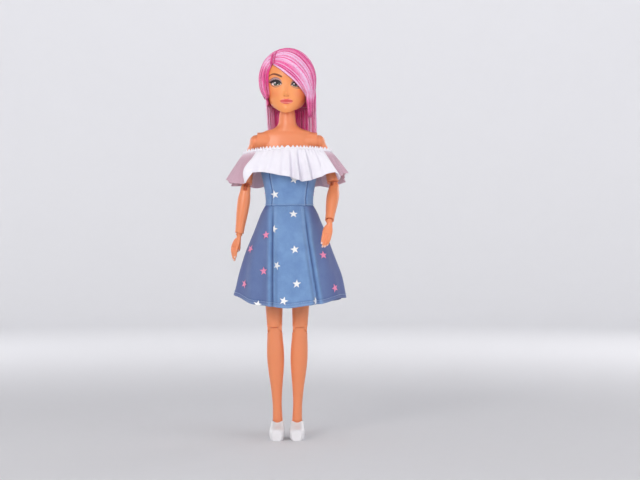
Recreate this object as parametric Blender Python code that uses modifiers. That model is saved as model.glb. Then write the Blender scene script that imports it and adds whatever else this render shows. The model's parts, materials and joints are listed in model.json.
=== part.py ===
"""Articulated fashion doll with a denim dress, a chiffon ruffle and long pink hair.

Metres, +Z up. The doll stands on z = 0 and faces -Y; its left side is +X. Every moving piece hangs
from an empty that sits on its joint axis, so turning an empty turns the limb below it.
"""
import math

import bmesh
import bpy
from mathutils import Matrix, Vector

# Clearances shared by all pieces
GAP = 0.0003            # between neighbours that rest on each other
SOCKET_GAP = 0.0004     # round a ball in its socket
BORE_GAP = 0.00025      # round a pin or stem in its bore
SEAM_GAP = 0.0002       # between the two body halves
OVERRUN = 0.002         # how far a cutter runs past what it cuts
SOCKET_FACETS = (18, 9)
LIMB_BALL_FACETS = (16, 9)
CUP_FACETS = (14, 7)
WRIST_CUP_FACETS = (12, 7)
PEG_SIDES = 12
PIN_SIDES = 8
BOSS_SIDES = 18
KNUCKLE_SIDES = 16
BALL_TURN = 11.0        # degrees that balls are turned, so that no facet edge lies in a joint's plane
BALL_TURN_AXIS = (1.0, 0.7, 0.4)
SHARP_ANGLE = 40.0      # edges sharper than this, in degrees, stay crisp
DOME_TOP_ANGLE = 80.0   # a limb's ball starts this many degrees above its waist
MERGE_DISTANCE = 0.00001

# Heights of the joints above the ground and along the limbs
ANKLE_HEIGHT = 0.0180
SHIN_LENGTH = 0.0645
THIGH_LENGTH = 0.0675
HIP_TO_SHOULDER = 0.0705
HIP_TO_NECK_TOP = 0.0943
NECK_TO_NOD = 0.0033
UPPER_ARM_LENGTH = 0.0354
FOREARM_LENGTH = 0.0350

# Sideways places of the joints
HIP_HALF_SPAN = 0.0112
KNEE_INSET = 0.0018      # how far the knee sits inside the hip, because the legs draw together
ANKLE_INSET = 0.0020     # the same for the ankle inside the knee
KNEE_REST_BEND = 3.5     # the standing doll's ankle lies a little behind its knee, in degrees
SHOULDER_HALF_WIDTH = 0.0222

# Rest angles of the photographed pose, in degrees
ARM_SPREAD = {1: 14.3, -1: 7.8}
ELBOW_TWIST = {1: 23.6, -1: 0.0}
ELBOW_BEND = {1: 45.8, -1: 4.0}
WRIST_TWIST = {1: -14.0, -1: 80.0}
WRIST_BEND = {1: 14.7, -1: 2.0}
HEAD_TURN = -4.0

KNEE_Z = ANKLE_HEIGHT + SHIN_LENGTH
HIP_Z = KNEE_Z + THIGH_LENGTH
SHOULDER_Z = HIP_Z + HIP_TO_SHOULDER
NECK_TOP_Z = HIP_Z + HIP_TO_NECK_TOP
NOD_Z = NECK_TOP_Z + NECK_TO_NOD

# Colour, roughness and metallic value of each material
PALETTE = {
    "skin_vinyl": ((0.83, 0.42, 0.24, 1.0), 0.45, 0.0),
    "body_plastic": ((0.80, 0.40, 0.24, 1.0), 0.38, 0.0),
    "joint_plastic": ((0.72, 0.36, 0.22, 1.0), 0.42, 0.0),
    "steel_pin": ((0.62, 0.62, 0.64, 1.0), 0.30, 1.0),
    "pink_hair": ((0.86, 0.27, 0.55, 1.0), 0.35, 0.0),
    "denim": ((0.29, 0.46, 0.71, 1.0), 0.85, 0.0),
    "chiffon": ((0.94, 0.93, 0.95, 1.0), 0.80, 0.0),
    "white_vinyl": ((0.90, 0.90, 0.90, 1.0), 0.40, 0.0),
    "closure_tape": ((0.30, 0.44, 0.66, 1.0), 0.90, 0.0),
}


# Scene, materials and small helpers

def clear_scene():
    for old in list(bpy.data.objects):
        bpy.data.objects.remove(old, do_unlink=True)


def new_collection(name):
    collection = bpy.data.collections.new(name)
    bpy.context.scene.collection.children.link(collection)
    return collection


def material(name):
    found = bpy.data.materials.get(name)
    if found:
        return found
    colour, roughness, metallic = PALETTE[name]
    made = bpy.data.materials.new(name)
    made.use_nodes = True
    shader = made.node_tree.nodes["Principled BSDF"]
    shader.inputs["Base Color"].default_value = colour
    shader.inputs["Roughness"].default_value = roughness
    shader.inputs["Metallic"].default_value = metallic
    made.diffuse_color = colour
    return made


clear_scene()
PARTS = new_collection("fashion_doll")
CUTTERS = new_collection("cutters")


def place(name, bm, parent=None, look=None, closed=True):
    """Make an object from a bmesh; without a look it is a tool for a boolean."""
    if closed:
        bmesh.ops.recalc_face_normals(bm, faces=bm.faces)
    mesh = bpy.data.meshes.new(name)
    bm.to_mesh(mesh)
    bm.free()
    made = bpy.data.objects.new(name, mesh)
    made.parent = parent
    if look:
        mesh.materials.append(material(look))
        mesh.shade_smooth()
        mesh.set_sharp_from_angle(angle=math.radians(SHARP_ANGLE))
        PARTS.objects.link(made)
    else:
        made.hide_render = True
        made.display_type = 'WIRE'
        CUTTERS.objects.link(made)
    return made


def joint(name, parent, at, turn_axis='Z', degrees=0.0):
    """An empty on a joint axis, turned from its parent by the rest angle."""
    made = bpy.data.objects.new(name, None)
    made.empty_display_size = GAP
    made.parent = parent
    made.location = at
    turn = Matrix.Rotation(math.radians(degrees), 3, turn_axis)
    made.rotation_euler = turn.to_euler()
    PARTS.objects.link(made)
    return made


def carve(target, tool):
    change = target.modifiers.new("cut " + tool.name, 'BOOLEAN')
    change.operation = 'DIFFERENCE'
    change.solver = 'EXACT'
    change.object = tool
    return target


def fuse(target, tool):
    change = target.modifiers.new("join " + tool.name, 'BOOLEAN')
    change.operation = 'UNION'
    change.solver = 'EXACT'
    change.object = tool
    return target


# Shapes

def oval(centre, half_width, front, back, sides, square=1.0):
    """A level ring whose depth may differ in front (-Y) and behind (+Y)."""
    ring = []
    for step in range(sides):
        angle = math.tau * step / sides
        c, s = math.cos(angle), math.sin(angle)
        x = half_width * math.copysign(abs(c) ** square, c)
        y = (front if s < 0 else back) * math.copysign(abs(s) ** square, s)
        ring.append(Vector(centre) + Vector((x, y, 0.0)))
    return ring


def loft(name, rings, parent=None, look=None):
    """A closed solid through rings of equal count."""
    bm = bmesh.new()
    loops = [[bm.verts.new(point) for point in ring] for ring in rings]
    count = len(loops[0])
    for upper, lower in zip(loops, loops[1:]):
        for i in range(count):
            j = (i + 1) % count
            bm.faces.new((upper[i], upper[j], lower[j], lower[i]))
    bm.faces.new(loops[0])
    bm.faces.new(loops[-1])
    return place(name, bm, parent, look)


def sleeve(name, rings, thickness, parent=None, look=None):
    """A cloth tube: an open loft given its thickness outwards."""
    bm = bmesh.new()
    loops = [[bm.verts.new(point) for point in ring] for ring in rings]
    count = len(loops[0])
    for upper, lower in zip(loops, loops[1:]):
        for i in range(count):
            j = (i + 1) % count
            bm.faces.new((upper[i], lower[i], lower[j], upper[j]))
    made = place(name, bm, parent, look, closed=False)
    shell = made.modifiers.new("cloth", 'SOLIDIFY')
    shell.thickness = thickness
    shell.offset = 1.0
    return made


def rod(name, radius, start, end, sides=12, parent=None, look=None, end_radius=None):
    start, end = Vector(start), Vector(end)
    along = end - start
    turn = along.to_track_quat('Z', 'Y').to_matrix().to_4x4()
    bm = bmesh.new()
    bmesh.ops.create_cone(bm, cap_ends=True, segments=sides, radius1=radius,
                          radius2=radius if end_radius is None else end_radius, depth=along.length,
                          matrix=Matrix.Translation((start + end) / 2) @ turn)
    return place(name, bm, parent, look)


def turned(name, profile, sides=16, parent=None, look=None, direction=(0.0, 0.0, 1.0)):
    """A profile of (radius, height) pairs from top to bottom, turned about the given direction."""
    bm = bmesh.new()
    points = [bm.verts.new((radius, 0.0, height)) for radius, height in profile]
    for upper, lower in zip(points, points[1:]):
        bm.edges.new((upper, lower))
    made = place(name, bm, parent, look)
    made.rotation_euler = Vector(direction).to_track_quat('Z', 'Y').to_euler()
    screw = made.modifiers.new("turn", 'SCREW')
    screw.steps = sides
    screw.render_steps = sides
    screw.use_merge_vertices = True
    screw.merge_threshold = MERGE_DISTANCE
    return made


def headed_stem(radius, start, end, head_radius, head_length):
    """Profile of a stem with a wider snap head at its far end, top to bottom."""
    return [(0.0, end), (head_radius, end), (head_radius, end - head_length), (radius, end - head_length),
            (radius, start), (0.0, start)]


def ball(name, radius, at, facets, parent=None, look=None):
    """Facets are the counts round and down."""
    bm = bmesh.new()
    off_axis = Matrix.Rotation(math.radians(BALL_TURN), 4, Vector(BALL_TURN_AXIS).normalized())
    bmesh.ops.create_uvsphere(bm, u_segments=facets[0], v_segments=facets[1], radius=radius,
                              matrix=Matrix.Translation(at) @ off_axis)
    return place(name, bm, parent, look)


def block(name, low, high, parent=None, look=None):
    low, high = Vector(low), Vector(high)
    size = high - low
    bm = bmesh.new()
    bmesh.ops.create_cube(bm, size=1.0,
                          matrix=Matrix.Translation((low + high) / 2) @ Matrix.Diagonal(size).to_4x4())
    return place(name, bm, parent, look)


def prism(name, outline, start, end, axis='X', parent=None, look=None):
    """A flat outline pushed along X (points are y, z) or along Y (points are x, z)."""
    def point(pair, along):
        return (along, pair[0], pair[1]) if axis == 'X' else (pair[0], along, pair[1])
    return loft(name, [[point(p, start) for p in outline], [point(p, end) for p in outline]], parent, look)


def keyhole(inner, outer, first, last, steps=4):
    """A round pocket about the origin with a wider slice from one angle to the other, in degrees."""
    points = []
    for radius, start, end, count in ((outer, first, last, steps), (inner, last, first + 360.0, steps + 4)):
        for step in range(count + 1):
            angle = math.radians(start + (end - start) * step / count)
            points.append((radius * math.cos(angle), radius * math.sin(angle)))
    return points


def dome_rings(radius, sides, steps=3):
    """Rings of the upper half of a ball about the origin, from near its top to its waist."""
    rings = []
    for step in range(steps):
        rise = math.radians(DOME_TOP_ANGLE * (1.0 - step / steps))
        rings.append(oval((0.0, 0.0, radius * math.sin(rise)), radius * math.cos(rise),
                          radius * math.cos(rise), radius * math.cos(rise), sides))
    return rings


def limb_rings(length, half_width, half_depth, shares, side, sides):
    """Rings down a limb. Each share row: along, width, front, back, outward shift of the middle."""
    rings = []
    for along, width, front, back, out in shares:
        rings.append(oval((side * out * half_width, 0.0, -along * length), width * half_width,
                          front * half_depth, back * half_depth, sides))
    return rings


# Body: two moulded halves with the neck

NECK_RADIUS = 0.0059
NECK_TOP_RADIUS = 0.0049
CHEST_HALF_DEPTH = 0.0140
CHEST_HALF_WIDTH = 0.0203
BOSS_RADIUS = 0.0079          # round flat face that carries the arm
BODY_SIDES = 20

# Rows: height share of HIP_TO_NECK_TOP, width share, front share, back share, squareness share
BODY_SHARES = (
    (0.822, 0.90, 0.50, 0.50, 0.95),
    (0.795, 1.02, 0.57, 0.57, 0.85),
    (0.721, 1.01, 0.66, 0.64, 0.80),
    (0.657, 1.00, 0.76, 0.66, 0.85),
    (0.583, 0.97, 1.00, 0.65, 0.95),
    (0.509, 0.93, 0.88, 0.64, 1.00),
    (0.424, 0.84, 0.72, 0.64, 1.00),
    (0.339, 0.77, 0.66, 0.63, 1.00),
    (0.265, 0.75, 0.65, 0.65, 1.00),
    (0.191, 0.79, 0.69, 0.71, 1.00),
    (0.117, 0.87, 0.76, 0.82, 1.00),
    (0.053, 0.91, 0.79, 0.90, 1.00),
    (0.000, 0.80, 0.72, 0.82, 1.00),
    (-0.045, 0.50, 0.56, 0.60, 1.00),
    (-0.078, 0.20, 0.36, 0.38, 1.00),
)
# Rows: height share of HIP_TO_NECK_TOP, width share, depth share, both of the neck's radius
NECK_SHARES = (
    (0.940, 1.00, 0.96),
    (0.880, 1.00, 0.96),
    (0.862, 1.36, 1.10),
    (0.846, 2.25, 1.18),
)
NECK_TAPER_SHARE = 0.962

ARM_BALL_RADIUS = 0.0069
ARM_BALL_OUTSET = 0.0004      # how far the ball's centre stands outside the boss face
SHOULDER_X = SHOULDER_HALF_WIDTH + ARM_BALL_OUTSET
HIP_BALL_RADIUS = 0.0084
THIGH_HALF_DEPTH = 0.0094
LEG_OPENING_FRONT = THIGH_HALF_DEPTH + GAP
LEG_OPENING_BACK = 0.0014
LEG_OPENING_SLOPE_FRONT = 0.0015
LEG_OPENING_SLOPE_BACK = 0.0040
CROTCH_HALF_WIDTH = 0.0021

SHOULDER_BARREL_RADIUS = 0.0015
SHOULDER_HEAD_RADIUS = 0.0022
SHOULDER_HEAD_LENGTH = 0.0012
SHOULDER_BARREL_REACH = 0.0050    # from the ball's inner side to the snap head
HIP_BARREL_RADIUS = 0.0016
NECK_STEM_RADIUS = 0.0020
NECK_STEM_DEPTH = 0.0125
NECK_FLANGE_RADIUS = 0.0031
NECK_FLANGE_LENGTH = 0.0014

POCKET_WALL = 0.0022
POCKET_RIB = 0.0018
POCKET_SHARES = (0.545, 0.255)     # top and bottom of the hollow pockets, of HIP_TO_NECK_TOP
POCKET_EDGE_SHARES = ((0.82, 0.62), (0.50, 0.92))     # width and depth, from the side to the front
LOCATING_PEG_SHARES = (0.62, 0.22)
LOCATING_PEG_RADIUS = 0.0009
LOCATING_PEG_LENGTH = 0.0028


def body_level(share):
    return HIP_Z + share * HIP_TO_NECK_TOP


def body_row(height):
    """Half-width, front, back and squareness of the body at a height."""
    rows = [(body_level(r[0]), CHEST_HALF_WIDTH * r[1], CHEST_HALF_DEPTH * r[2],
             CHEST_HALF_DEPTH * r[3], r[4]) for r in BODY_SHARES]
    for high, low in zip(rows, rows[1:]):
        if high[0] >= height >= low[0]:
            mix = (high[0] - height) / (high[0] - low[0])
            return [a + (b - a) * mix for a, b in zip(high[1:], low[1:])]
    return list(rows[0][1:]) if height > rows[0][0] else list(rows[-1][1:])


def body_ring(height, grow=0.0, sides=BODY_SIDES):
    width, front, back, square = body_row(height)
    return oval((0.0, 0.0, height), width + grow, front + grow, back + grow, sides, square)


def trunk():
    """The whole body as one tool, from which both halves are cut."""
    rings = [oval((0.0, 0.0, NECK_TOP_Z), NECK_TOP_RADIUS, NECK_TOP_RADIUS, NECK_TOP_RADIUS, BODY_SIDES),
             oval((0.0, 0.0, body_level(NECK_TAPER_SHARE)), NECK_TOP_RADIUS, NECK_TOP_RADIUS,
                  NECK_TOP_RADIUS, BODY_SIDES)]
    for share, width, depth in NECK_SHARES:
        rings.append(oval((0.0, 0.0, body_level(share)), NECK_RADIUS * width, NECK_RADIUS * depth,
                          NECK_RADIUS * depth, BODY_SIDES))
    rings += [body_ring(body_level(row[0])) for row in BODY_SHARES]
    solid = loft("trunk", rings)
    for side in (1, -1):
        inner = side * (SHOULDER_HALF_WIDTH - BOSS_RADIUS)
        fuse(solid, rod("boss" + str(side), BOSS_RADIUS, (inner, 0.0, SHOULDER_Z),
                        (side * SHOULDER_HALF_WIDTH, 0.0, SHOULDER_Z), BOSS_SIDES))
        cut_shoulder(solid, side)
        cut_hip(solid, side)
    carve(solid, rod("hip bore", HIP_BARREL_RADIUS + BORE_GAP, (-HIP_HALF_SPAN, 0.0, HIP_Z),
                     (HIP_HALF_SPAN, 0.0, HIP_Z), PIN_SIDES))
    carve(solid, rod("neck bore", NECK_STEM_RADIUS + BORE_GAP, (0.0, 0.0, NECK_TOP_Z + OVERRUN),
                     (0.0, 0.0, NECK_TOP_Z - NECK_STEM_DEPTH), PEG_SIDES))
    carve(solid, rod("neck chamber", NECK_FLANGE_RADIUS + BORE_GAP,
                     (0.0, 0.0, NECK_TOP_Z - NECK_STEM_DEPTH + NECK_FLANGE_LENGTH + BORE_GAP),
                     (0.0, 0.0, NECK_TOP_Z - NECK_STEM_DEPTH - BORE_GAP), PEG_SIDES))
    return solid


def cut_shoulder(solid, side):
    centre = (side * SHOULDER_X, 0.0, SHOULDER_Z)
    socket = ARM_BALL_RADIUS + SOCKET_GAP
    carve(solid, ball("arm socket" + str(side), socket, centre, SOCKET_FACETS))
    wall = SHOULDER_X - ARM_BALL_RADIUS
    head = wall - SHOULDER_BARREL_REACH
    carve(solid, rod("arm bore" + str(side), SHOULDER_BARREL_RADIUS + BORE_GAP,
                     (side * (head + GAP), 0.0, SHOULDER_Z), (side * (wall + OVERRUN), 0.0, SHOULDER_Z),
                     PIN_SIDES))
    carve(solid, rod("arm chamber" + str(side), SHOULDER_HEAD_RADIUS + BORE_GAP,
                     (side * (head + SHOULDER_HEAD_LENGTH + BORE_GAP), 0.0, SHOULDER_Z),
                     (side * (head - BORE_GAP), 0.0, SHOULDER_Z), PIN_SIDES))


def cut_hip(solid, side):
    centre = (side * HIP_HALF_SPAN, 0.0, HIP_Z)
    reach = CHEST_HALF_WIDTH + OVERRUN
    outline = [(-reach, -reach), (-reach, LEG_OPENING_FRONT), (-LEG_OPENING_SLOPE_FRONT, LEG_OPENING_FRONT),
               (LEG_OPENING_SLOPE_BACK, LEG_OPENING_BACK), (reach, LEG_OPENING_BACK), (reach, -reach)]
    outline = [(y, HIP_Z + z) for y, z in outline]
    carve(solid, prism("leg opening" + str(side), outline, side * CROTCH_HALF_WIDTH, side * reach))
    carve(solid, ball("hip socket" + str(side), HIP_BALL_RADIUS + SOCKET_GAP, centre, SOCKET_FACETS))


def body_half(name, source, front):
    """One moulded half, with two pockets and its share of the locating pegs."""
    mesh = bpy.data.meshes.new_from_object(source.evaluated_get(bpy.context.evaluated_depsgraph_get()))
    mesh.name = name
    mesh.materials.clear()
    mesh.materials.append(material("body_plastic"))
    half = bpy.data.objects.new(name, mesh)
    PARTS.objects.link(half)
    reach = CHEST_HALF_WIDTH + SHOULDER_HALF_WIDTH
    sign = -1 if front else 1
    other = block(name + " other side", (-reach, -sign * reach, -reach),
                  (reach, sign * SEAM_GAP / 2, NECK_TOP_Z + reach))
    carve(half, other)
    top, bottom = (body_level(share) for share in POCKET_SHARES)
    middle = (top + bottom) / 2
    for side in (1, -1):
        rings = []
        for height in (top, middle, bottom):
            width, front_depth, back_depth, square = body_row(height)
            depth = (front_depth if front else back_depth) - POCKET_WALL
            far = width - POCKET_WALL
            near = POCKET_RIB
            edge = [(near, -GAP), (far, -GAP)]
            edge += [(far * across, depth * deep) for across, deep in POCKET_EDGE_SHARES]
            edge.append((near, depth))
            rings.append([(side * x, sign * y, height) for x, y in edge])
        carve(half, loft(name + " pocket" + str(side), rings))
    for share in LOCATING_PEG_SHARES:
        at = body_level(share)
        start = (0.0, -sign * LOCATING_PEG_LENGTH, at)
        if front:
            fuse(half, rod(name + " peg" + str(share), LOCATING_PEG_RADIUS,
                           (0.0, -LOCATING_PEG_LENGTH, at), (0.0, LOCATING_PEG_LENGTH, at), PIN_SIDES))
        else:
            carve(half, rod(name + " peg hole" + str(share), LOCATING_PEG_RADIUS + BORE_GAP, start,
                            (0.0, LOCATING_PEG_LENGTH + GAP, at), PIN_SIDES))
    return half


def build_body():
    source = trunk()
    body_half("torso_front", source, True)
    body_half("torso_back", source, False)


# Peg that swings in the body and carries a limb's spread pin

def swing_peg(name, parent, side, disc_radius, disc_width, barrel_radius, barrel_end, head):
    """Disc on the ball's centre and a barrel that runs inwards; head is its snap end or None."""
    peg = rod(name, disc_radius, (0.0, -disc_width / 2, 0.0), (0.0, disc_width / 2, 0.0), PEG_SIDES,
              parent, "joint_plastic")
    if head:
        profile = headed_stem(barrel_radius, disc_radius / 2, barrel_end, *head)
    else:
        profile = [(0.0, barrel_end), (barrel_radius, barrel_end), (barrel_radius, disc_radius / 2),
                   (0.0, disc_radius / 2)]
    fuse(peg, turned(name + " barrel", profile, PIN_SIDES, parent, None, (-side, 0.0, 0.0)))
    return peg


def spread_slot(limb, name, parent, side, disc_radius, half_slot, reach, low, high):
    """Room in a limb's ball for the peg: a round pocket and a slice that the barrel sweeps."""
    first, last = (180.0 - high, 180.0 - low) if side > 0 else (low, high)
    outline = keyhole(disc_radius + BORE_GAP, reach, first, last)
    carve(limb, prism(name + " slot", outline, -half_slot, half_slot, 'Y', parent))


# Arms

SHOULDER_DISC_RADIUS = 0.0029
SHOULDER_DISC_WIDTH = 0.0031
SHOULDER_PIN_RADIUS = 0.0009
SHOULDER_PIN_HALF = 0.0048
ARM_SLOT_LOW, ARM_SLOT_HIGH = -44.0, 104.0     # slice that the barrel sweeps, in degrees
ARM_HALF_WIDTH = 0.0039
ARM_HALF_DEPTH = 0.0044
ARM_OFFSET = 0.0036            # the arm's middle stands this far outside the ball's centre
ARM_SIDES = 12
# Rows: along, width, front, back, outward shift (shift in shares of the arm's half-width)
UPPER_ARM_SHARES = (
    (0.02, 0.82, 1.20, 1.20, 0.86),
    (0.16, 0.92, 1.14, 1.14, 0.92),
    (0.38, 0.95, 1.00, 1.00, 0.95),
    (0.66, 1.00, 0.95, 0.97, 0.93),
    (0.88, 1.10, 1.02, 1.02, 0.92),
    (1.00, 1.12, 1.02, 1.02, 0.92),
)
ELBOW_BALL_RADIUS = 0.0037
ELBOW_RIM = 0.0034             # mean height of the upper arm's end above the elbow axis
ELBOW_RIM_TILT = 0.0014        # how much higher it is cut in front, and lower behind
ELBOW_STEM_RADIUS = 0.0011
ELBOW_STEM_LENGTH = 0.0105
ELBOW_HEAD_RADIUS = 0.0017
ELBOW_HEAD_LENGTH = 0.0014
ELBOW_DISC_RADIUS = 0.0025
ELBOW_DISC_WIDTH = 0.0022
ELBOW_PIN_RADIUS = 0.0007
ELBOW_PIN_HALF = 0.0030

FOREARM_HALF_WIDTH = 0.0047
FOREARM_HALF_DEPTH = 0.0044
FOREARM_SHARES = (
    (0.09, 0.84, 0.88, 0.88, 0.0),
    (0.22, 0.98, 0.95, 1.00, 0.0),
    (0.36, 1.00, 1.00, 1.00, 0.0),
    (0.58, 0.90, 0.91, 0.91, 0.0),
    (0.80, 0.75, 0.77, 0.77, 0.0),
    (0.965, 0.69, 0.71, 0.71, 0.0),
)
WRIST_BALL_RADIUS = 0.0025
WRIST_STEM_RADIUS = 0.00065
WRIST_STEM_LENGTH = 0.0068
WRIST_HEAD_RADIUS = 0.0011
WRIST_HEAD_LENGTH = 0.0010
WRIST_DISC_RADIUS = 0.0015
WRIST_DISC_WIDTH = 0.0013
WRIST_PIN_RADIUS = 0.00045
WRIST_PIN_HALF = 0.0019


def upper_arm(name, parent, side):
    """Shoulder ball, tapered arm and a slanted cup that seats the forearm's ball."""
    arm = loft(name, limb_rings(UPPER_ARM_LENGTH, ARM_HALF_WIDTH, ARM_HALF_DEPTH, UPPER_ARM_SHARES,
                                side, ARM_SIDES), parent, "body_plastic")
    fuse(arm, ball(name + " ball", ARM_BALL_RADIUS, (0.0, 0.0, 0.0), LIMB_BALL_FACETS, parent))
    elbow = Vector((side * ARM_OFFSET, 0.0, -UPPER_ARM_LENGTH))
    reach = ARM_HALF_DEPTH + OVERRUN
    tilt = ELBOW_RIM_TILT * reach / ARM_HALF_DEPTH
    outline = [(-reach, -reach), (-reach, ELBOW_RIM + tilt), (reach, ELBOW_RIM - tilt), (reach, -reach)]
    outline = [(y, elbow.z + z) for y, z in outline]
    carve(arm, prism(name + " end", outline, elbow.x - reach, elbow.x + reach, 'X', parent))
    carve(arm, ball(name + " cup", ELBOW_BALL_RADIUS + SOCKET_GAP, elbow, CUP_FACETS, parent))
    top = elbow + Vector((0.0, 0.0, ELBOW_STEM_LENGTH))
    carve(arm, rod(name + " bore", ELBOW_STEM_RADIUS + BORE_GAP, elbow, top, PIN_SIDES, parent))
    carve(arm, rod(name + " chamber", ELBOW_HEAD_RADIUS + BORE_GAP,
                   top - Vector((0.0, 0.0, ELBOW_HEAD_LENGTH + BORE_GAP)),
                   top + Vector((0.0, 0.0, BORE_GAP)), PIN_SIDES, parent))
    spread_slot(arm, name, parent, side, SHOULDER_DISC_RADIUS, SHOULDER_DISC_WIDTH / 2 + BORE_GAP,
                ARM_BALL_RADIUS + OVERRUN, ARM_SLOT_LOW, ARM_SLOT_HIGH)
    carve(arm, rod(name + " pin hole", SHOULDER_PIN_RADIUS + BORE_GAP,
                   (0.0, -SHOULDER_PIN_HALF - GAP, 0.0), (0.0, SHOULDER_PIN_HALF + GAP, 0.0), PIN_SIDES,
                   parent))
    return arm


def stem_peg(name, parent, disc_radius, disc_width, stem_radius, stem_length, head_radius, head_length):
    """Disc on the bend axis and a stem that turns in the limb above."""
    peg = rod(name, disc_radius, (-disc_width / 2, 0.0, 0.0), (disc_width / 2, 0.0, 0.0), PEG_SIDES,
              parent, "joint_plastic")
    profile = headed_stem(stem_radius, disc_radius / 2, stem_length, head_radius, head_length)
    fuse(peg, turned(name + " stem", profile, PIN_SIDES, parent))
    return peg


FRONT_SLOT = (56.0, 212.0)      # degrees from the back over the top to the front
TOP_SLOT = (12.0, 168.0)


def fork_slot(limb, name, parent, disc_radius, half_slot, ball_radius, toward):
    """Slot in a limb's ball from its top towards the side that it bends to (-1 front, 0 both)."""
    first, last = FRONT_SLOT if toward < 0 else TOP_SLOT
    outline = keyhole(disc_radius + BORE_GAP, ball_radius + OVERRUN, first, last)
    carve(limb, prism(name + " slot", outline, -half_slot, half_slot, 'X', parent))


def forearm(name, parent):
    rings = dome_rings(ELBOW_BALL_RADIUS, ARM_SIDES)
    rings.append(oval((0.0, 0.0, 0.0), ELBOW_BALL_RADIUS, ELBOW_BALL_RADIUS, ELBOW_BALL_RADIUS, ARM_SIDES))
    rings += limb_rings(FOREARM_LENGTH, FOREARM_HALF_WIDTH, FOREARM_HALF_DEPTH, FOREARM_SHARES, 0,
                        ARM_SIDES)
    arm = loft(name, rings, parent, "body_plastic")
    fork_slot(arm, name, parent, ELBOW_DISC_RADIUS, ELBOW_DISC_WIDTH / 2 + BORE_GAP, ELBOW_BALL_RADIUS, -1)
    carve(arm, rod(name + " pin hole", ELBOW_PIN_RADIUS + BORE_GAP,
                   (-ELBOW_PIN_HALF - GAP, 0.0, 0.0), (ELBOW_PIN_HALF + GAP, 0.0, 0.0), PIN_SIDES, parent))
    wrist = Vector((0.0, 0.0, -FOREARM_LENGTH))
    carve(arm, ball(name + " cup", WRIST_BALL_RADIUS + SOCKET_GAP, wrist, WRIST_CUP_FACETS, parent))
    top = wrist + Vector((0.0, 0.0, WRIST_STEM_LENGTH))
    carve(arm, rod(name + " bore", WRIST_STEM_RADIUS + BORE_GAP, wrist, top, PIN_SIDES, parent))
    carve(arm, rod(name + " chamber", WRIST_HEAD_RADIUS + BORE_GAP,
                   top - Vector((0.0, 0.0, WRIST_HEAD_LENGTH + BORE_GAP)),
                   top + Vector((0.0, 0.0, BORE_GAP)), PIN_SIDES, parent))
    return arm


# Hands: a palm with four fingers and a thumb, moulded in one

PALM_LENGTH = 0.0100
PALM_HALF_WIDTH = 0.0038
PALM_HALF_DEPTH = 0.0015
PALM_SHARES = (
    (0.10, 0.56, 1.15, 1.15, 0.0),
    (0.34, 0.72, 1.00, 1.10, 0.0),
    (0.66, 0.94, 0.95, 1.05, 0.0),
    (1.00, 0.98, 0.85, 0.85, 0.0),
)
FINGER_RADIUS = 0.00098
FINGER_ROOT_SHARE = 0.90       # fingers start inside the palm
# Rows: sideways share of the palm's half-width (thumb side first), length share, curl in degrees
FINGER_LENGTH = 0.0112
FINGER_SHARES = ((0.72, 0.90, 5.0), (0.25, 1.00, 7.0), (-0.23, 0.94, 10.0), (-0.69, 0.76, 14.0))
THUMB_LENGTH = 0.0098
THUMB_RADIUS = 0.00110
THUMB_LEAN = 24.0
THUMB_CURL = 6.0
THUMB_ROOT_SHARES = (0.45, 0.40, 0.30)    # of the palm's half-width, half-depth and length
FINGER_SPREAD_SHARE = 0.10
DIGIT_SIDES = 6
DIGIT_SHARES = ((0.0, 1.0), (0.45, 0.95), (0.86, 0.80), (1.0, 0.40))     # along, radius


def digit(name, parent, root, direction, bend_towards, length, radius, curl):
    """A finger of three joints that curls evenly and tapers to a round tip."""
    point, heading = Vector(root), Vector(direction).normalized()
    across = heading.cross(Vector(bend_towards)).normalized()
    rings = []
    for station, (share, width) in enumerate(DIGIT_SHARES):
        if station:
            step = (share - DIGIT_SHARES[station - 1][0]) * length
            heading = Matrix.Rotation(math.radians(curl), 3, across) @ heading
            point = point + heading * step
        other = heading.cross(across)
        rings.append([point + (across * math.cos(math.tau * k / DIGIT_SIDES)
                               + other * math.sin(math.tau * k / DIGIT_SIDES)) * radius * width
                      for k in range(DIGIT_SIDES)])
    return loft(name, rings, parent)


def hand(name, parent, side):
    """Palm side towards +Y; the thumb on the side of the other hand."""
    thumb_side = -side
    rings = dome_rings(WRIST_BALL_RADIUS, ARM_SIDES)
    rings.append(oval((0.0, 0.0, 0.0), WRIST_BALL_RADIUS, WRIST_BALL_RADIUS, WRIST_BALL_RADIUS, ARM_SIDES))
    rings += limb_rings(PALM_LENGTH, PALM_HALF_WIDTH, PALM_HALF_DEPTH, PALM_SHARES, side, ARM_SIDES)
    palm = loft(name, rings, parent, "skin_vinyl")
    for number, (place_share, length_share, curl) in enumerate(FINGER_SHARES):
        root = (thumb_side * place_share * PALM_HALF_WIDTH, 0.0, -PALM_LENGTH * FINGER_ROOT_SHARE)
        heading = (thumb_side * place_share * FINGER_SPREAD_SHARE, 0.0, -1.0)
        fuse(palm, digit(name + " finger" + str(number), parent, root, heading, (0.0, 1.0, 0.0),
                         FINGER_LENGTH * length_share, FINGER_RADIUS, curl))
    lean = math.radians(THUMB_LEAN)
    across, deep, down = THUMB_ROOT_SHARES
    root = (thumb_side * PALM_HALF_WIDTH * across, PALM_HALF_DEPTH * deep, -PALM_LENGTH * down)
    heading = (thumb_side * math.sin(lean), math.sin(lean) / 2, -math.cos(lean))
    fuse(palm, digit(name + " thumb", parent, root, heading, (0.0, 1.0, 0.0), THUMB_LENGTH, THUMB_RADIUS,
                     THUMB_CURL))
    fork_slot(palm, name, parent, WRIST_DISC_RADIUS, WRIST_DISC_WIDTH / 2 + BORE_GAP,
              WRIST_BALL_RADIUS, 0)
    carve(palm, rod(name + " pin hole", WRIST_PIN_RADIUS + BORE_GAP,
                    (-WRIST_PIN_HALF - GAP, 0.0, 0.0), (WRIST_PIN_HALF + GAP, 0.0, 0.0), PIN_SIDES, parent))
    return palm


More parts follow.
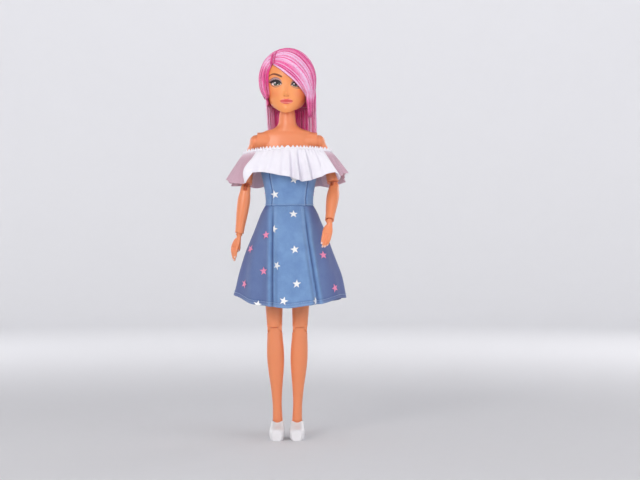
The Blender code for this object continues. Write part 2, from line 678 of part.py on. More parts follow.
def build_arm(side):
    tag = "_left" if side > 0 else "_right"
    swing = joint("shoulder_swing" + tag, None, (side * SHOULDER_X, 0.0, SHOULDER_Z))
    wall = ARM_BALL_RADIUS + SHOULDER_BARREL_REACH
    swing_peg("shoulder_peg" + tag, swing, side, SHOULDER_DISC_RADIUS, SHOULDER_DISC_WIDTH,
              SHOULDER_BARREL_RADIUS, wall, (SHOULDER_HEAD_RADIUS, SHOULDER_HEAD_LENGTH))
    spread = joint("shoulder_spread" + tag, swing, (0.0, 0.0, 0.0), 'Y', -side * ARM_SPREAD[side])
    arm = upper_arm("upper_arm" + tag, spread, side)
    rod("shoulder_pin" + tag, SHOULDER_PIN_RADIUS, (0.0, -SHOULDER_PIN_HALF, 0.0),
        (0.0, SHOULDER_PIN_HALF, 0.0), PIN_SIDES, spread, "steel_pin")
    clear_pin(bpy.data.objects["shoulder_peg" + tag], swing, SHOULDER_PIN_RADIUS, SHOULDER_DISC_WIDTH, 'Y')
    twist = joint("elbow_twist" + tag, spread, (side * ARM_OFFSET, 0.0, -UPPER_ARM_LENGTH), 'Z',
                  -side * ELBOW_TWIST[side])
    peg = stem_peg("elbow_peg" + tag, twist, ELBOW_DISC_RADIUS, ELBOW_DISC_WIDTH, ELBOW_STEM_RADIUS,
                   ELBOW_STEM_LENGTH, ELBOW_HEAD_RADIUS, ELBOW_HEAD_LENGTH)
    clear_pin(peg, twist, ELBOW_PIN_RADIUS, ELBOW_DISC_WIDTH, 'X')
    bend = joint("elbow_bend" + tag, twist, (0.0, 0.0, 0.0), 'X', -ELBOW_BEND[side])
    forearm("forearm" + tag, bend)
    rod("elbow_pin" + tag, ELBOW_PIN_RADIUS, (-ELBOW_PIN_HALF, 0.0, 0.0), (ELBOW_PIN_HALF, 0.0, 0.0),
        PIN_SIDES, bend, "steel_pin")
    turn = joint("wrist_twist" + tag, bend, (0.0, 0.0, -FOREARM_LENGTH), 'Z', side * WRIST_TWIST[side])
    peg = stem_peg("wrist_peg" + tag, turn, WRIST_DISC_RADIUS, WRIST_DISC_WIDTH, WRIST_STEM_RADIUS,
                   WRIST_STEM_LENGTH, WRIST_HEAD_RADIUS, WRIST_HEAD_LENGTH)
    clear_pin(peg, turn, WRIST_PIN_RADIUS, WRIST_DISC_WIDTH, 'X')
    flex = joint("wrist_bend" + tag, turn, (0.0, 0.0, 0.0), 'X', WRIST_BEND[side])
    hand("hand" + tag, flex, side)
    rod("wrist_pin" + tag, WRIST_PIN_RADIUS, (-WRIST_PIN_HALF, 0.0, 0.0), (WRIST_PIN_HALF, 0.0, 0.0),
        PIN_SIDES, flex, "steel_pin")
    return arm


def clear_pin(peg, parent, pin_radius, disc_width, axis):
    """The running hole of a pin through a peg's disc."""
    half = disc_width / 2 + OVERRUN / 2
    start = (0.0, -half, 0.0) if axis == 'Y' else (-half, 0.0, 0.0)
    end = (0.0, half, 0.0) if axis == 'Y' else (half, 0.0, 0.0)
    carve(peg, rod(peg.name + " pin hole", pin_radius + BORE_GAP, start, end, PIN_SIDES, parent))


# Legs

HIP_DISC_RADIUS = 0.0033
HIP_DISC_WIDTH = 0.0034
HIP_PIN_RADIUS = 0.0010
HIP_PIN_HALF = 0.0060
LEG_SLOT_LOW, LEG_SLOT_HIGH = -36.0, 66.0
THIGH_HALF_WIDTH = 0.0086
LEG_SIDES = 14
THIGH_SHARES = (
    (0.05, 0.985, 0.93, 0.95, 0.0),
    (0.18, 0.98, 0.97, 0.99, 0.0),
    (0.37, 0.90, 0.92, 0.90, 0.0),
    (0.58, 0.79, 0.82, 0.78, 0.0),
    (0.78, 0.68, 0.69, 0.67, 0.0),
    (0.92, 0.60, 0.60, 0.59, 0.0),
)
KNEE_HALF_WIDTH = 0.0049
KNEE_HALF_DEPTH = 0.0053
KNEE_KNUCKLE_RADIUS = 0.0040
KNEE_TONGUE_HALF = 0.0023
KNEE_LIP_RADIUS = 0.0068        # how far the shin's back lip reaches from the knee axis
KNEE_BEND_LIMIT = 100.0
KNEE_SHIN_NOTCH = 40.0          # the shin's back is cut down to this angle below the level
KNEE_PIN_RADIUS = 0.0010
KNEE_PIN_HALF = 0.0043
SHIN_HALF_WIDTH = 0.0065
SHIN_HALF_DEPTH = 0.0066
SHIN_SHARES = (
    (0.045, 0.78, 0.80, 0.80, 0.0),
    (0.13, 0.86, 0.82, 0.98, 0.0),
    (0.25, 0.99, 0.86, 1.18, 0.0),
    (0.38, 0.97, 0.84, 1.12, 0.0),
    (0.52, 0.86, 0.78, 0.94, 0.0),
    (0.70, 0.66, 0.64, 0.72, 0.0),
    (0.88, 0.53, 0.56, 0.60, 0.0),
    (1.00, 0.54, 0.62, 0.64, 0.0),
    (1.10, 0.58, 0.74, 0.72, 0.0),
)

FOOT_LENGTH = 0.0268
FOOT_HALF_WIDTH = 0.0043
FOOT_HEIGHT = 0.0105
HEEL_BACK = 0.0076              # the heel stands this far behind the ankle
SHOE_SOLE = 0.0028
SHOE_WALL = 0.0011
SHOE_TOE_ROOM = 0.0012
SHOE_COLLAR_Z = 0.0128
SHOE_COLLAR_SHARES = (0.92, 1.12, 0.86)     # of the foot's half-width and, front and back, of HEEL_BACK
FOOT_SIDES = 12
FOOT_SQUARE_SHARE = 0.7
SOLE_SPREAD_SHARE = 1.45         # over 1, so that the underside is cut flat at the floor
# Rows: share from heel to toe, width share, height share
FOOT_SHARES = (
    (0.00, 0.42, 0.62),
    (0.05, 0.70, 0.84),
    (0.16, 0.86, 1.00),
    (0.34, 0.84, 1.00),
    (0.52, 0.88, 0.80),
    (0.70, 1.00, 0.56),
    (0.84, 0.96, 0.46),
    (0.95, 0.74, 0.38),
    (1.00, 0.44, 0.30),
)


def thigh(name, parent, side):
    """Hip ball, tapered thigh and a knuckle fork that seats the shin's tongue."""
    rings = dome_rings(HIP_BALL_RADIUS, LEG_SIDES, 4)
    rings.append(oval((0.0, 0.0, 0.0), HIP_BALL_RADIUS, HIP_BALL_RADIUS, HIP_BALL_RADIUS, LEG_SIDES))
    rings += limb_rings(THIGH_LENGTH, THIGH_HALF_WIDTH, THIGH_HALF_DEPTH, THIGH_SHARES, side, LEG_SIDES)
    rings.append(oval((0.0, 0.0, -THIGH_LENGTH + GAP), KNEE_HALF_WIDTH, KNEE_HALF_DEPTH, KNEE_HALF_DEPTH,
                      LEG_SIDES))
    leg = loft(name, rings, parent, "body_plastic")
    knee = Vector((0.0, 0.0, -THIGH_LENGTH))
    reach = KNEE_HALF_DEPTH + OVERRUN
    notch = math.radians(KNEE_BEND_LIMIT - KNEE_SHIN_NOTCH)
    lip = KNEE_LIP_RADIUS + GAP
    tilt = math.radians(KNEE_BEND_LIMIT - 90.0)
    lip_point = Vector((lip * math.cos(notch), lip * math.sin(notch)))
    far = reach * 2 - lip_point.x
    outline = [(GAP, 0.0), lip_point, (lip_point.x + far, lip_point.y + far * math.tan(tilt)),
               (reach * 2, -reach), (GAP, -reach)]
    outline = [(y, knee.z + z) for y, z in outline]
    carve(leg, prism(name + " notch", outline, -reach * 2, reach * 2, 'X', parent))
    fuse(leg, rod(name + " knuckle", KNEE_KNUCKLE_RADIUS, knee - Vector((KNEE_HALF_WIDTH - GAP, 0.0, 0.0)),
                  knee + Vector((KNEE_HALF_WIDTH - GAP, 0.0, 0.0)), KNUCKLE_SIDES, parent))
    half_slot = KNEE_TONGUE_HALF + BORE_GAP
    carve(leg, rod(name + " slot", KNEE_KNUCKLE_RADIUS + GAP, knee - Vector((half_slot, 0.0, 0.0)),
                   knee + Vector((half_slot, 0.0, 0.0)), KNUCKLE_SIDES, parent))
    carve(leg, rod(name + " pin hole", KNEE_PIN_RADIUS + BORE_GAP, knee - Vector((reach, 0.0, 0.0)),
                   knee + Vector((reach, 0.0, 0.0)), PIN_SIDES, parent))
    spread_slot(leg, name, parent, side, HIP_DISC_RADIUS, HIP_DISC_WIDTH / 2 + BORE_GAP,
                HIP_BALL_RADIUS + OVERRUN, LEG_SLOT_LOW, LEG_SLOT_HIGH)
    carve(leg, rod(name + " hip pin hole", HIP_PIN_RADIUS + BORE_GAP,
                   (0.0, -HIP_PIN_HALF - GAP, 0.0), (0.0, HIP_PIN_HALF + GAP, 0.0), PIN_SIDES, parent))
    return leg


def foot_rings(grow, floor, toe_grow):
    """Arched rings from heel to toe, in the ankle's frame; grow widens them for the shoe."""
    rings = []
    heel = HEEL_BACK + grow
    length = FOOT_LENGTH + grow + toe_grow
    for share, width, height in FOOT_SHARES:
        y = heel - share * length
        top = SHOE_SOLE + GAP + FOOT_HEIGHT * height + grow
        half = FOOT_HALF_WIDTH * width + grow
        middle = (top + floor) / 2
        tall = top - middle
        ring = []
        for k in range(FOOT_SIDES):
            angle = math.tau * (k + 0.5) / FOOT_SIDES
            c, s = math.cos(angle), math.sin(angle)
            x = half * math.copysign(abs(c) ** FOOT_SQUARE_SHARE, c)
            z = middle + tall * (s ** FOOT_SQUARE_SHARE if s > 0 else SOLE_SPREAD_SHARE * s)
            ring.append(Vector((x, y, max(z, floor))))
        rings.append(ring)
    return rings


def shin(name, parent, ankle):
    """Tongue that turns in the thigh's fork, saddle cuts beside it, calf, ankle and foot."""
    rings = [oval((0.0, 0.0, 0.0), KNEE_HALF_WIDTH, KNEE_HALF_DEPTH, KNEE_HALF_DEPTH, LEG_SIDES)]
    rings += limb_rings(SHIN_LENGTH, SHIN_HALF_WIDTH, SHIN_HALF_DEPTH, SHIN_SHARES, 0, LEG_SIDES)
    leg = loft(name, rings, parent, "body_plastic")
    reach = KNEE_HALF_DEPTH + OVERRUN
    for way in (1, -1):
        carve(leg, rod(name + " saddle" + str(way), KNEE_KNUCKLE_RADIUS + SOCKET_GAP,
                       (way * KNEE_TONGUE_HALF, 0.0, 0.0), (way * reach, 0.0, 0.0), KNUCKLE_SIDES, parent))
    notch = math.radians(KNEE_SHIN_NOTCH)
    outline = [(GAP, 0.0), (reach * 2, -reach * 2 * math.tan(notch)), (reach * 2, reach), (GAP, reach)]
    carve(leg, prism(name + " notch", outline, -reach, reach, 'X', parent))
    fuse(leg, rod(name + " tongue", KNEE_KNUCKLE_RADIUS, (-KNEE_TONGUE_HALF, 0.0, 0.0),
                  (KNEE_TONGUE_HALF, 0.0, 0.0), KNUCKLE_SIDES, parent))
    carve(leg, rod(name + " pin hole", KNEE_PIN_RADIUS + BORE_GAP, (-reach, 0.0, 0.0), (reach, 0.0, 0.0),
                   PIN_SIDES, parent))
    fuse(leg, loft(name + " foot", foot_rings(0.0, SHOE_SOLE + GAP, 0.0), ankle))
    return leg


def shoe(name, ankle):
    """Slip-on shoe: flat sole, moulded upper, open at the collar."""
    made = loft(name, foot_rings(SHOE_WALL + GAP, 0.0, SHOE_WALL + SHOE_TOE_ROOM), ankle, "white_vinyl")
    carve(made, loft(name + " inside", foot_rings(GAP, SHOE_SOLE, GAP), ankle))
    high = FOOT_HEIGHT + SHOE_SOLE + OVERRUN
    width = FOOT_HALF_WIDTH + SHOE_WALL + OVERRUN
    carve(made, block(name + " top cut", (-width, -FOOT_LENGTH, SHOE_COLLAR_Z),
                      (width, FOOT_LENGTH, high + SHOE_COLLAR_Z), ankle))
    width, front, back = SHOE_COLLAR_SHARES
    width, front, back = FOOT_HALF_WIDTH * width, HEEL_BACK * front, HEEL_BACK * back
    collar = [oval((0.0, 0.0, z), width, front, back, KNUCKLE_SIDES)
              for z in (SHOE_COLLAR_Z + OVERRUN, SHOE_COLLAR_Z / 2)]
    carve(made, loft(name + " collar", collar, ankle))
    return made


def build_leg(side):
    tag = "_left" if side > 0 else "_right"
    swing = joint("hip_swing" + tag, None, (side * HIP_HALF_SPAN, 0.0, HIP_Z))
    swing_peg("hip_peg" + tag, swing, side, HIP_DISC_RADIUS, HIP_DISC_WIDTH, HIP_BARREL_RADIUS,
              HIP_HALF_SPAN - GAP, None)
    clear_pin(bpy.data.objects["hip_peg" + tag], swing, HIP_PIN_RADIUS, HIP_DISC_WIDTH, 'Y')
    lean = math.degrees(math.asin(KNEE_INSET / THIGH_LENGTH))
    spread = joint("hip_spread" + tag, swing, (0.0, 0.0, 0.0), 'Y', side * lean)
    thigh("thigh" + tag, spread, side)
    rod("hip_pin" + tag, HIP_PIN_RADIUS, (0.0, -HIP_PIN_HALF, 0.0), (0.0, HIP_PIN_HALF, 0.0), PIN_SIDES,
        spread, "steel_pin")
    knee = joint("knee_bend" + tag, spread, (0.0, 0.0, -THIGH_LENGTH), 'X', KNEE_REST_BEND)
    ankle_lean = math.degrees(math.asin(ANKLE_INSET / SHIN_LENGTH)) - lean
    shank = joint("shin_lean" + tag, knee, (0.0, 0.0, 0.0), 'Y', side * ankle_lean)
    ankle_back = SHIN_LENGTH * math.sin(math.radians(KNEE_REST_BEND))
    sole = joint("sole" + tag, None, (side * (HIP_HALF_SPAN - KNEE_INSET - ANKLE_INSET), ankle_back, 0.0))
    shin("shin" + tag, shank, sole)
    rod("knee_pin" + tag, KNEE_PIN_RADIUS, (-KNEE_PIN_HALF, 0.0, 0.0), (KNEE_PIN_HALF, 0.0, 0.0), PIN_SIDES,
        knee, "steel_pin")
    shoe("shoe" + tag, sole)


# Head

HEAD_HEIGHT = 0.0418
HEAD_HALF_WIDTH = 0.0160
HEAD_HALF_DEPTH = 0.0160
CHIN_BELOW_NECK_TOP = 0.0001      # the jaw's middle ring lies this far below the neck's top
CHIN_TILT_SHARE = 0.17            # rise of the jaw line from front to back
HEAD_HOLE_RADIUS = 0.0064
KNOB_RADIUS = 0.0030
HEAD_CEILING = 0.0017             # the head's inner ceiling lies this far below the nod axis
HEAD_WALL = 0.0020
HEAD_HOLLOW_SHARES = (0.26, 0.97)    # the hollow of the head, lowest and highest height share
HEAD_VENT_RADIUS = 0.0011
HEAD_SIDES = 24
# Rows: height share, width share, front share, back share
HEAD_SHARES = (
    (0.000, 0.48, 0.79, 0.52),
    (0.060, 0.60, 0.84, 0.62),
    (0.150, 0.75, 0.88, 0.74),
    (0.260, 0.86, 0.91, 0.84),
    (0.380, 0.93, 0.93, 0.93),
    (0.500, 0.975, 0.94, 0.98),
    (0.620, 1.000, 0.97, 1.00),
    (0.740, 0.970, 0.93, 0.98),
    (0.840, 0.860, 0.80, 0.87),
    (0.915, 0.680, 0.61, 0.69),
    (0.970, 0.430, 0.38, 0.44),
    (1.000, 0.130, 0.12, 0.13),
)
NOSE_SHARE = 0.30
NOSE_HEIGHT = 0.0040
NOSE_REACH = 0.0016
NOSE_HALF_WIDTH = 0.0020
NOSE_TOP_SHARE = 0.25
NOSE_SIDES = 8
KNOB_STEPS = 5


def head_row(share):
    rows = HEAD_SHARES
    share = min(max(share, rows[0][0]), rows[-1][0])
    for low, high in zip(rows, rows[1:]):
        if low[0] <= share <= high[0]:
            mix = (share - low[0]) / (high[0] - low[0])
            return [a + (b - a) * mix for a, b in zip(low[1:], high[1:])]
    return list(rows[-1][1:])


def head_point(angle, share, grow=0.0):
    """A point of the head's skin in the nod joint's frame. Angle 0 looks front, + turns to +X."""
    width, front, back = head_row(share)
    c, s = math.cos(angle), math.sin(angle)
    depth = front if c > 0 else back
    x = (width * HEAD_HALF_WIDTH + grow) * s
    y = -(depth * HEAD_HALF_DEPTH + grow) * c
    z = share * HEAD_HEIGHT - NECK_TO_NOD - CHIN_BELOW_NECK_TOP
    z += CHIN_TILT_SHARE * y * (1.0 - share) ** 2
    return Vector((x, y, z + grow * (share ** 4)))


def head_rings(grow=0.0, lowest=0.0, highest=1.0):
    return [[head_point(math.tau * k / HEAD_SIDES, row[0], grow) for k in range(HEAD_SIDES)]
            for row in HEAD_SHARES if lowest <= row[0] <= highest]


def head_shell(parent):
    head = loft("head_shell", head_rings(), parent, "skin_vinyl")
    nose_z = NOSE_SHARE * HEAD_HEIGHT - NECK_TO_NOD
    front = -head_row(NOSE_SHARE)[1] * HEAD_HALF_DEPTH
    fuse(head, rod("nose", NOSE_HALF_WIDTH, (0.0, front + NOSE_REACH, nose_z - NOSE_HALF_WIDTH / 2),
                   (0.0, front - NOSE_REACH / 2, nose_z + NOSE_HEIGHT), NOSE_SIDES, parent,
                   end_radius=NOSE_HALF_WIDTH * NOSE_TOP_SHARE))
    carve(head, rod("neck opening", HEAD_HOLE_RADIUS, (0.0, 0.0, -HEAD_HEIGHT / 2),
                    (0.0, 0.0, -HEAD_CEILING), HEAD_SIDES, parent))
    carve(head, ball("knob socket", KNOB_RADIUS + SOCKET_GAP, (0.0, 0.0, 0.0), CUP_FACETS, parent))
    carve(head, loft("head hollow", head_rings(-HEAD_WALL, *HEAD_HOLLOW_SHARES), parent))
    carve(head, rod("head vent", HEAD_VENT_RADIUS, (0.0, 0.0, 0.0), (0.0, 0.0, HEAD_HEIGHT / 2), PIN_SIDES,
                    parent))
    return head


def neck_knob(parent):
    """Ball that the head nods on, with a stem and flange that turn inside the neck."""
    bottom = -NECK_TO_NOD - NECK_STEM_DEPTH
    profile = []
    last = math.acos(-math.sqrt(1.0 - (NECK_STEM_RADIUS / KNOB_RADIUS) ** 2))
    for step in range(KNOB_STEPS + 1):
        fall = last * step / KNOB_STEPS
        profile.append((KNOB_RADIUS * math.sin(fall), KNOB_RADIUS * math.cos(fall)))
    flange = bottom + NECK_FLANGE_LENGTH
    profile += [(NECK_STEM_RADIUS, flange), (NECK_FLANGE_RADIUS, flange), (NECK_FLANGE_RADIUS, bottom),
                (0.0, bottom)]
    return turned("neck_knob", profile, PEG_SIDES, parent, "joint_plastic")


# Hair: four bodies of strands over the head

HAIR_TOP = 0.0042
HAIR_SIDE = 0.0056
HAIR_FRONT = 0.0022
HAIR_LOW_SHARE = 0.15             # the hair stands off this much more at the nape, of HAIR_SIDE
HAIR_ROUND_POWER = 6              # how late the side hair thins towards the top
CROWN_TOP_SHARE = 0.985
CROWN_EDGE_SHARE = 0.80           # thickness of the crown's edge, of the hair above it
LOCK_EDGE_SHARE = 0.65            # the same for the fringe and the side lock
CROWN_SPREAD_POWER = 0.9
CROWN_ROWS = 6
PATCH_ROWS = 5
FRINGE_COLUMNS = (-3, 8)          # first and last of the crown's columns that the fringe spans
LOCK_COLUMNS = (-8, -4)
HAIR_ROOT = 0.0012                # the hair bodies start this deep and are then cut to the head
CROWN_COLUMNS = 32
HAIR_GAP = 0.0014                 # between the crown and the locks that hang from it
# Hairline of the crown: angle in degrees from the front, height share where the crown ends
CROWN_EDGE_SHARES = ((-180, 0.20), (-125, 0.20), (-96, 0.28), (-74, 0.60), (-52, 0.82), (-38, 0.90),
                     (-10, 0.88), (20, 0.84), (48, 0.78), (70, 0.62), (96, 0.28), (125, 0.20), (180, 0.20))
# Lower edge of the fringe that sweeps over the forehead
FRINGE_EDGE_SHARES = ((-36, 0.84), (-20, 0.79), (-2, 0.71), (14, 0.64), (30, 0.56), (42, 0.47),
                      (52, 0.30), (66, 0.16), (86, 0.10))
# Lower edge of the side lock on the other side
LOCK_EDGE_SHARES = ((-86, 0.10), (-74, 0.12), (-62, 0.20), (-56, 0.46), (-48, 0.72), (-41, 0.84))
BACK_HAIR_END = 0.0585            # how far below the nod axis the back hair ends
BACK_HAIR_THICKNESS = 0.0044
BACK_HAIR_CURVE_SHARE = 0.60      # how far its sides wrap forward at the top, of HEAD_HALF_WIDTH
BACK_HAIR_EDGE_SHARE = 0.60       # how much thinner its side edges are
BACK_HAIR_COLUMNS = 8
# Rows of the back hair: drop share, half-width, distance behind the neck axis (shares of head sizes)
BACK_HAIR_SHARES = (
    (0.00, 1.02, 0.79), (0.10, 1.02, 0.79), (0.26, 0.98, 0.81), (0.48, 0.86, 0.86),
    (0.70, 0.80, 0.93), (0.88, 0.74, 0.97), (1.00, 0.62, 1.00),
)


def along_table(table, key):
    """Straight-line reading of a table of pairs."""
    if key <= table[0][0]:
        return table[0][1]
    for low, high in zip(table, table[1:]):
        if key <= high[0]:
            return low[1] + (high[1] - low[1]) * (key - low[0]) / (high[0] - low[0])
    return table[-1][1]


def hair_depth(angle_degrees, share):
    """Thickness of the hair over the head."""
    sideways = abs(math.sin(math.radians(angle_degrees)))
    low = HAIR_FRONT if abs(angle_degrees) < 90 else HAIR_TOP
    lift = HAIR_LOW_SHARE * (HAIR_SIDE - HAIR_TOP) * (1.0 - share)
    return low + (HAIR_SIDE - low) * sideways ** 2 * (1.0 - share ** HAIR_ROUND_POWER) + lift


def hair_patch(name, parent, span, bottom_edge):
    """A closed patch of hair between the crown and a lower edge; both skins follow the head."""
    bm = bmesh.new()
    columns, rows = span[1] - span[0], PATCH_ROWS
    skins = []
    for outer in (False, True):
        grid = []
        for i in range(columns + 1):
            degrees = (span[0] + i) * 360.0 / CROWN_COLUMNS
            high = along_table(CROWN_EDGE_SHARES, degrees) - HAIR_GAP / HEAD_HEIGHT
            low = along_table(bottom_edge, degrees)
            line = []
            for j in range(rows + 1):
                share = high + (low - high) * j / rows
                thick = hair_depth(degrees, share) * (1.0 if j < rows else LOCK_EDGE_SHARE)
                grow = thick if outer else -HAIR_ROOT
                line.append(bm.verts.new(head_point(math.radians(degrees), share, grow)))
            grid.append(line)
        skins.append(grid)
    inner, outer = skins
    for grid in skins:
        for i in range(columns):
            for j in range(rows):
                bm.faces.new((grid[i][j], grid[i + 1][j], grid[i + 1][j + 1], grid[i][j + 1]))
    for i in range(columns):
        for j in (0, rows):
            bm.faces.new((inner[i][j], inner[i + 1][j], outer[i + 1][j], outer[i][j]))
    for j in range(rows):
        for i in (0, columns):
            bm.faces.new((inner[i][j], inner[i][j + 1], outer[i][j + 1], outer[i][j]))
    return carve(place(name, bm, parent, "pink_hair"), loft(name + " seat", head_rings(GAP), parent))


def hair_crown(parent):
    """A closed cap: pole on top, edge along the hairline, back and sides down to the nape."""
    rows = CROWN_ROWS
    bm = bmesh.new()
    skins = []
    for outer in (False, True):
        pole_z = head_point(0.0, 1.0).z + (HAIR_TOP if outer else -HAIR_ROOT)
        pole = bm.verts.new(Vector((0.0, 0.0, pole_z)))
        grid = []
        for i in range(CROWN_COLUMNS):
            degrees = -180.0 + 360.0 * i / CROWN_COLUMNS
            low = along_table(CROWN_EDGE_SHARES, degrees)
            line = []
            for j in range(rows + 1):
                share = CROWN_TOP_SHARE + (low - CROWN_TOP_SHARE) * (j / rows) ** CROWN_SPREAD_POWER
                thick = hair_depth(degrees, share) * (1.0 if j < rows else CROWN_EDGE_SHARE)
                grow = thick if outer else -HAIR_ROOT
                line.append(bm.verts.new(head_point(math.radians(degrees), share, grow)))
            grid.append(line)
        skins.append(grid)
        for i in range(CROWN_COLUMNS):
            k = (i + 1) % CROWN_COLUMNS
            bm.faces.new((pole, grid[i][0], grid[k][0]))
            for j in range(rows):
                bm.faces.new((grid[i][j], grid[k][j], grid[k][j + 1], grid[i][j + 1]))
    inner, outer = skins
    for i in range(CROWN_COLUMNS):
        k = (i + 1) % CROWN_COLUMNS
        bm.faces.new((inner[i][rows], inner[k][rows], outer[k][rows], outer[i][rows]))
    return carve(place("hair_crown", bm, parent, "pink_hair"), loft("crown seat", head_rings(GAP), parent))


def hair_back(parent):
    """Long straight hair that starts under the crown's edge and hangs behind the shoulders."""
    top = along_table(CROWN_EDGE_SHARES, 180.0) * HEAD_HEIGHT - NECK_TO_NOD
    rings = []
    for drop, width, behind in BACK_HAIR_SHARES:
        z = top - GAP - HAIR_SIDE / 2 - drop * (BACK_HAIR_END + top)
        half = width * HEAD_HALF_WIDTH
        middle = behind * (HEAD_HALF_DEPTH + HAIR_TOP)
        curve = HEAD_HALF_WIDTH * BACK_HAIR_CURVE_SHARE * (1.0 - drop) ** 2
        outer, inner = [], []
        for k in range(BACK_HAIR_COLUMNS + 1):
            share = 2.0 * k / BACK_HAIR_COLUMNS - 1.0
            y = middle - curve * share ** 2
            thick = BACK_HAIR_THICKNESS / 2 * (1.0 - BACK_HAIR_EDGE_SHARE * share ** 6)
            outer.append(Vector((share * half, y + thick, z)))
            inner.append(Vector((share * half, y - thick, z)))
        rings.append(outer + inner[::-1])
    return loft("hair_back", rings, parent, "pink_hair")


def build_head():
    turn = joint("head_turn", None, (0.0, 0.0, NOD_Z), 'Z', HEAD_TURN)
    neck_knob(turn)
    nod = joint("head_nod", turn, (0.0, 0.0, 0.0), 'X', 0.0)
    head_shell(nod)
    hair_crown(nod)
    hair_patch("hair_fringe", nod, FRINGE_COLUMNS, FRINGE_EDGE_SHARES)
    hair_patch("hair_side_lock", nod, LOCK_COLUMNS, LOCK_EDGE_SHARES)
    hair_back(nod)


# Dress

DENIM = 0.0009
BODICE_TOP_SHARE = 0.655
BODICE_BOTTOM_SHARE = 0.250
BODICE_SHARES = (BODICE_TOP_SHARE, 0.583, 0.509, 0.424, 0.339, BODICE_BOTTOM_SHARE)
SKIRT_HALF_WIDTH = 0.0404
SKIRT_FRONT_DEPTH = 0.0300
SKIRT_BACK_DEPTH = 0.0327
SKIRT_LENGTH = 0.0765              # from the waist seam to the middle of the front hem
SKIRT_SIDE_LIFT = 0.0080           # the hem rises this far at the sides
SKIRT_COLUMNS = 52
SKIRT_ROWS = 6
SKIRT_FLARE = 0.60                 # under 1, the skirt widens soonest below the waist
SKIRT_LEAN_SHARE = 0.7             # the slanted cloth's top stands this far above its inner edge
PLEAT_DEPTH = 0.0030
PLEAT_HALF_WIDTH = 0.0034
# Places of the two front pleats at the waist and at the hem, in shares of the half-width there
PLEAT_SHARES = ((-0.62, -0.27), (0.74, 0.53))
FOLD_DEPTH = 0.0016
FOLD_COUNT = 9
FOLD_TURN = 1.2
PLEAT_POWER = 0.6                  # under 1, the pleats open soonest below the waist
TAPE_HALF_WIDTH = 0.0026
TAPE_THICKNESS = 0.0007
TAPE_SHARES = (0.60, 0.30)


def dress_bodice():
    rings = [body_ring(body_level(share), GAP) for share in BODICE_SHARES]
    return sleeve("dress_bodice", rings, DENIM, None, "denim")


def skirt_ring(t):
    """Ring of the skirt's inner face, t from 0 at the waist to 1 at the hem."""
    waist = body_row(body_level(BODICE_BOTTOM_SHARE))
    spread = t ** SKIRT_FLARE
    width = waist[0] + GAP + (SKIRT_HALF_WIDTH - DENIM - waist[0] - GAP) * spread
    front = waist[1] + GAP + (SKIRT_FRONT_DEPTH - DENIM - waist[1] - GAP) * spread
    back = waist[2] + GAP + (SKIRT_BACK_DEPTH - DENIM - waist[2] - GAP) * spread
    top = body_level(BODICE_BOTTOM_SHARE) - GAP - DENIM * SKIRT_LEAN_SHARE
    ring = []
    for k in range(SKIRT_COLUMNS):
        angle = math.tau * k / SKIRT_COLUMNS
        c, s = math.cos(angle), math.sin(angle)
        wave = FOLD_DEPTH * t * (math.cos(FOLD_COUNT * angle + FOLD_TURN) - 1.0) / 2
        if s < 0:
            for waist_share, hem_share in PLEAT_SHARES:
                middle = (waist_share + (hem_share - waist_share) * t) * width
                away = (width * c - middle) / PLEAT_HALF_WIDTH
                wave -= PLEAT_DEPTH * t ** PLEAT_POWER * math.exp(-away * away)
        x = (width + wave) * c
        y = ((front if s < 0 else back) + wave) * s
        lift = SKIRT_SIDE_LIFT * t * c * c
        ring.append(Vector((x, y, top - SKIRT_LENGTH * t + lift)))
    return ring


def dress_skirt():
    rings = [skirt_ring(row / SKIRT_ROWS) for row in range(SKIRT_ROWS + 1)]
    return sleeve("dress_skirt", rings, DENIM, None, "denim")


def back_fastener():
    """Soft closure tape down the back of the bodice."""
    rings = []
    for share in (TAPE_SHARES[0], sum(TAPE_SHARES) / 2, TAPE_SHARES[1]):
        height = body_level(share)
        back = body_row(height)[2] + GAP + DENIM + GAP
        low, high = back, back + TAPE_THICKNESS
        rings.append([Vector((-TAPE_HALF_WIDTH, low, height)), Vector((TAPE_HALF_WIDTH, low, height)),
                      Vector((TAPE_HALF_WIDTH, high, height)), Vector((-TAPE_HALF_WIDTH, high, height))])
    return loft("back_fastener", rings, None, "closure_tape")


# Ruffle and its elastic edge, worn off the shoulders round both arms

ELASTIC_Z_SHARE = 0.682
ELASTIC_RISE = 0.0024              # the front middle sits this much higher than the sides
ELASTIC_RADIUS = 0.0007
ELASTIC_COLUMNS = 44
ELASTIC_SIDES = 6
ELASTIC_PUFF_SHARE = 0.18          # every other gather is this much taller, the ones between lower
YOKE_SQUARE_SHARE = 0.82
ARM_CLEARANCE = 0.0004
CHIFFON = 0.0006
RUFFLE_DROP = 0.0230
RUFFLE_FLARE = 0.0102
RUFFLE_FRONT_FLARE = 0.0060
RUFFLE_BACK_FLARE = 0.0020
RUFFLE_COLUMNS = 68
RUFFLE_ROWS = 5
RUFFLE_FOLDS = 16
RUFFLE_WAVE = 0.0022
RUFFLE_WAVE_TURN = 0.6
RUFFLE_BACK_CALM_SHARE = 0.75      # how much flatter the folds are behind
RUFFLE_BUST = 0.0012
RUFFLE_BUST_SHARE = 0.8            # the bust pushes the flounce out down to this share of its drop
RUFFLE_HANG_POWER = 0.7
RUFFLE_TOP_SHARE = 1.2
RUFFLE_OUT_SHARE = 2.0             # how much the folds point to the front and back, not the sides


def elastic_half_width():
    """Wide enough for both spread arms inside it."""
    drop = (1.0 - ELASTIC_Z_SHARE) * HIP_TO_NECK_TOP - (HIP_TO_NECK_TOP - HIP_TO_SHOULDER)
    widest = max(math.sin(math.radians(a)) for a in ARM_SPREAD.values())
    return SHOULDER_X + ARM_OFFSET + ARM_HALF_WIDTH + drop * widest + ELASTIC_RADIUS + ARM_CLEARANCE


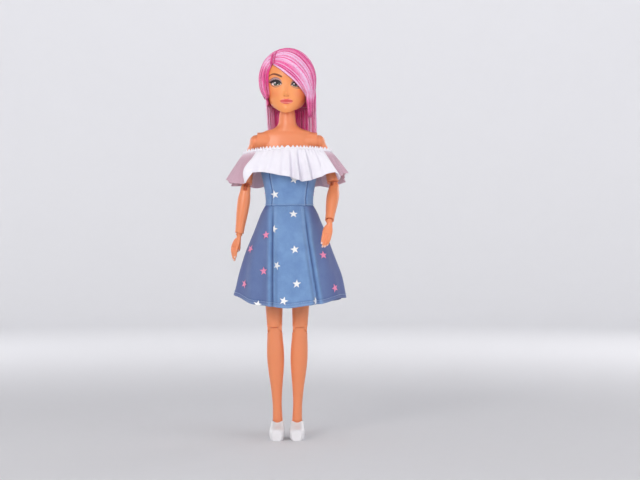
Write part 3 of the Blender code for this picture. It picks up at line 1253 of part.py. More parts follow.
def yoke_point(angle, out, front_out, back_out, z):
    """A point round the yoke; 0 looks to +X and the front is at -90 degrees."""
    c, s = math.cos(angle), math.sin(angle)
    half = elastic_half_width() + out
    chest = body_row(body_level(BODICE_TOP_SHARE))
    front = chest[1] + GAP + DENIM + GAP + ELASTIC_RADIUS * 2 + front_out
    back = chest[2] + GAP + DENIM + GAP + TAPE_THICKNESS + ELASTIC_RADIUS * 2 + back_out
    x = half * math.copysign(abs(c) ** YOKE_SQUARE_SHARE, c)
    y = (front if s < 0 else back) * math.copysign(abs(s) ** YOKE_SQUARE_SHARE, s)
    return Vector((x, y, z))


def ruffle_elastic():
    """A gathered tube; its scallops come from a slow wave of its height."""
    rings = []
    for k in range(ELASTIC_COLUMNS):
        angle = math.tau * k / ELASTIC_COLUMNS
        z = body_level(ELASTIC_Z_SHARE) + ELASTIC_RISE * max(0.0, -math.sin(angle)) ** 2
        middle = yoke_point(angle, 0.0, 0.0, 0.0, z)
        outward = Vector((math.cos(angle), math.sin(angle), 0.0))
        puff = ELASTIC_RADIUS * (1.0 + ELASTIC_PUFF_SHARE * (-1) ** k)
        ring = []
        for m in range(ELASTIC_SIDES):
            turn = math.tau * m / ELASTIC_SIDES
            ring.append(middle + outward * ELASTIC_RADIUS * math.cos(turn)
                        + Vector((0.0, 0.0, puff * math.sin(turn))))
        rings.append(ring)
    bm = bmesh.new()
    loops = [[bm.verts.new(p) for p in ring] for ring in rings]
    for k in range(ELASTIC_COLUMNS):
        near, far = loops[k], loops[(k + 1) % ELASTIC_COLUMNS]
        for m in range(ELASTIC_SIDES):
            n = (m + 1) % ELASTIC_SIDES
            bm.faces.new((near[m], near[n], far[n], far[m]))
    return place("ruffle_elastic", bm, None, "chiffon")


def ruffle():
    """Flounce that hangs from the elastic, wider and more folded towards its hem."""
    rings = []
    for row in range(RUFFLE_ROWS + 1):
        t = row / RUFFLE_ROWS
        ring = []
        for k in range(RUFFLE_COLUMNS):
            angle = math.tau * k / RUFFLE_COLUMNS
            front = max(0.0, -math.sin(angle))
            behind = max(0.0, math.sin(angle))
            top = body_level(ELASTIC_Z_SHARE) + ELASTIC_RISE * front ** 2
            top -= ELASTIC_RADIUS * RUFFLE_TOP_SHARE + GAP
            wave = math.cos(RUFFLE_FOLDS * angle + RUFFLE_WAVE_TURN) * RUFFLE_WAVE * t
            wave *= 1.0 - RUFFLE_BACK_CALM_SHARE * behind ** 3
            bust = math.sin(math.pi * min(1.0, t / RUFFLE_BUST_SHARE)) * RUFFLE_BUST
            front_out = RUFFLE_FRONT_FLARE * t ** RUFFLE_HANG_POWER + bust
            point = yoke_point(angle, RUFFLE_FLARE * t, front_out, RUFFLE_BACK_FLARE * t,
                               top - RUFFLE_DROP * t)
            outward = Vector((point.x, point.y * RUFFLE_OUT_SHARE, 0.0)).normalized()
            ring.append(point + outward * wave)
        rings.append(ring)
    return sleeve("ruffle", rings, CHIFFON, None, "chiffon")


build_body()
build_head()
for each_side in (1, -1):
    build_arm(each_side)
    build_leg(each_side)
dress_bodice()
dress_skirt()
back_fastener()
ruffle_elastic()
ruffle()
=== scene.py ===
"""Looks of the jointed fashion doll: moulded body, painted face, pink hair, denim dress and chiffon ruffle.

Metres, +Z up. The doll faces -Y and its left side is +X.
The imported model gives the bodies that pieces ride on.
"""
import json
import math

import bmesh
import bpy
import numpy as np
from mathutils import Matrix, Vector

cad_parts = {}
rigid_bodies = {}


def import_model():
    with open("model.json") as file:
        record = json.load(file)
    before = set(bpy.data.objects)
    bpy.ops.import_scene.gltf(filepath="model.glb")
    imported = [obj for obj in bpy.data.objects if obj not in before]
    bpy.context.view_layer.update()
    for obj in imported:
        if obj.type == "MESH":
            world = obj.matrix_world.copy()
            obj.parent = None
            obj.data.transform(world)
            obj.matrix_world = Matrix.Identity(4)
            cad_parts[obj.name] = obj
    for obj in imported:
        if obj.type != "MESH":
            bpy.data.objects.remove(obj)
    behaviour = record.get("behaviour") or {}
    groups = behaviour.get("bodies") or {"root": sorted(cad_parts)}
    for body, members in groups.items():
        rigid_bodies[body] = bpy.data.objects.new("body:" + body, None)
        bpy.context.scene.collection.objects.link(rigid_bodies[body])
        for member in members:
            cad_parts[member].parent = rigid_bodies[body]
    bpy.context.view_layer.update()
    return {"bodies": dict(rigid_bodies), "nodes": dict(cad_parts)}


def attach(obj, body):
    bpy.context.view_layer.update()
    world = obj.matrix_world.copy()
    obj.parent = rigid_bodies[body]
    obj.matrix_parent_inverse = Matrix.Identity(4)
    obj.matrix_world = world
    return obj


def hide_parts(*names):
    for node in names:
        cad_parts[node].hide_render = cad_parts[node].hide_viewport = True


MM = 0.001

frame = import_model()


# Camera, floor and lights

CAMERA_LENS = 100.0
CAMERA_AT = (0.0243, -1.322, 0.1474)
FLOOR_RADIUS = 1.75
WALL_HEIGHT = 1.9
COVE_RADIUS = 0.45
STAGE_SIDES = 96
# Name, place, size, power in watts and colour of each soft light; all look at the doll's waist
SOFT_LIGHTS = (
    ("key", (-0.50, -1.22, 0.62), 0.50, 6.1, (1.0, 0.975, 0.94)),
    ("fill", (0.95, -0.95, 0.40), 0.80, 2.2, (0.98, 0.98, 1.0)),
    ("top", (0.15, -0.25, 1.25), 0.60, 1.9, (1.0, 0.99, 1.0)),
    ("back left", (0.85, 1.05, 0.70), 0.70, 2.7, (1.0, 0.98, 0.98)),
    ("back right", (-0.95, 0.95, 0.50), 0.70, 1.9, (0.98, 0.98, 1.0)),
)
LIGHT_TARGET = Vector((0.0, 0.0, 0.17))
WALL_LIGHTS = 8
WALL_LIGHT_POWER = 5.0
WALL_LIGHT_SIZE = 0.8
WALL_LIGHT_Z = 1.15
WALL_TARGET_Z = 0.45
SKY_COLOUR = (0.93, 0.94, 0.96, 1.0)
SKY_STRENGTH = 0.26


def build_camera():
    lens = bpy.data.cameras.new("front view")
    lens.lens = CAMERA_LENS
    lens.clip_start = 0.05
    lens.clip_end = 20.0
    camera = bpy.data.objects.new("front view", lens)
    camera.location = CAMERA_AT
    camera.rotation_euler = (math.pi / 2, 0.0, 0.0)
    bpy.context.scene.collection.objects.link(camera)
    bpy.context.scene.camera = camera


def build_stage(look):
    """A round pale floor whose rim curves up into a wall, so every side has the same backdrop."""
    profile = [(0.02, 0.0), (FLOOR_RADIUS, 0.0)]
    for step in range(1, 13):
        turn = math.pi / 2 * step / 12
        profile.append((FLOOR_RADIUS + COVE_RADIUS * math.sin(turn),
                        COVE_RADIUS - COVE_RADIUS * math.cos(turn)))
    profile.append((FLOOR_RADIUS + COVE_RADIUS, WALL_HEIGHT))
    verts = [(r * c, r * s, z) for r, z in profile for c, s in circle(STAGE_SIDES)]
    faces = ring_faces(len(profile), STAGE_SIDES) + [tuple(range(STAGE_SIDES))]
    mesh = make_mesh("floor", verts, faces)
    mesh.materials.append(look)
    mesh.shade_smooth()
    floor = bpy.data.objects.new("floor", mesh)
    bpy.context.scene.collection.objects.link(floor)


def build_lights():
    lamps = [(*row, LIGHT_TARGET) for row in SOFT_LIGHTS]
    for k in range(WALL_LIGHTS):
        out = Vector((math.cos(math.tau * k / WALL_LIGHTS), math.sin(math.tau * k / WALL_LIGHTS), 0.0))
        lamps.append(("wall light %d" % k, out + Vector((0, 0, WALL_LIGHT_Z)), WALL_LIGHT_SIZE,
                      WALL_LIGHT_POWER,
                      (1.0, 1.0, 1.0), out * (FLOOR_RADIUS + COVE_RADIUS) + Vector((0, 0, WALL_TARGET_Z))))
    for name, place, size, power, colour, target in lamps:
        lamp = bpy.data.lights.new(name, 'AREA')
        lamp.size = size
        lamp.energy = power
        lamp.color = colour
        made = bpy.data.objects.new(name, lamp)
        made.location = place
        made.rotation_euler = (target - Vector(place)).to_track_quat('-Z', 'Y').to_euler()
        bpy.context.scene.collection.objects.link(made)
    world = bpy.data.worlds.new("studio")
    world.use_nodes = True
    sky = world.node_tree.nodes["Background"]
    sky.inputs["Color"].default_value = SKY_COLOUR
    sky.inputs["Strength"].default_value = SKY_STRENGTH
    bpy.context.scene.world = world
    bpy.context.scene.view_settings.view_transform = 'Standard'


# Node helpers

def linear(red, green, blue):
    """A colour given as 0 to 255 screen values, as shader values."""
    def one(value):
        share = value / 255.0
        return share / 12.92 if share <= 0.04045 else ((share + 0.055) / 1.055) ** 2.4
    return (one(red), one(green), one(blue), 1.0)


def feed(tree, made, inputs):
    """Link or set each of a node's inputs."""
    for key, value in inputs.items():
        if isinstance(value, bpy.types.NodeSocket):
            tree.links.new(value, made.inputs[key])
        else:
            made.inputs[key].default_value = value


def node(tree, kind, inputs=None, output=0, **settings):
    made = tree.nodes.new("ShaderNode" + kind)
    for key, value in settings.items():
        setattr(made, key, value)
    feed(tree, made, inputs or {})
    return made.outputs[output]


def painted(tree):
    """The vertex colours, and how much they cover."""
    return node(tree, "VertexColor", layer_name="paint").node.outputs


def bump(tree, shader, strength, distance, height):
    made = node(tree, "Bump", {"Strength": strength, "Distance": distance, "Height": height})
    tree.links.new(made, shader["Normal"])


def maths(tree, operation, *values):
    return node(tree, "Math", dict(enumerate(values)), operation=operation)


def mix_colours(tree, share, first, second, way='MIX'):
    return node(tree, "Mix", {0: share, 6: first, 7: second}, 2, data_type='RGBA', blend_type=way)


def step_between(tree, value, low, high):
    """0 below low, 1 above high, smooth between."""
    return node(tree, "MapRange", {0: value, 1: low, 2: high, 3: 0.0, 4: 1.0},
                interpolation_type='SMOOTHSTEP')


def group(name, inputs, outputs):
    """An empty node group and its input and output nodes."""
    tree = bpy.data.node_groups.new(name, 'ShaderNodeTree')
    for label, kind, value in inputs:
        socket = tree.interface.new_socket(name=label, in_out='INPUT', socket_type='NodeSocket' + kind)
        if value is not None:
            socket.default_value = value
    for label, kind in outputs:
        tree.interface.new_socket(name=label, in_out='OUTPUT', socket_type='NodeSocket' + kind)
    return tree, tree.nodes.new("NodeGroupInput").outputs, tree.nodes.new("NodeGroupOutput").inputs


def use_group(tree, name, inputs, output):
    made = tree.nodes.new("ShaderNodeGroup")
    made.node_tree = bpy.data.node_groups[name]
    feed(tree, made, inputs)
    return made.outputs[output]


def make_tone_group():
    """Soft patches that lighten and darken a colour a little."""
    tree, given, out = group("soft_tone", (("Vector", "Vector", None), ("Size", "Float", 60.0),
                                           ("Amount", "Float", 0.08)), (("Tone", "Float"),))
    slow = node(tree, "TexNoise", {"Vector": given["Vector"], "Scale": given["Size"], "Detail": 3.0})
    centred = maths(tree, 'SUBTRACT', slow, 0.5)
    scaled = maths(tree, 'MULTIPLY_ADD', centred, given["Amount"], 1.0)
    tree.links.new(scaled, out["Tone"])


def make_grain_group():
    """Fine moulded grain as a height."""
    tree, given, out = group("fine_grain", (("Vector", "Vector", None), ("Size", "Float", 2500.0)),
                             (("Height", "Float"),))
    fine = node(tree, "TexNoise", {"Vector": given["Vector"], "Scale": given["Size"], "Detail": 2.0})
    tree.links.new(fine, out["Height"])


def make_twill_group():
    """Diagonal twill from cloth coordinates in millimetres: thread height and pale weft specks."""
    tree, given, out = group("twill_weave", (("Cloth", "Vector", None), ("Pitch", "Float", 0.42)),
                             (("Height", "Float"), ("Specks", "Float")))
    split = node(tree, "SeparateXYZ", {0: given["Cloth"]}).node
    across = maths(tree, 'DIVIDE', split.outputs[0], given["Pitch"])
    along = maths(tree, 'DIVIDE', split.outputs[1], given["Pitch"])
    slant = maths(tree, 'ADD', across, maths(tree, 'MULTIPLY', along, 0.6))
    rib = maths(tree, 'SINE', maths(tree, 'MULTIPLY', slant, math.tau))
    thread = maths(tree, 'SINE', maths(tree, 'MULTIPLY', maths(tree, 'ADD', along, across), math.tau * 2.0))
    height = maths(tree, 'MULTIPLY_ADD', thread, 0.35, rib)
    tree.links.new(maths(tree, 'MULTIPLY_ADD', height, 0.37, 0.5), out["Height"])
    slub = node(tree, "TexNoise", {"Vector": node(tree, "VectorMath", {0: given["Cloth"], 1: (0.9, 3.4, 1.0)},
                                                  operation='MULTIPLY'), "Scale": 1.0, "Detail": 4.0,
                                   "Roughness": 0.7})
    tree.links.new(maths(tree, 'MULTIPLY', step_between(tree, slub, 0.42, 0.72),
                         step_between(tree, height, -0.6, 0.9)), out["Specks"])


def make_chiffon_group():
    """Open crossing threads of thin cloth, as a mask of how much thread there is."""
    tree, given, out = group("open_weave", (("Cloth", "Vector", None), ("Pitch", "Float", 0.26)),
                             (("Threads", "Float"),))
    split = node(tree, "SeparateXYZ", {0: given["Cloth"]}).node
    waves = []
    for axis in (0, 1):
        turns = maths(tree, 'MULTIPLY', maths(tree, 'DIVIDE', split.outputs[axis], given["Pitch"]), math.tau)
        waves.append(maths(tree, 'SINE', turns))
    tree.links.new(maths(tree, 'MULTIPLY_ADD', maths(tree, 'ADD', *waves), 0.25, 0.5), out["Threads"])


def material(name, roughness, metallic=0.0, **constants):
    """A material with its shader and tree; constants are set on the shader's own sockets."""
    made = bpy.data.materials.new(name)
    made.use_nodes = True
    shader = made.node_tree.nodes["Principled BSDF"]
    shader.inputs["Roughness"].default_value = roughness
    shader.inputs["Metallic"].default_value = metallic
    for key, value in constants.items():
        shader.inputs[key.replace("_", " ")].default_value = value
    return made, made.node_tree, shader.inputs


def plastic(name, colour, roughness, tone=0.07, paint=False, **constants):
    """Moulded plastic with faint cloudiness, fine grain and, where asked, painted colours."""
    made, tree, shader = material(name, roughness, **constants)
    place = node(tree, "TexCoord", output=3)
    cloud = use_group(tree, "soft_tone", {"Vector": place, "Size": 45.0, "Amount": tone}, "Tone")
    base = mix_colours(tree, 1.0, colour, cloud, 'MULTIPLY')
    if paint:
        coat = painted(tree)
        base = mix_colours(tree, coat["Alpha"], base, coat["Color"])
    tree.links.new(base, shader["Base Color"])
    grain = use_group(tree, "fine_grain", {"Vector": place, "Size": 2600.0}, "Height")
    bump(tree, shader, 0.05, 0.0002, grain)
    patches = use_group(tree, "soft_tone", {"Vector": place, "Size": 140.0, "Amount": 0.25}, "Tone")
    tree.links.new(maths(tree, 'MULTIPLY', patches, roughness), shader["Roughness"])
    return made


SKIN = linear(242, 146, 98)
DENIM_MID = linear(124, 162, 208)
DENIM_DEEP = linear(88, 124, 182)
DENIM_PALE = linear(168, 196, 230)
# Painted shade for the skirt's side panels, tinted purple as reflected pink light
DENIM_PAINTED_SHADE = linear(88, 95, 145)
STAR_WHITE = linear(250, 250, 250)
STAR_PINK = linear(244, 146, 184)


def cloth_coordinates(tree):
    """The cloth's own coordinates in millimetres, kept in its UV map."""
    return node(tree, "UVMap", uv_map="cloth")


def denim(name):
    made, tree, shader = material(name, 0.86, Sheen_Weight=0.25, Sheen_Roughness=0.5)
    cloth = cloth_coordinates(tree)
    height = use_group(tree, "twill_weave", {"Cloth": cloth}, "Height")
    specks = use_group(tree, "twill_weave", {"Cloth": cloth}, "Specks")
    wash = node(tree, "TexNoise", {"Vector": cloth, "Scale": 0.09, "Detail": 5.0, "Roughness": 0.6})
    cloud = maths(tree, 'MULTIPLY_ADD', step_between(tree, wash, 0.3, 0.72), 0.45, 0.45)
    colour = mix_colours(tree, cloud, DENIM_DEEP, DENIM_MID)
    colour = mix_colours(tree, maths(tree, 'MULTIPLY', specks, 0.5), colour, DENIM_PALE)
    # Painted shade and painted highlights of seams and pleats, kept in the vertex colours, lie over the denim
    shading_paint = painted(tree)
    colour = mix_colours(tree, shading_paint["Alpha"], colour, shading_paint["Color"])
    tree.links.new(colour, shader["Base Color"])
    bump(tree, shader, 0.5, 0.00008, height)
    return made


def chiffon(name):
    made, tree, shader = material(name, 0.75, Sheen_Weight=0.4)
    cloth = cloth_coordinates(tree)
    threads = use_group(tree, "open_weave", {"Cloth": cloth}, "Threads")
    cover = painted(tree)
    tree.links.new(cover["Color"], shader["Base Color"])
    gaps = maths(tree, 'MULTIPLY', maths(tree, 'SUBTRACT', 1.0, cover["Alpha"]),
                 maths(tree, 'SUBTRACT', 1.15, threads))
    tree.links.new(maths(tree, 'SUBTRACT', 1.0, gaps), shader["Alpha"])
    bump(tree, shader, 0.3, 0.00005, threads)
    return made


def hair_look():
    """Silky fibre: each strand has its own tone, kept in its vertex colours."""
    made, tree, shader = material("pink_fibre", 0.30, Anisotropic=0.5, Specular_IOR_Level=0.6,
                                  Sheen_Weight=0.3)
    place = node(tree, "TexCoord", output=3)
    streak = node(tree, "TexNoise", {"Vector": node(tree, "VectorMath", {0: place, 1: (1.0, 1.0, 0.12)},
                                                    operation='MULTIPLY'), "Scale": 2200.0, "Detail": 2.0})
    base = mix_colours(tree, 1.0, painted(tree)["Color"], maths(tree, 'MULTIPLY_ADD', streak, 0.5, 0.75),
                       'MULTIPLY')
    tree.links.new(base, shader["Base Color"])
    tree.links.new(maths(tree, 'MULTIPLY_ADD', streak, 0.2, 0.2), shader["Roughness"])
    bump(tree, shader, 0.25, 0.00006, streak)
    return made


for make in (make_tone_group, make_grain_group, make_twill_group, make_chiffon_group):
    make()
LOOKS = {
    "skin": plastic("tan_vinyl", SKIN, 0.40, paint=True, Subsurface_Weight=0.12, Subsurface_Scale=0.002,
                    Coat_Weight=0.08),
    "limb": plastic("tan_plastic", SKIN, 0.36, Subsurface_Weight=0.08, Subsurface_Scale=0.002,
                    Coat_Weight=0.10),
    "joint": plastic("joint_plastic", linear(206, 112, 78), 0.42),
    "pin": plastic("steel_pin", linear(190, 190, 194), 0.28, 0.05, Metallic=1.0),
    "shoe": plastic("white_vinyl", linear(240, 238, 240), 0.34, 0.04, Coat_Weight=0.15),
    "nail": plastic("nail_paint", linear(246, 206, 196), 0.22, 0.03, Coat_Weight=0.4),
    "denim": denim("washed_denim"),
    "foil": plastic("star_foil", STAR_WHITE, 0.34, 0.04, paint=True),
    "chiffon": chiffon("white_chiffon"),
    "hair": hair_look(),
    "thread": plastic("pale_thread", linear(176, 196, 224), 0.7, 0.1),
    "tape": plastic("closure_tape", linear(92, 122, 172), 0.9, 0.1),
    "floor": plastic("pale_floor", linear(226, 226, 229), 0.7, 0.015),
}


# Mesh helpers

def temporary(name, mesh):
    made = bpy.data.objects.new(name, mesh)
    bpy.context.scene.collection.objects.link(made)
    return made


def make_mesh(name, verts, faces):
    mesh = bpy.data.meshes.new(name)
    mesh.from_pydata(verts, [], faces)
    return mesh


def mesh_points(mesh):
    """The mesh's vertices as rows of x, y and z."""
    points = np.empty(len(mesh.vertices) * 3, np.float32)
    mesh.vertices.foreach_get("co", points)
    return points.reshape(-1, 3).astype(float)


def circle(sides):
    """Cosine and sine of evenly spaced angles round a full turn."""
    return [(math.cos(math.tau * k / sides), math.sin(math.tau * k / sides)) for k in range(sides)]


def line_at(x, line):
    """The height at x of a line given as (x, z) points."""
    return np.interp(x, [p[0] for p in line], [p[1] for p in line])


def running_length(path):
    """How far along the path each of its points is."""
    return np.concatenate([[0.0], np.cumsum(np.linalg.norm(np.diff(path, axis=0), axis=1))])


def along_path(at, reach, path):
    """The path's value at a place, where reach gives the place of each of its rows."""
    return np.array([np.interp(at, reach, path[:, k]) for k in range(path.shape[1])])


def dress_piece(made, look, body, replaces=()):
    """Give a finished mesh object its look and its body."""
    made.data.materials.clear()
    made.data.materials.append(LOOKS[look])
    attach(made, body)
    if replaces:
        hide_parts(*replaces)
    return made


def ring_faces(rows, columns, closed=True, offset=0):
    faces = []
    for i in range(rows - 1):
        for j in range(columns if closed else columns - 1):
            k = (j + 1) % columns
            faces.append((offset + i * columns + j, offset + (i + 1) * columns + j,
                          offset + (i + 1) * columns + k, offset + i * columns + k))
    return faces


def solid(name, rings):
    """A closed tool or blank through rings of equal count."""
    columns = len(rings[0])
    verts = [tuple(p) for ring in rings for p in ring]
    faces = ring_faces(len(rings), columns)
    faces.append(tuple(range(columns)))
    faces.append(tuple(range(len(verts) - 1, len(verts) - columns - 1, -1)))
    mesh = make_mesh(name, verts, faces)
    work = bmesh.new()
    work.from_mesh(mesh)
    bmesh.ops.recalc_face_normals(work, faces=work.faces)
    work.to_mesh(mesh)
    work.free()
    return temporary(name, mesh)


def oval(centre, half_width, front, back, sides, square=1.0):
    ring = []
    for step in range(sides):
        angle = math.tau * step / sides
        c, s = math.cos(angle), math.sin(angle)
        x = half_width * math.copysign(abs(c) ** square, c)
        y = (front if s < 0 else back) * math.copysign(abs(s) ** square, s)
        ring.append(Vector(centre) + Vector((x, y, 0.0)))
    return ring


def rod(name, radius, start, end, sides=24):
    start, end = Vector(start), Vector(end)
    turn = (end - start).to_track_quat('Z', 'Y').to_matrix()
    rings = []
    for at in (start, end):
        rings.append([at + turn @ Vector((radius * c, radius * s, 0.0)) for c, s in circle(sides)])
    return solid(name, rings)


BALL_TURN = 11.0
BALL_TURN_AXIS = (1.0, 0.7, 0.4)


def ball(name, radius, at, facets):
    work = bmesh.new()
    off_axis = Matrix.Rotation(math.radians(BALL_TURN), 4, Vector(BALL_TURN_AXIS).normalized())
    bmesh.ops.create_uvsphere(work, u_segments=facets[0], v_segments=facets[1], radius=radius,
                              matrix=Matrix.Translation(at) @ off_axis)
    mesh = bpy.data.meshes.new(name)
    work.to_mesh(mesh)
    work.free()
    return temporary(name, mesh)


def prism(name, outline, start, end, axis='X'):
    def point(pair, along):
        return (along, pair[0], pair[1]) if axis == 'X' else (pair[0], along, pair[1])
    return solid(name, [[point(p, start) for p in outline], [point(p, end) for p in outline]])


def keyhole(inner, outer, first, last, steps=10):
    points = []
    for radius, start, end, count in ((outer, first, last, steps), (inner, last, first + 360.0, steps * 2)):
        for step in range(count + 1):
            angle = math.radians(start + (end - start) * step / count)
            points.append((radius * math.cos(angle), radius * math.sin(angle)))
    return points


def combine(target, tool, operation='DIFFERENCE'):
    change = target.modifiers.new(tool.name, 'BOOLEAN')
    change.operation = operation
    change.solver = 'EXACT'
    change.object = tool
    target["tools"] = list(target.get("tools", [])) + [tool.name]
    return target


def soften(blank, voxel, passes):
    """Join overlapping shapes into one skin with soft inner corners."""
    skin = blank.modifiers.new("one skin", 'REMESH')
    skin.mode = 'VOXEL'
    skin.voxel_size = voxel
    ease = blank.modifiers.new("ease", 'SMOOTH')
    ease.factor = 0.5
    ease.iterations = passes


def settle(blank, name, place=None, sharp=32.0):
    """Apply the blank's modifiers, drop its tools, and put the mesh in its place."""
    view = bpy.context.evaluated_depsgraph_get()
    mesh = bpy.data.meshes.new_from_object(blank.evaluated_get(view))
    for tool in list(blank.get("tools", [])):
        bpy.data.objects.remove(bpy.data.objects[tool])
    bpy.data.objects.remove(blank)
    if place is not None:
        mesh.transform(place)
    mesh.name = name
    mesh.shade_smooth()
    mesh.set_sharp_from_angle(angle=math.radians(sharp))
    return temporary(name, mesh)


def refine(rows, per_step):
    """More rows on a smooth curve through the given ones."""
    table = np.array(rows, float)
    last = len(table) - 1
    made = []
    for i in range(last):
        before, start, end, after = table[max(i - 1, 0)], table[i], table[i + 1], table[min(i + 2, last)]
        for step in range(per_step):
            t = step / per_step
            made.append(0.5 * (2 * start + (end - before) * t
                               + (2 * before - 5 * start + 4 * end - after) * t ** 2
                               + (3 * start - before - 3 * end + after) * t ** 3))
    made.append(table[-1])
    return made


def smooth(value, low, high):
    t = np.clip((value - low) / (high - low), 0.0, 1.0)
    return t * t * (3.0 - 2.0 * t)


def set_paint(mesh, colours):
    """Vertex colours: red, green, blue and how much they cover."""
    layer = mesh.color_attributes.new("paint", 'FLOAT_COLOR', 'POINT')
    layer.data.foreach_set("color", np.asarray(colours, np.float32).ravel())


def cloth_grid(name, points, uv):
    """A cloth mesh from points[row][column]; uv has one column more, because the cloth closes on itself."""
    rows, columns = len(points), len(points[0])
    mesh = make_mesh(name, [tuple(p) for ring in points for p in ring], ring_faces(rows, columns))
    layer = mesh.uv_layers.new(name="cloth")
    values = []
    for i in range(rows - 1):
        for j in range(columns):
            values += [uv[i][j], uv[i + 1][j], uv[i + 1][j + 1], uv[i][j + 1]]
    layer.data.foreach_set("uv", np.array(values, np.float32).ravel())
    mesh.shade_smooth()
    return temporary(name, mesh)


def thicken(made, thickness):
    """Give cloth its thickness, outwards from the given face."""
    shell = made.modifiers.new("cloth", 'SOLIDIFY')
    shell.thickness = thickness
    shell.offset = 1.0
    return made


def cloth_lengths(points):
    """Running length in millimetres round each row, zero at the front middle, with the closing column."""
    table = np.array(points, float)
    closed = np.concatenate([table, table[:, :1]], axis=1)
    steps = np.linalg.norm(np.diff(closed, axis=1), axis=2)
    total = np.concatenate([np.zeros((len(table), 1)), np.cumsum(steps, axis=1)], axis=1)
    return total / MM


# Sizes that the solids have too

GAP = 0.0003
SOCKET_GAP = 0.0004
BORE_GAP = 0.00025
SEAM_GAP = 0.0002
OVERRUN = 0.002
ANKLE_HEIGHT = 0.0180
SHIN_LENGTH = 0.0645
THIGH_LENGTH = 0.0675
HIP_TO_SHOULDER = 0.0705
HIP_TO_NECK_TOP = 0.0943
NECK_TO_NOD = 0.0033
UPPER_ARM_LENGTH = 0.0354
FOREARM_LENGTH = 0.0350
HIP_HALF_SPAN = 0.0112
KNEE_INSET = 0.0018
ANKLE_INSET = 0.0020
SHOULDER_HALF_WIDTH = 0.0222
ARM_SPREAD = {1: 14.3, -1: 7.8}
ELBOW_TWIST = {1: 23.6, -1: 0.0}
ELBOW_BEND = {1: 45.8, -1: 4.0}
WRIST_TWIST = {1: -14.0, -1: 80.0}
WRIST_BEND = {1: 14.7, -1: 2.0}
HEAD_TURN = -4.0
KNEE_REST_BEND = 3.5
KNEE_Z = ANKLE_HEIGHT + SHIN_LENGTH
HIP_Z = KNEE_Z + THIGH_LENGTH
SHOULDER_Z = HIP_Z + HIP_TO_SHOULDER
NECK_TOP_Z = HIP_Z + HIP_TO_NECK_TOP
NOD_Z = NECK_TOP_Z + NECK_TO_NOD


def stand(parent, at, axis='Z', degrees=0.0):
    """The place of a joint's frame, turned by its rest angle."""
    return parent @ Matrix.Translation(at) @ Matrix.Rotation(math.radians(degrees), 4, axis)


# Body: neck, chest and hips, moulded in two halves

NECK_RADIUS = 0.0059
NECK_TOP_RADIUS = 0.0055
CHEST_HALF_DEPTH = 0.0140
CHEST_HALF_WIDTH = 0.0203
BOSS_RADIUS = 0.0079
BOSS_LENGTH_SHARE = 1.6
BODY_VOXEL = 0.0005
BODY_SIDES = 72
BODY_SHARES = (
    (0.826, 0.93, 0.50, 0.50, 0.95), (0.795, 1.02, 0.57, 0.57, 0.85), (0.721, 1.01, 0.66, 0.64, 0.80),
    (0.657, 1.00, 0.76, 0.66, 0.85), (0.583, 0.97, 1.00, 0.65, 0.95), (0.509, 0.93, 0.88, 0.64, 1.00),
    (0.424, 0.84, 0.72, 0.64, 1.00), (0.339, 0.77, 0.66, 0.63, 1.00), (0.265, 0.75, 0.65, 0.65, 1.00),
    (0.191, 0.79, 0.69, 0.71, 1.00), (0.117, 0.87, 0.76, 0.82, 1.00), (0.053, 0.91, 0.79, 0.90, 1.00),
    (0.000, 0.80, 0.72, 0.82, 1.00), (-0.045, 0.50, 0.56, 0.60, 1.00), (-0.078, 0.20, 0.36, 0.38, 1.00),
)
NECK_SHARES = ((0.972, 1.00, 0.94), (0.955, 1.02, 0.97), (0.905, 1.09, 1.00),
               (0.878, 1.24, 1.06), (0.859, 1.56, 1.12), (0.845, 2.05, 1.16), (0.836, 2.60, 1.18))
NECK_TAPER_SHARE = 0.984
ARM_BALL_RADIUS = 0.0069
ARM_BALL_OUTSET = 0.0004
SHOULDER_X = SHOULDER_HALF_WIDTH + ARM_BALL_OUTSET
HIP_BALL_RADIUS = 0.0084
THIGH_HALF_DEPTH = 0.0094
LEG_OPENING_FRONT = THIGH_HALF_DEPTH + GAP
LEG_OPENING_BACK = 0.0014
LEG_OPENING_SLOPE_FRONT = 0.0015
LEG_OPENING_SLOPE_BACK = 0.0040
CROTCH_HALF_WIDTH = 0.0021
SHOULDER_BARREL_RADIUS = 0.0015
SHOULDER_BARREL_REACH = 0.0050
HIP_BARREL_RADIUS = 0.0016
NECK_STEM_RADIUS = 0.0020
NECK_STEM_DEPTH = 0.0125
SMOOTH_BALL = (48, 25)
# The body slopes down from its neck to the arms: where that starts, and by how much
SHOULDER_CORNER_Z = 0.2255
SHOULDER_CORNER_FROM = 0.012
SHOULDER_CORNER_EASE = (0.014, 0.021)
SHOULDER_CORNER_SHARE = 0.38


def body_level(share):
    return HIP_Z + share * HIP_TO_NECK_TOP


BODY_LEVELS = [(body_level(r[0]), CHEST_HALF_WIDTH * r[1], CHEST_HALF_DEPTH * r[2], CHEST_HALF_DEPTH * r[3],
                r[4]) for r in BODY_SHARES]
BODY_ROWS = np.array(refine(BODY_LEVELS, 4))[::-1]


def body_row(height):
    """Half-width, front, back and squareness of the body at a height."""
    return [float(np.interp(height, BODY_ROWS[:, 0], BODY_ROWS[:, k])) for k in range(1, 5)]


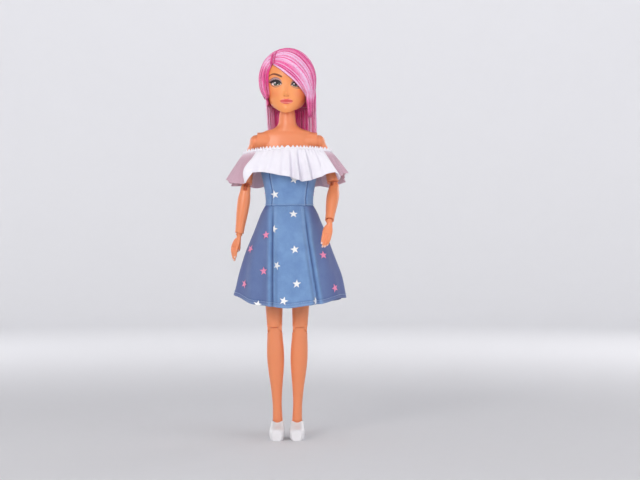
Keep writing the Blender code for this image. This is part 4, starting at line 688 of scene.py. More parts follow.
def build_body():
    top = NECK_TOP_RADIUS
    rows = [(NECK_TOP_Z, top, top, top, 1.0), (body_level(NECK_TAPER_SHARE), top, top, top, 1.0)]
    for share, width, depth in NECK_SHARES:
        rows.append((body_level(share), NECK_RADIUS * width, NECK_RADIUS * depth, NECK_RADIUS * depth, 1.0))
    rows += BODY_LEVELS
    rings = [oval((0.0, 0.0, r[0]), r[1], r[2], r[3], BODY_SIDES, r[4]) for r in refine(rows, 4)]
    trunk = solid("trunk", rings)
    reach = CHEST_HALF_WIDTH + OVERRUN
    for side in (1, -1):
        tag = str(side)
        inner = SHOULDER_HALF_WIDTH - BOSS_RADIUS * BOSS_LENGTH_SHARE
        rings = [[Vector((at, wide * BOSS_RADIUS * c, SHOULDER_Z + wide * BOSS_RADIUS * s)) for c,
                  s in circle(64)]
                 for at, wide in ((side * inner, 0.93), (side * (inner + SHOULDER_HALF_WIDTH) / 2, 0.985),
                                  (side * (SHOULDER_HALF_WIDTH + OVERRUN), 1.0))]
        combine(trunk, solid("boss" + tag, rings), 'UNION')
    soften(trunk, BODY_VOXEL, 9)
    for side in (1, -1):
        tag = str(side)
        end = [(y, SHOULDER_Z + z) for y,
               z in ((-reach, -reach), (reach, -reach), (reach, reach), (-reach, reach))]
        combine(trunk, prism("shoulder cut" + tag, end, side * SHOULDER_HALF_WIDTH, side * reach * 2))
        centre = (side * SHOULDER_X, 0.0, SHOULDER_Z)
        combine(trunk, ball("arm socket" + tag, ARM_BALL_RADIUS + SOCKET_GAP, centre, SMOOTH_BALL))
        wall = SHOULDER_X - ARM_BALL_RADIUS
        combine(trunk, rod("arm bore" + tag, SHOULDER_BARREL_RADIUS + BORE_GAP,
                           (side * (wall - SHOULDER_BARREL_REACH), 0.0, SHOULDER_Z),
                           (side * (wall + OVERRUN), 0.0, SHOULDER_Z)))
        outline = [(-reach, -reach), (-reach, LEG_OPENING_FRONT),
                   (-LEG_OPENING_SLOPE_FRONT, LEG_OPENING_FRONT),
                   (LEG_OPENING_SLOPE_BACK, LEG_OPENING_BACK), (reach, LEG_OPENING_BACK), (reach, -reach)]
        outline = [(y, HIP_Z + z) for y, z in outline]
        combine(trunk, prism("leg opening" + tag, outline, side * CROTCH_HALF_WIDTH, side * reach))
        combine(trunk, ball("hip socket" + tag, HIP_BALL_RADIUS + SOCKET_GAP,
                            (side * HIP_HALF_SPAN, 0.0, HIP_Z),
                            SMOOTH_BALL))
    combine(trunk, rod("hip bore", HIP_BARREL_RADIUS + BORE_GAP, (-HIP_HALF_SPAN, 0.0, HIP_Z),
                       (HIP_HALF_SPAN, 0.0, HIP_Z)))
    combine(trunk, rod("neck bore", NECK_STEM_RADIUS + BORE_GAP, (0.0, 0.0, NECK_TOP_Z + OVERRUN),
                       (0.0, 0.0, NECK_TOP_Z - NECK_STEM_DEPTH)))
    whole = settle(trunk, "trunk_whole")
    for vertex in whole.data.vertices:
        high = vertex.co.z - SHOULDER_CORNER_Z
        if high > 0.0 and abs(vertex.co.x) > SHOULDER_CORNER_FROM:
            vertex.co.z -= high * SHOULDER_CORNER_SHARE * float(smooth(abs(vertex.co.x),
                                                                       *SHOULDER_CORNER_EASE))
    for name, sign in (("body_front", -1), ("body_back", 1)):
        half = temporary(name + "_half", whole.data.copy())
        far = SHOULDER_HALF_WIDTH * 2
        near = sign * SEAM_GAP / 2
        away = -sign * far
        outline = [(near, HIP_Z - far), (near, NECK_TOP_Z + far), (away, NECK_TOP_Z + far),
                   (away, HIP_Z - far)]
        combine(half, prism(name + " cut", outline, -far, far))
        dress_piece(settle(half, name), "limb", "torso",
                    ["torso_front" if sign < 0 else "torso_back"])
    bpy.data.objects.remove(whole)


# Arms

SHOULDER_DISC_RADIUS = 0.0029
SHOULDER_DISC_WIDTH = 0.0031
SHOULDER_PIN_RADIUS = 0.0009
SHOULDER_PIN_HALF = 0.0048
ARM_SLOT_LOW, ARM_SLOT_HIGH = -44.0, 104.0
ARM_SLOPE = (-0.0026, 0.0014)
ARM_SLOPE_SHARE = 0.28
ARM_TAPER = (-0.0130, -0.0020)
ARM_TAPER_SHARE = 0.22
ARM_HALF_WIDTH = 0.0039
ARM_HALF_DEPTH = 0.0044
ARM_OFFSET = 0.0036
LIMB_SIDES = 48
UPPER_ARM_SHARES = (
    (0.02, 0.82, 1.20, 1.20, 0.86), (0.16, 0.92, 1.14, 1.14, 0.92), (0.38, 0.95, 1.00, 1.00, 0.95),
    (0.66, 1.00, 0.95, 0.97, 0.93), (0.88, 1.10, 1.02, 1.02, 0.92), (1.00, 1.12, 1.02, 1.02, 0.92),
)
ELBOW_BALL_RADIUS = 0.0037
ELBOW_RIM = 0.0034
ELBOW_RIM_TILT = 0.0014
ELBOW_STEM_RADIUS = 0.0011
ELBOW_STEM_LENGTH = 0.0105
ELBOW_DISC_RADIUS = 0.0025
ELBOW_DISC_WIDTH = 0.0022
ELBOW_PIN_RADIUS = 0.0007
ELBOW_PIN_HALF = 0.0030
FOREARM_HALF_WIDTH = 0.0047
FOREARM_HALF_DEPTH = 0.0044
FOREARM_SHARES = (
    (0.09, 0.84, 0.88, 0.88, 0.0), (0.22, 0.98, 0.95, 1.00, 0.0), (0.36, 1.00, 1.00, 1.00, 0.0),
    (0.58, 0.90, 0.91, 0.91, 0.0), (0.80, 0.75, 0.77, 0.77, 0.0), (0.965, 0.69, 0.71, 0.71, 0.0),
)
WRIST_BALL_RADIUS = 0.0025
WRIST_STEM_RADIUS = 0.00065
WRIST_STEM_LENGTH = 0.0068
WRIST_DISC_RADIUS = 0.0015
WRIST_DISC_WIDTH = 0.0013
WRIST_PIN_RADIUS = 0.00045
WRIST_PIN_HALF = 0.0019
FRONT_SLOT = (56.0, 212.0)
TOP_SLOT = (12.0, 168.0)


def limb_rings(length, half_width, half_depth, shares, side, sides, per_step=5):
    rings = []
    for along, width, front, back, out in refine(shares, per_step):
        rings.append(oval((side * out * half_width, 0.0, -along * length), width * half_width,
                          front * half_depth, back * half_depth, sides))
    return rings


def dome_rings(radius, sides, steps=10, top=84.0):
    rings = []
    for step in range(steps):
        rise = math.radians(top * (1.0 - step / steps))
        rings.append(oval((0.0, 0.0, radius * math.sin(rise)), radius * math.cos(rise),
                          radius * math.cos(rise),
                          radius * math.cos(rise), sides))
    rings.append(oval((0.0, 0.0, 0.0), radius, radius, radius, sides))
    return rings


def upper_arm(tag, side, place):
    arm = solid("arm blank", limb_rings(UPPER_ARM_LENGTH, ARM_HALF_WIDTH, ARM_HALF_DEPTH, UPPER_ARM_SHARES,
                                        side,
                                        LIMB_SIDES))
    combine(arm, ball("arm ball", ARM_BALL_RADIUS, (0.0, 0.0, 0.0), SMOOTH_BALL), 'UNION')
    elbow = Vector((side * ARM_OFFSET, 0.0, -UPPER_ARM_LENGTH))
    reach = ARM_HALF_DEPTH + OVERRUN
    tilt = ELBOW_RIM_TILT * reach / ARM_HALF_DEPTH
    outline = [(-reach, -reach), (-reach, ELBOW_RIM + tilt), (reach, ELBOW_RIM - tilt), (reach, -reach)]
    outline = [(y, elbow.z + z) for y, z in outline]
    combine(arm, prism("arm end", outline, elbow.x - reach, elbow.x + reach))
    combine(arm, ball("arm cup", ELBOW_BALL_RADIUS + SOCKET_GAP, elbow, SMOOTH_BALL))
    top = elbow + Vector((0.0, 0.0, ELBOW_STEM_LENGTH + BORE_GAP))
    combine(arm, rod("arm bore", ELBOW_STEM_RADIUS + BORE_GAP, elbow, top))
    first, last = (180.0 - ARM_SLOT_HIGH, 180.0 - ARM_SLOT_LOW) if side > 0 else (ARM_SLOT_LOW, ARM_SLOT_HIGH)
    half_slot = SHOULDER_DISC_WIDTH / 2 + BORE_GAP
    combine(arm, prism("arm slot", keyhole(SHOULDER_DISC_RADIUS + BORE_GAP, ARM_BALL_RADIUS + OVERRUN, first,
                                           last),
                       -half_slot, half_slot, 'Y'))
    combine(arm, rod("arm pin hole", SHOULDER_PIN_RADIUS + BORE_GAP, (0.0, -SHOULDER_PIN_HALF - GAP, 0.0),
                     (0.0, SHOULDER_PIN_HALF + GAP, 0.0)))
    name = "arm_upper" + tag
    made = settle(arm, name)
    for vertex in made.data.vertices:
        outside = float(smooth(vertex.co.x * side, *ARM_SLOPE))
        if vertex.co.x * side > 0:
            vertex.co.x *= 1.0 - ARM_TAPER_SHARE * float(smooth(vertex.co.z, *ARM_TAPER))
        if vertex.co.z > 0:
            vertex.co.z *= 1.0 - ARM_SLOPE_SHARE * outside
    made.data.transform(place)
    dress_piece(made, "limb", "upper_arm" + tag, ["upper_arm" + tag])


def forearm(tag, place):
    rings = dome_rings(ELBOW_BALL_RADIUS, LIMB_SIDES)
    rings += limb_rings(FOREARM_LENGTH, FOREARM_HALF_WIDTH, FOREARM_HALF_DEPTH, FOREARM_SHARES, 0, LIMB_SIDES)
    arm = solid("forearm blank", rings)
    half_slot = ELBOW_DISC_WIDTH / 2 + BORE_GAP
    combine(arm, prism("forearm slot", keyhole(ELBOW_DISC_RADIUS + BORE_GAP, ELBOW_BALL_RADIUS + OVERRUN,
                                               *FRONT_SLOT), -half_slot, half_slot))
    combine(arm, rod("forearm pin hole", ELBOW_PIN_RADIUS + BORE_GAP, (-ELBOW_PIN_HALF - GAP, 0.0, 0.0),
                     (ELBOW_PIN_HALF + GAP, 0.0, 0.0)))
    wrist = Vector((0.0, 0.0, -FOREARM_LENGTH))
    combine(arm, ball("forearm cup", WRIST_BALL_RADIUS + SOCKET_GAP, wrist, SMOOTH_BALL))
    combine(arm, rod("forearm bore", WRIST_STEM_RADIUS + BORE_GAP, wrist,
                     wrist + Vector((0.0, 0.0, WRIST_STEM_LENGTH + BORE_GAP))))
    dress_piece(settle(arm, "arm_lower" + tag, place), "limb", "forearm" + tag,
                ["forearm" + tag])


# Hands

PALM_LENGTH = 0.0100
PALM_HALF_WIDTH = 0.0038
PALM_HALF_DEPTH = 0.0015
PALM_SHARES = (
    (0.10, 0.56, 1.15, 1.15, 0.0), (0.34, 0.72, 1.00, 1.10, 0.0), (0.66, 0.94, 0.95, 1.05, 0.0),
    (1.00, 0.98, 0.85, 0.85, 0.0),
)
FINGER_RADIUS = 0.00106
FINGER_ROOT_SHARE = 0.84
FINGER_LENGTH = 0.0118
# Each finger: place across, length share, curl and sideways bow in degrees
FINGER_SHARES = ((0.72, 0.78, 5.0, 2.0), (0.25, 1.00, 7.0, 12.0), (-0.23, 0.98, 9.0, 16.0),
                 (-0.69, 0.88, 12.0, 24.0))
THUMB_LENGTH = 0.0098
THUMB_RADIUS = 0.00115
THUMB_LEAN = {1: 50.0, -1: 22.0}
THUMB_BOW = {1: 56.0, -1: 26.0}
THUMB_CURL = 6.0
THUMB_ROOT_SHARES = (0.28, 0.30, 0.26)
FINGER_SPREAD_SHARE = 0.035
DIGIT_SHARES = ((0.0, 1.0), (0.22, 0.96), (0.45, 1.0), (0.62, 0.90), (0.78, 0.90), (0.92, 0.78), (0.98, 0.52),
                (1.0, 0.20))
DIGIT_SIDES = 14
HAND_VOXEL = 0.00021
HAND_EASE = (0.0010, 0.0045)
NAIL_THICKNESS = 0.00008
# How each moulded hand is turned, tilted and leant below its wrist
HAND_SET = {1: (30.0, 17.0, 0.0), -1: (36.0, 0.0, -14.0)}


def set_hand(point, side):
    """A point of the hand, turned gradually below the wrist."""
    share = float(smooth(-point.z, *HAND_EASE))
    turn, tilt, lean = (math.radians(angle) * share for angle in HAND_SET[side])
    return Matrix.Rotation(lean, 3, 'X') @ Matrix.Rotation(tilt, 3, 'Y') @ Matrix.Rotation(turn, 3,
                                                                                           'Z') @ point


def digit(name, root, direction, length, radius, curl, bow):
    """A finger with soft knuckles and a round tip; also gives the place and heading of its nail."""
    point, heading = Vector(root), Vector(direction).normalized()
    across = heading.cross(Vector((0.0, 1.0, 0.0))).normalized()
    rings, nail = [], None
    for station, (share, width) in enumerate(DIGIT_SHARES):
        if station:
            step = (share - DIGIT_SHARES[station - 1][0]) * length
            heading = Matrix.Rotation(math.radians(curl) * step / length * 3.0, 3, across) @ heading
            heading = Matrix.Rotation(math.radians(bow) * step / length, 3, 'Y') @ heading
            point = point + heading * step
        other = heading.cross(across)
        if share == 0.92:
            nail = (point.copy(), heading.copy(), across.copy(), radius * width)
        rings.append([point + (across * c + other * s) * radius * width for c, s in circle(DIGIT_SIDES)])
    return solid(name, rings), nail


def nail_plate(nail, verts, faces):
    """A small domed nail on the back of a fingertip."""
    point, heading, across, radius = nail
    back = Vector((0.0, -1.0, 0.0))
    back = (back - heading * back.dot(heading)).normalized()
    start = len(verts)
    rows, columns = 7, 9
    for i in range(rows):
        along = (i / (rows - 1) * 2.0 - 1.0)
        wide = math.sqrt(max(0.0, 1.0 - (abs(along) ** 2.6))) * 0.9 + 0.02
        for j in range(columns):
            turn = (j / (columns - 1) * 2.0 - 1.0) * wide
            at = point + heading * along * radius * 1.05
            at += (back * math.cos(turn) + across * math.sin(turn)) * radius * (1.02 - 0.04 * along * along)
            verts.append(at)
    faces += ring_faces(rows, columns, False, start)


def hand(tag, side, place):
    thumb_side = -side
    blanks, nails = [], []
    rings = dome_rings(WRIST_BALL_RADIUS, LIMB_SIDES)
    rings += limb_rings(PALM_LENGTH, PALM_HALF_WIDTH, PALM_HALF_DEPTH, PALM_SHARES, side, LIMB_SIDES)
    blanks.append(solid("palm", rings))
    for number, (place_share, length_share, curl, bow) in enumerate(FINGER_SHARES):
        root = (thumb_side * place_share * PALM_HALF_WIDTH, 0.0, -PALM_LENGTH * FINGER_ROOT_SHARE)
        heading = (thumb_side * place_share * FINGER_SPREAD_SHARE, 0.0, -1.0)
        made, nail = digit("finger" + str(number), root, heading, FINGER_LENGTH * length_share, FINGER_RADIUS,
                           curl,
                           -thumb_side * bow)
        blanks.append(made)
        nails.append(nail)
    across, deep, down = THUMB_ROOT_SHARES
    lean = math.radians(THUMB_LEAN[side])
    made, nail = digit("thumb", (thumb_side * PALM_HALF_WIDTH * across, PALM_HALF_DEPTH * deep,
                                 -PALM_LENGTH * down),
                       (thumb_side * math.sin(lean), 0.15, -math.cos(lean)), THUMB_LENGTH, THUMB_RADIUS,
                       THUMB_CURL,
                       thumb_side * THUMB_BOW[side])
    blanks.append(made)
    nails.append(nail)
    work = bmesh.new()
    for blank in blanks:
        work.from_mesh(blank.data)
        bpy.data.objects.remove(blank)
    for vertex in work.verts:
        vertex.co = set_hand(vertex.co, side)
    mesh = bpy.data.meshes.new("hand blank")
    work.to_mesh(mesh)
    work.free()
    whole = temporary("hand blank", mesh)
    soften(whole, HAND_VOXEL, 5)
    half_slot = WRIST_DISC_WIDTH / 2 + BORE_GAP
    combine(whole, prism("hand slot", keyhole(WRIST_DISC_RADIUS + BORE_GAP, WRIST_BALL_RADIUS + OVERRUN,
                                              *TOP_SLOT),
                         -half_slot, half_slot))
    combine(whole, rod("hand pin hole", WRIST_PIN_RADIUS + BORE_GAP, (-WRIST_PIN_HALF - GAP, 0.0, 0.0),
                       (WRIST_PIN_HALF + GAP, 0.0, 0.0)))
    dress_piece(settle(whole, "palm_and_fingers" + tag, place), "skin", "hand" + tag,
                ["hand" + tag])
    verts, faces = [], []
    for nail in nails:
        nail_plate(nail, verts, faces)
    plates = make_mesh("nails" + tag, [tuple(set_hand(v, side)) for v in verts], faces)
    plates.transform(place)
    plates.shade_smooth()
    made = temporary("nails" + tag, plates)
    thicken(made, NAIL_THICKNESS)
    dress_piece(made, "nail", "hand" + tag)


def build_arm(side):
    tag = "_left" if side > 0 else "_right"
    swing = stand(Matrix.Identity(4), (side * SHOULDER_X, 0.0, SHOULDER_Z))
    spread = stand(swing, (0.0, 0.0, 0.0), 'Y', -side * ARM_SPREAD[side])
    upper_arm(tag, side, spread)
    twist = stand(spread, (side * ARM_OFFSET, 0.0, -UPPER_ARM_LENGTH), 'Z', -side * ELBOW_TWIST[side])
    bend = stand(twist, (0.0, 0.0, 0.0), 'X', -ELBOW_BEND[side])
    forearm(tag, bend)
    turn = stand(bend, (0.0, 0.0, -FOREARM_LENGTH), 'Z', side * WRIST_TWIST[side])
    flex = stand(turn, (0.0, 0.0, 0.0), 'X', WRIST_BEND[side])
    hand(tag, side, flex)


# Legs

HIP_DISC_RADIUS = 0.0033
HIP_DISC_WIDTH = 0.0034
LEG_SLOT_LOW, LEG_SLOT_HIGH = -36.0, 66.0
THIGH_HALF_WIDTH = 0.0086
THIGH_SHARES = (
    (0.05, 0.985, 0.93, 0.95, 0.0), (0.18, 0.98, 0.97, 0.99, 0.0), (0.37, 0.90, 0.92, 0.90, 0.0),
    (0.58, 0.81, 0.82, 0.78, 0.0), (0.78, 0.74, 0.69, 0.67, 0.0), (0.92, 0.68, 0.60, 0.59, 0.0),
)
KNEE_HALF_WIDTH = 0.0056
KNEE_HALF_DEPTH = 0.0053
KNEE_KNUCKLE_RADIUS = 0.0040
KNEE_TONGUE_HALF = 0.0023
KNEE_LIP_RADIUS = 0.0068
KNEE_BEND_LIMIT = 100.0
KNEE_SHIN_NOTCH = 40.0
KNEE_PIN_RADIUS = 0.0010
SHIN_HALF_WIDTH = 0.0065
SHIN_HALF_DEPTH = 0.0066
SHIN_SHARES = (
    (0.045, 0.87, 0.80, 0.80, 0.0), (0.13, 0.90, 0.82, 0.98, 0.0), (0.25, 0.97, 0.86, 1.18, 0.0),
    (0.38, 0.97, 0.84, 1.12, 0.0), (0.52, 0.86, 0.78, 0.94, 0.0), (0.70, 0.66, 0.64, 0.72, 0.0),
    (0.88, 0.53, 0.56, 0.60, 0.0), (1.00, 0.54, 0.62, 0.64, 0.0), (1.10, 0.58, 0.74, 0.72, 0.0),
)
FOOT_LENGTH = 0.0268
FOOT_HALF_WIDTH = 0.0043
FOOT_HEIGHT = 0.0105
HEEL_BACK = 0.0076
SHOE_SOLE = 0.0028
SHOE_WALL = 0.0011
SHOE_TOE_ROOM = 0.0012
SHOE_COLLAR_Z = 0.0128
SHOE_COLLAR_SHARES = (0.92, 1.12, 0.86)
FOOT_SIDES = 40
FOOT_SQUARE_SHARE = 0.7
SOLE_SPREAD_SHARE = 1.45
FOOT_SHARES = (
    (0.00, 0.42, 0.62), (0.05, 0.70, 0.84), (0.16, 0.86, 1.00), (0.34, 0.84, 1.00), (0.52, 0.88, 0.80),
    (0.70, 1.00, 0.56), (0.84, 0.96, 0.46), (0.95, 0.74, 0.38), (1.00, 0.44, 0.30),
)


def thigh(tag, side, place):
    rings = dome_rings(HIP_BALL_RADIUS, LIMB_SIDES)
    shares = THIGH_SHARES + ((1.0 - GAP / THIGH_LENGTH, KNEE_HALF_WIDTH / THIGH_HALF_WIDTH,
                              KNEE_HALF_DEPTH / THIGH_HALF_DEPTH, KNEE_HALF_DEPTH / THIGH_HALF_DEPTH, 0.0),)
    rings += limb_rings(THIGH_LENGTH, THIGH_HALF_WIDTH, THIGH_HALF_DEPTH, shares, side, LIMB_SIDES)
    leg = solid("thigh blank", rings)
    knee = Vector((0.0, 0.0, -THIGH_LENGTH))
    reach = KNEE_HALF_DEPTH + OVERRUN
    notch = math.radians(KNEE_BEND_LIMIT - KNEE_SHIN_NOTCH)
    lip = KNEE_LIP_RADIUS + GAP
    tilt = math.radians(KNEE_BEND_LIMIT - 90.0)
    lip_point = Vector((lip * math.cos(notch), lip * math.sin(notch)))
    far = reach * 2 - lip_point.x
    outline = [(GAP, 0.0), lip_point, (lip_point.x + far, lip_point.y + far * math.tan(tilt)),
               (reach * 2, -reach),
               (GAP, -reach)]
    outline = [(y, knee.z + z) for y, z in outline]
    combine(leg, prism("thigh notch", outline, -reach * 2, reach * 2))
    knuckle = Vector((KNEE_HALF_WIDTH - GAP, 0.0, 0.0))
    combine(leg, rod("thigh knuckle", KNEE_KNUCKLE_RADIUS, knee - knuckle, knee + knuckle, 48), 'UNION')
    slot = Vector((KNEE_TONGUE_HALF + BORE_GAP, 0.0, 0.0))
    combine(leg, rod("thigh slot", KNEE_KNUCKLE_RADIUS + GAP, knee - slot, knee + slot, 48))
    bore = Vector((reach, 0.0, 0.0))
    combine(leg, rod("thigh pin hole", KNEE_PIN_RADIUS + BORE_GAP, knee - bore, knee + bore))
    first, last = (180.0 - LEG_SLOT_HIGH, 180.0 - LEG_SLOT_LOW) if side > 0 else (LEG_SLOT_LOW, LEG_SLOT_HIGH)
    half_slot = HIP_DISC_WIDTH / 2 + BORE_GAP
    combine(leg, prism("hip slot", keyhole(HIP_DISC_RADIUS + BORE_GAP, HIP_BALL_RADIUS + OVERRUN, first,
                                           last),
                       -half_slot, half_slot, 'Y'))
    dress_piece(settle(leg, "leg_upper" + tag, place), "limb", "thigh" + tag, ["thigh" + tag])


def foot_rings(grow, floor, toe_grow, per_step=5):
    rings = []
    heel = HEEL_BACK + grow
    length = FOOT_LENGTH + grow + toe_grow
    for share, width, height in refine(FOOT_SHARES, per_step):
        y = heel - share * length
        top = SHOE_SOLE + GAP + FOOT_HEIGHT * height + grow
        half = FOOT_HALF_WIDTH * width + grow
        middle = (top + floor) / 2
        tall = top - middle
        ring = []
        for k in range(FOOT_SIDES):
            angle = math.tau * (k + 0.5) / FOOT_SIDES
            c, s = math.cos(angle), math.sin(angle)
            x = half * math.copysign(abs(c) ** FOOT_SQUARE_SHARE, c)
            z = middle + tall * (s ** FOOT_SQUARE_SHARE if s > 0 else SOLE_SPREAD_SHARE * s)
            ring.append(Vector((x, y, max(z, floor))))
        rings.append(ring)
    return rings


def shin(tag, place, sole):
    shares = ((0.0, KNEE_HALF_WIDTH / SHIN_HALF_WIDTH, KNEE_HALF_DEPTH / SHIN_HALF_DEPTH,
               KNEE_HALF_DEPTH / SHIN_HALF_DEPTH, 0.0),) + SHIN_SHARES
    leg = solid("shin blank", limb_rings(SHIN_LENGTH, SHIN_HALF_WIDTH, SHIN_HALF_DEPTH, shares, 0,
                                         LIMB_SIDES))
    reach = KNEE_HALF_DEPTH + OVERRUN
    for way in (1, -1):
        combine(leg, rod("saddle" + str(way), KNEE_KNUCKLE_RADIUS + SOCKET_GAP,
                         (way * KNEE_TONGUE_HALF, 0.0, 0.0),
                         (way * reach, 0.0, 0.0), 48))
    notch = math.radians(KNEE_SHIN_NOTCH)
    outline = [(GAP, 0.0), (reach * 2, -reach * 2 * math.tan(notch)), (reach * 2, reach), (GAP, reach)]
    combine(leg, prism("shin notch", outline, -reach, reach))
    combine(leg, rod("tongue", KNEE_KNUCKLE_RADIUS, (-KNEE_TONGUE_HALF, 0.0, 0.0),
                     (KNEE_TONGUE_HALF, 0.0, 0.0),
                     48), 'UNION')
    combine(leg, rod("shin pin hole", KNEE_PIN_RADIUS + BORE_GAP, (-reach, 0.0, 0.0), (reach, 0.0, 0.0)))
    foot = solid("foot", foot_rings(0.0, SHOE_SOLE + GAP, 0.0))
    foot.data.transform(place.inverted() @ sole)
    combine(leg, foot, 'UNION')
    dress_piece(settle(leg, "leg_lower" + tag, place), "limb", "shin" + tag, ["shin" + tag])


def shoe(tag, sole):
    made = solid("shoe blank", foot_rings(SHOE_WALL + GAP, 0.0, SHOE_WALL + SHOE_TOE_ROOM))
    combine(made, solid("shoe inside", foot_rings(GAP, SHOE_SOLE, GAP)))
    far = FOOT_LENGTH
    outline = [(-far, SHOE_COLLAR_Z), (far, SHOE_COLLAR_Z), (far, SHOE_COLLAR_Z * 2),
               (-far, SHOE_COLLAR_Z * 2)]
    combine(made, prism("shoe top cut", outline, -far, far))
    width, front, back = SHOE_COLLAR_SHARES
    collar = [oval((0.0, 0.0, z), FOOT_HALF_WIDTH * width, HEEL_BACK * front, HEEL_BACK * back, 48)
              for z in (SHOE_COLLAR_Z + OVERRUN, SHOE_COLLAR_Z / 2)]
    combine(made, solid("shoe collar", collar))
    dress_piece(settle(made, "slip_on" + tag, sole), "shoe", "shin" + tag, ["shoe" + tag])


def build_leg(side):
    tag = "_left" if side > 0 else "_right"
    swing = stand(Matrix.Identity(4), (side * HIP_HALF_SPAN, 0.0, HIP_Z))
    lean = math.degrees(math.asin(KNEE_INSET / THIGH_LENGTH))
    spread = stand(swing, (0.0, 0.0, 0.0), 'Y', side * lean)
    thigh(tag, side, spread)
    knee = stand(spread, (0.0, 0.0, -THIGH_LENGTH), 'X', KNEE_REST_BEND)
    ankle_lean = math.degrees(math.asin(ANKLE_INSET / SHIN_LENGTH)) - lean
    shank = stand(knee, (0.0, 0.0, 0.0), 'Y', side * ankle_lean)
    ankle_back = SHIN_LENGTH * math.sin(math.radians(KNEE_REST_BEND))
    sole = stand(Matrix.Identity(4), (side * (HIP_HALF_SPAN - KNEE_INSET - ANKLE_INSET), ankle_back, 0.0))
    shin(tag, shank, sole)
    shoe(tag, sole)


# Head and painted face

HEAD_HEIGHT = 0.0418
HEAD_HALF_WIDTH = 0.0160
HEAD_HALF_DEPTH = 0.0160
CHIN_BELOW_NECK_TOP = 0.0008
CHIN_TILT_SHARE = 0.17
CHIN_TAPER_SHARE = 0.20
JAW_RISE = 0.0014
HEAD_HOLE_RADIUS = 0.0064
KNOB_RADIUS = 0.0030
HEAD_CEILING = 0.0017
HEAD_SHARES = (
    (0.000, 0.52, 0.78, 0.52), (0.060, 0.70, 0.84, 0.62), (0.150, 0.84, 0.88, 0.74),
               (0.260, 0.905, 0.91, 0.84),
    (0.380, 0.945, 0.93, 0.93), (0.500, 0.975, 0.94, 0.98), (0.620, 1.000, 0.97, 1.00),
               (0.740, 0.970, 0.93, 0.98),
    (0.840, 0.860, 0.80, 0.87), (0.915, 0.680, 0.61, 0.69), (0.970, 0.430, 0.38, 0.44),
               (1.000, 0.130, 0.12, 0.13),
)
HEAD_ROWS = np.array(refine(HEAD_SHARES, 6))
HEAD_COLUMNS = 220
HEAD_HEIGHTS = 210
HEAD_PLACE = stand(Matrix.Identity(4), (0.0, 0.0, NOD_Z), 'Z', HEAD_TURN)
# Shallow shapes of the face: x, z, half-width, half-height and height, all in millimetres
FACE_BUMPS = (
    (0.0, 8.6, 1.5, 1.6, 1.50), (0.0, 11.8, 1.15, 3.0, 0.80), (1.6, 7.5, 0.9, 0.8, 0.45),
    (-1.6, 7.5, 0.9, 0.8, 0.45), (0.0, 3.75, 3.1, 0.75, 0.85), (0.0, 1.85, 2.6, 0.8, 0.95),
    (0.0, 2.85, 3.8, 0.28, -0.55), (0.0, 5.5, 0.7, 0.8, -0.25), (0.0, 0.1, 2.6, 0.6, -0.40),
    (0.0, -2.6, 3.2, 1.8, 0.60), (7.3, 15.8, 4.6, 3.0, -0.75), (-7.3, 15.8, 4.6, 3.0, -0.75),
    (7.3, 15.8, 3.0, 2.0, 0.55), (-7.3, 15.8, 3.0, 2.0, 0.55), (7.0, 21.4, 5.0, 1.4, 0.35),
    (-7.0, 21.4, 5.0, 1.4, 0.35), (8.2, 8.0, 3.4, 3.0, 0.45), (-8.2, 8.0, 3.4, 3.0, 0.45),
)
# How far the whole face is set to the side and down, and the second eye's extra drop, in millimetres
FACE_SHIFT = (0.55, -0.85)
EYE_DROP = 0.9


def head_row(share):
    return [float(np.interp(share, HEAD_ROWS[:, 0], HEAD_ROWS[:, k])) for k in (1, 2, 3)]


def head_point(angle, share, grow=0.0):
    """A point of the head's skin in the nod joint's frame. Angle 0 looks front, + turns to +X."""
    width, front, back = head_row(share)
    c, s = math.cos(angle), math.sin(angle)
    low = (1.0 - share) ** 6
    x = (width * HEAD_HALF_WIDTH + grow) * s * (1.0 - CHIN_TAPER_SHARE * low * max(c, 0.0))
    y = -((front if c > 0 else back) * HEAD_HALF_DEPTH + grow) * c
    z = share * HEAD_HEIGHT - NECK_TO_NOD - CHIN_BELOW_NECK_TOP
    z += CHIN_TILT_SHARE * y * (1.0 - share) ** 2 + JAW_RISE * low * s * s
    return Vector((x, y, z + grow * share ** 4))


def over(base, colour, mask):
    """Lay a paint colour over the colours so far."""
    mask = np.clip(mask, 0.0, 1.0)[:, None]
    cover = base[:, 3:4] + (1.0 - base[:, 3:4]) * mask
    mixed = np.where(cover > 0, (base[:, :3] * base[:, 3:4] * (1 - mask) + np.array(colour[:3]) * mask)
                     / np.maximum(cover, 1e-6), 0.0)
    return np.concatenate([mixed, cover], axis=1)


def stroke(x, z, line, edge=0.18):
    """How far points are inside a curved stroke given as (x, z, half-thickness) points in millimetres."""
    path = np.array(refine(line, 6))
    best = np.full(len(x), -1e3)
    for start, end in zip(path, path[1:]):
        span = end[:2] - start[:2]
        t = np.clip(((x - start[0]) * span[0] + (z - start[1]) * span[1]) / max(span @ span, 1e-9), 0.0, 1.0)
        away = np.hypot(x - start[0] - t * span[0], z - start[1] - t * span[1])
        best = np.maximum(best, start[2] + (end[2] - start[2]) * t - away)
    return smooth(best, -edge, edge)


def blob(x, z, cx, cz, rx, rz, edge=0.12):
    away = np.hypot((x - cx) / rx, (z - cz) / rz)
    return 1.0 - smooth(away, 1.0 - edge / rx, 1.0 + edge / rx)


def band(x, z, low_line, high_line, edge=0.18):
    """Inside between two curves z(x), each given as points."""
    low, high = line_at(x, low_line), line_at(x, high_line)
    left, right = low_line[0][0], low_line[-1][0]
    inside = smooth(z - low, -edge, edge) * smooth(high - z, -edge, edge)
    return inside * smooth(x - left, -edge, edge) * smooth(right - x, -edge, edge)


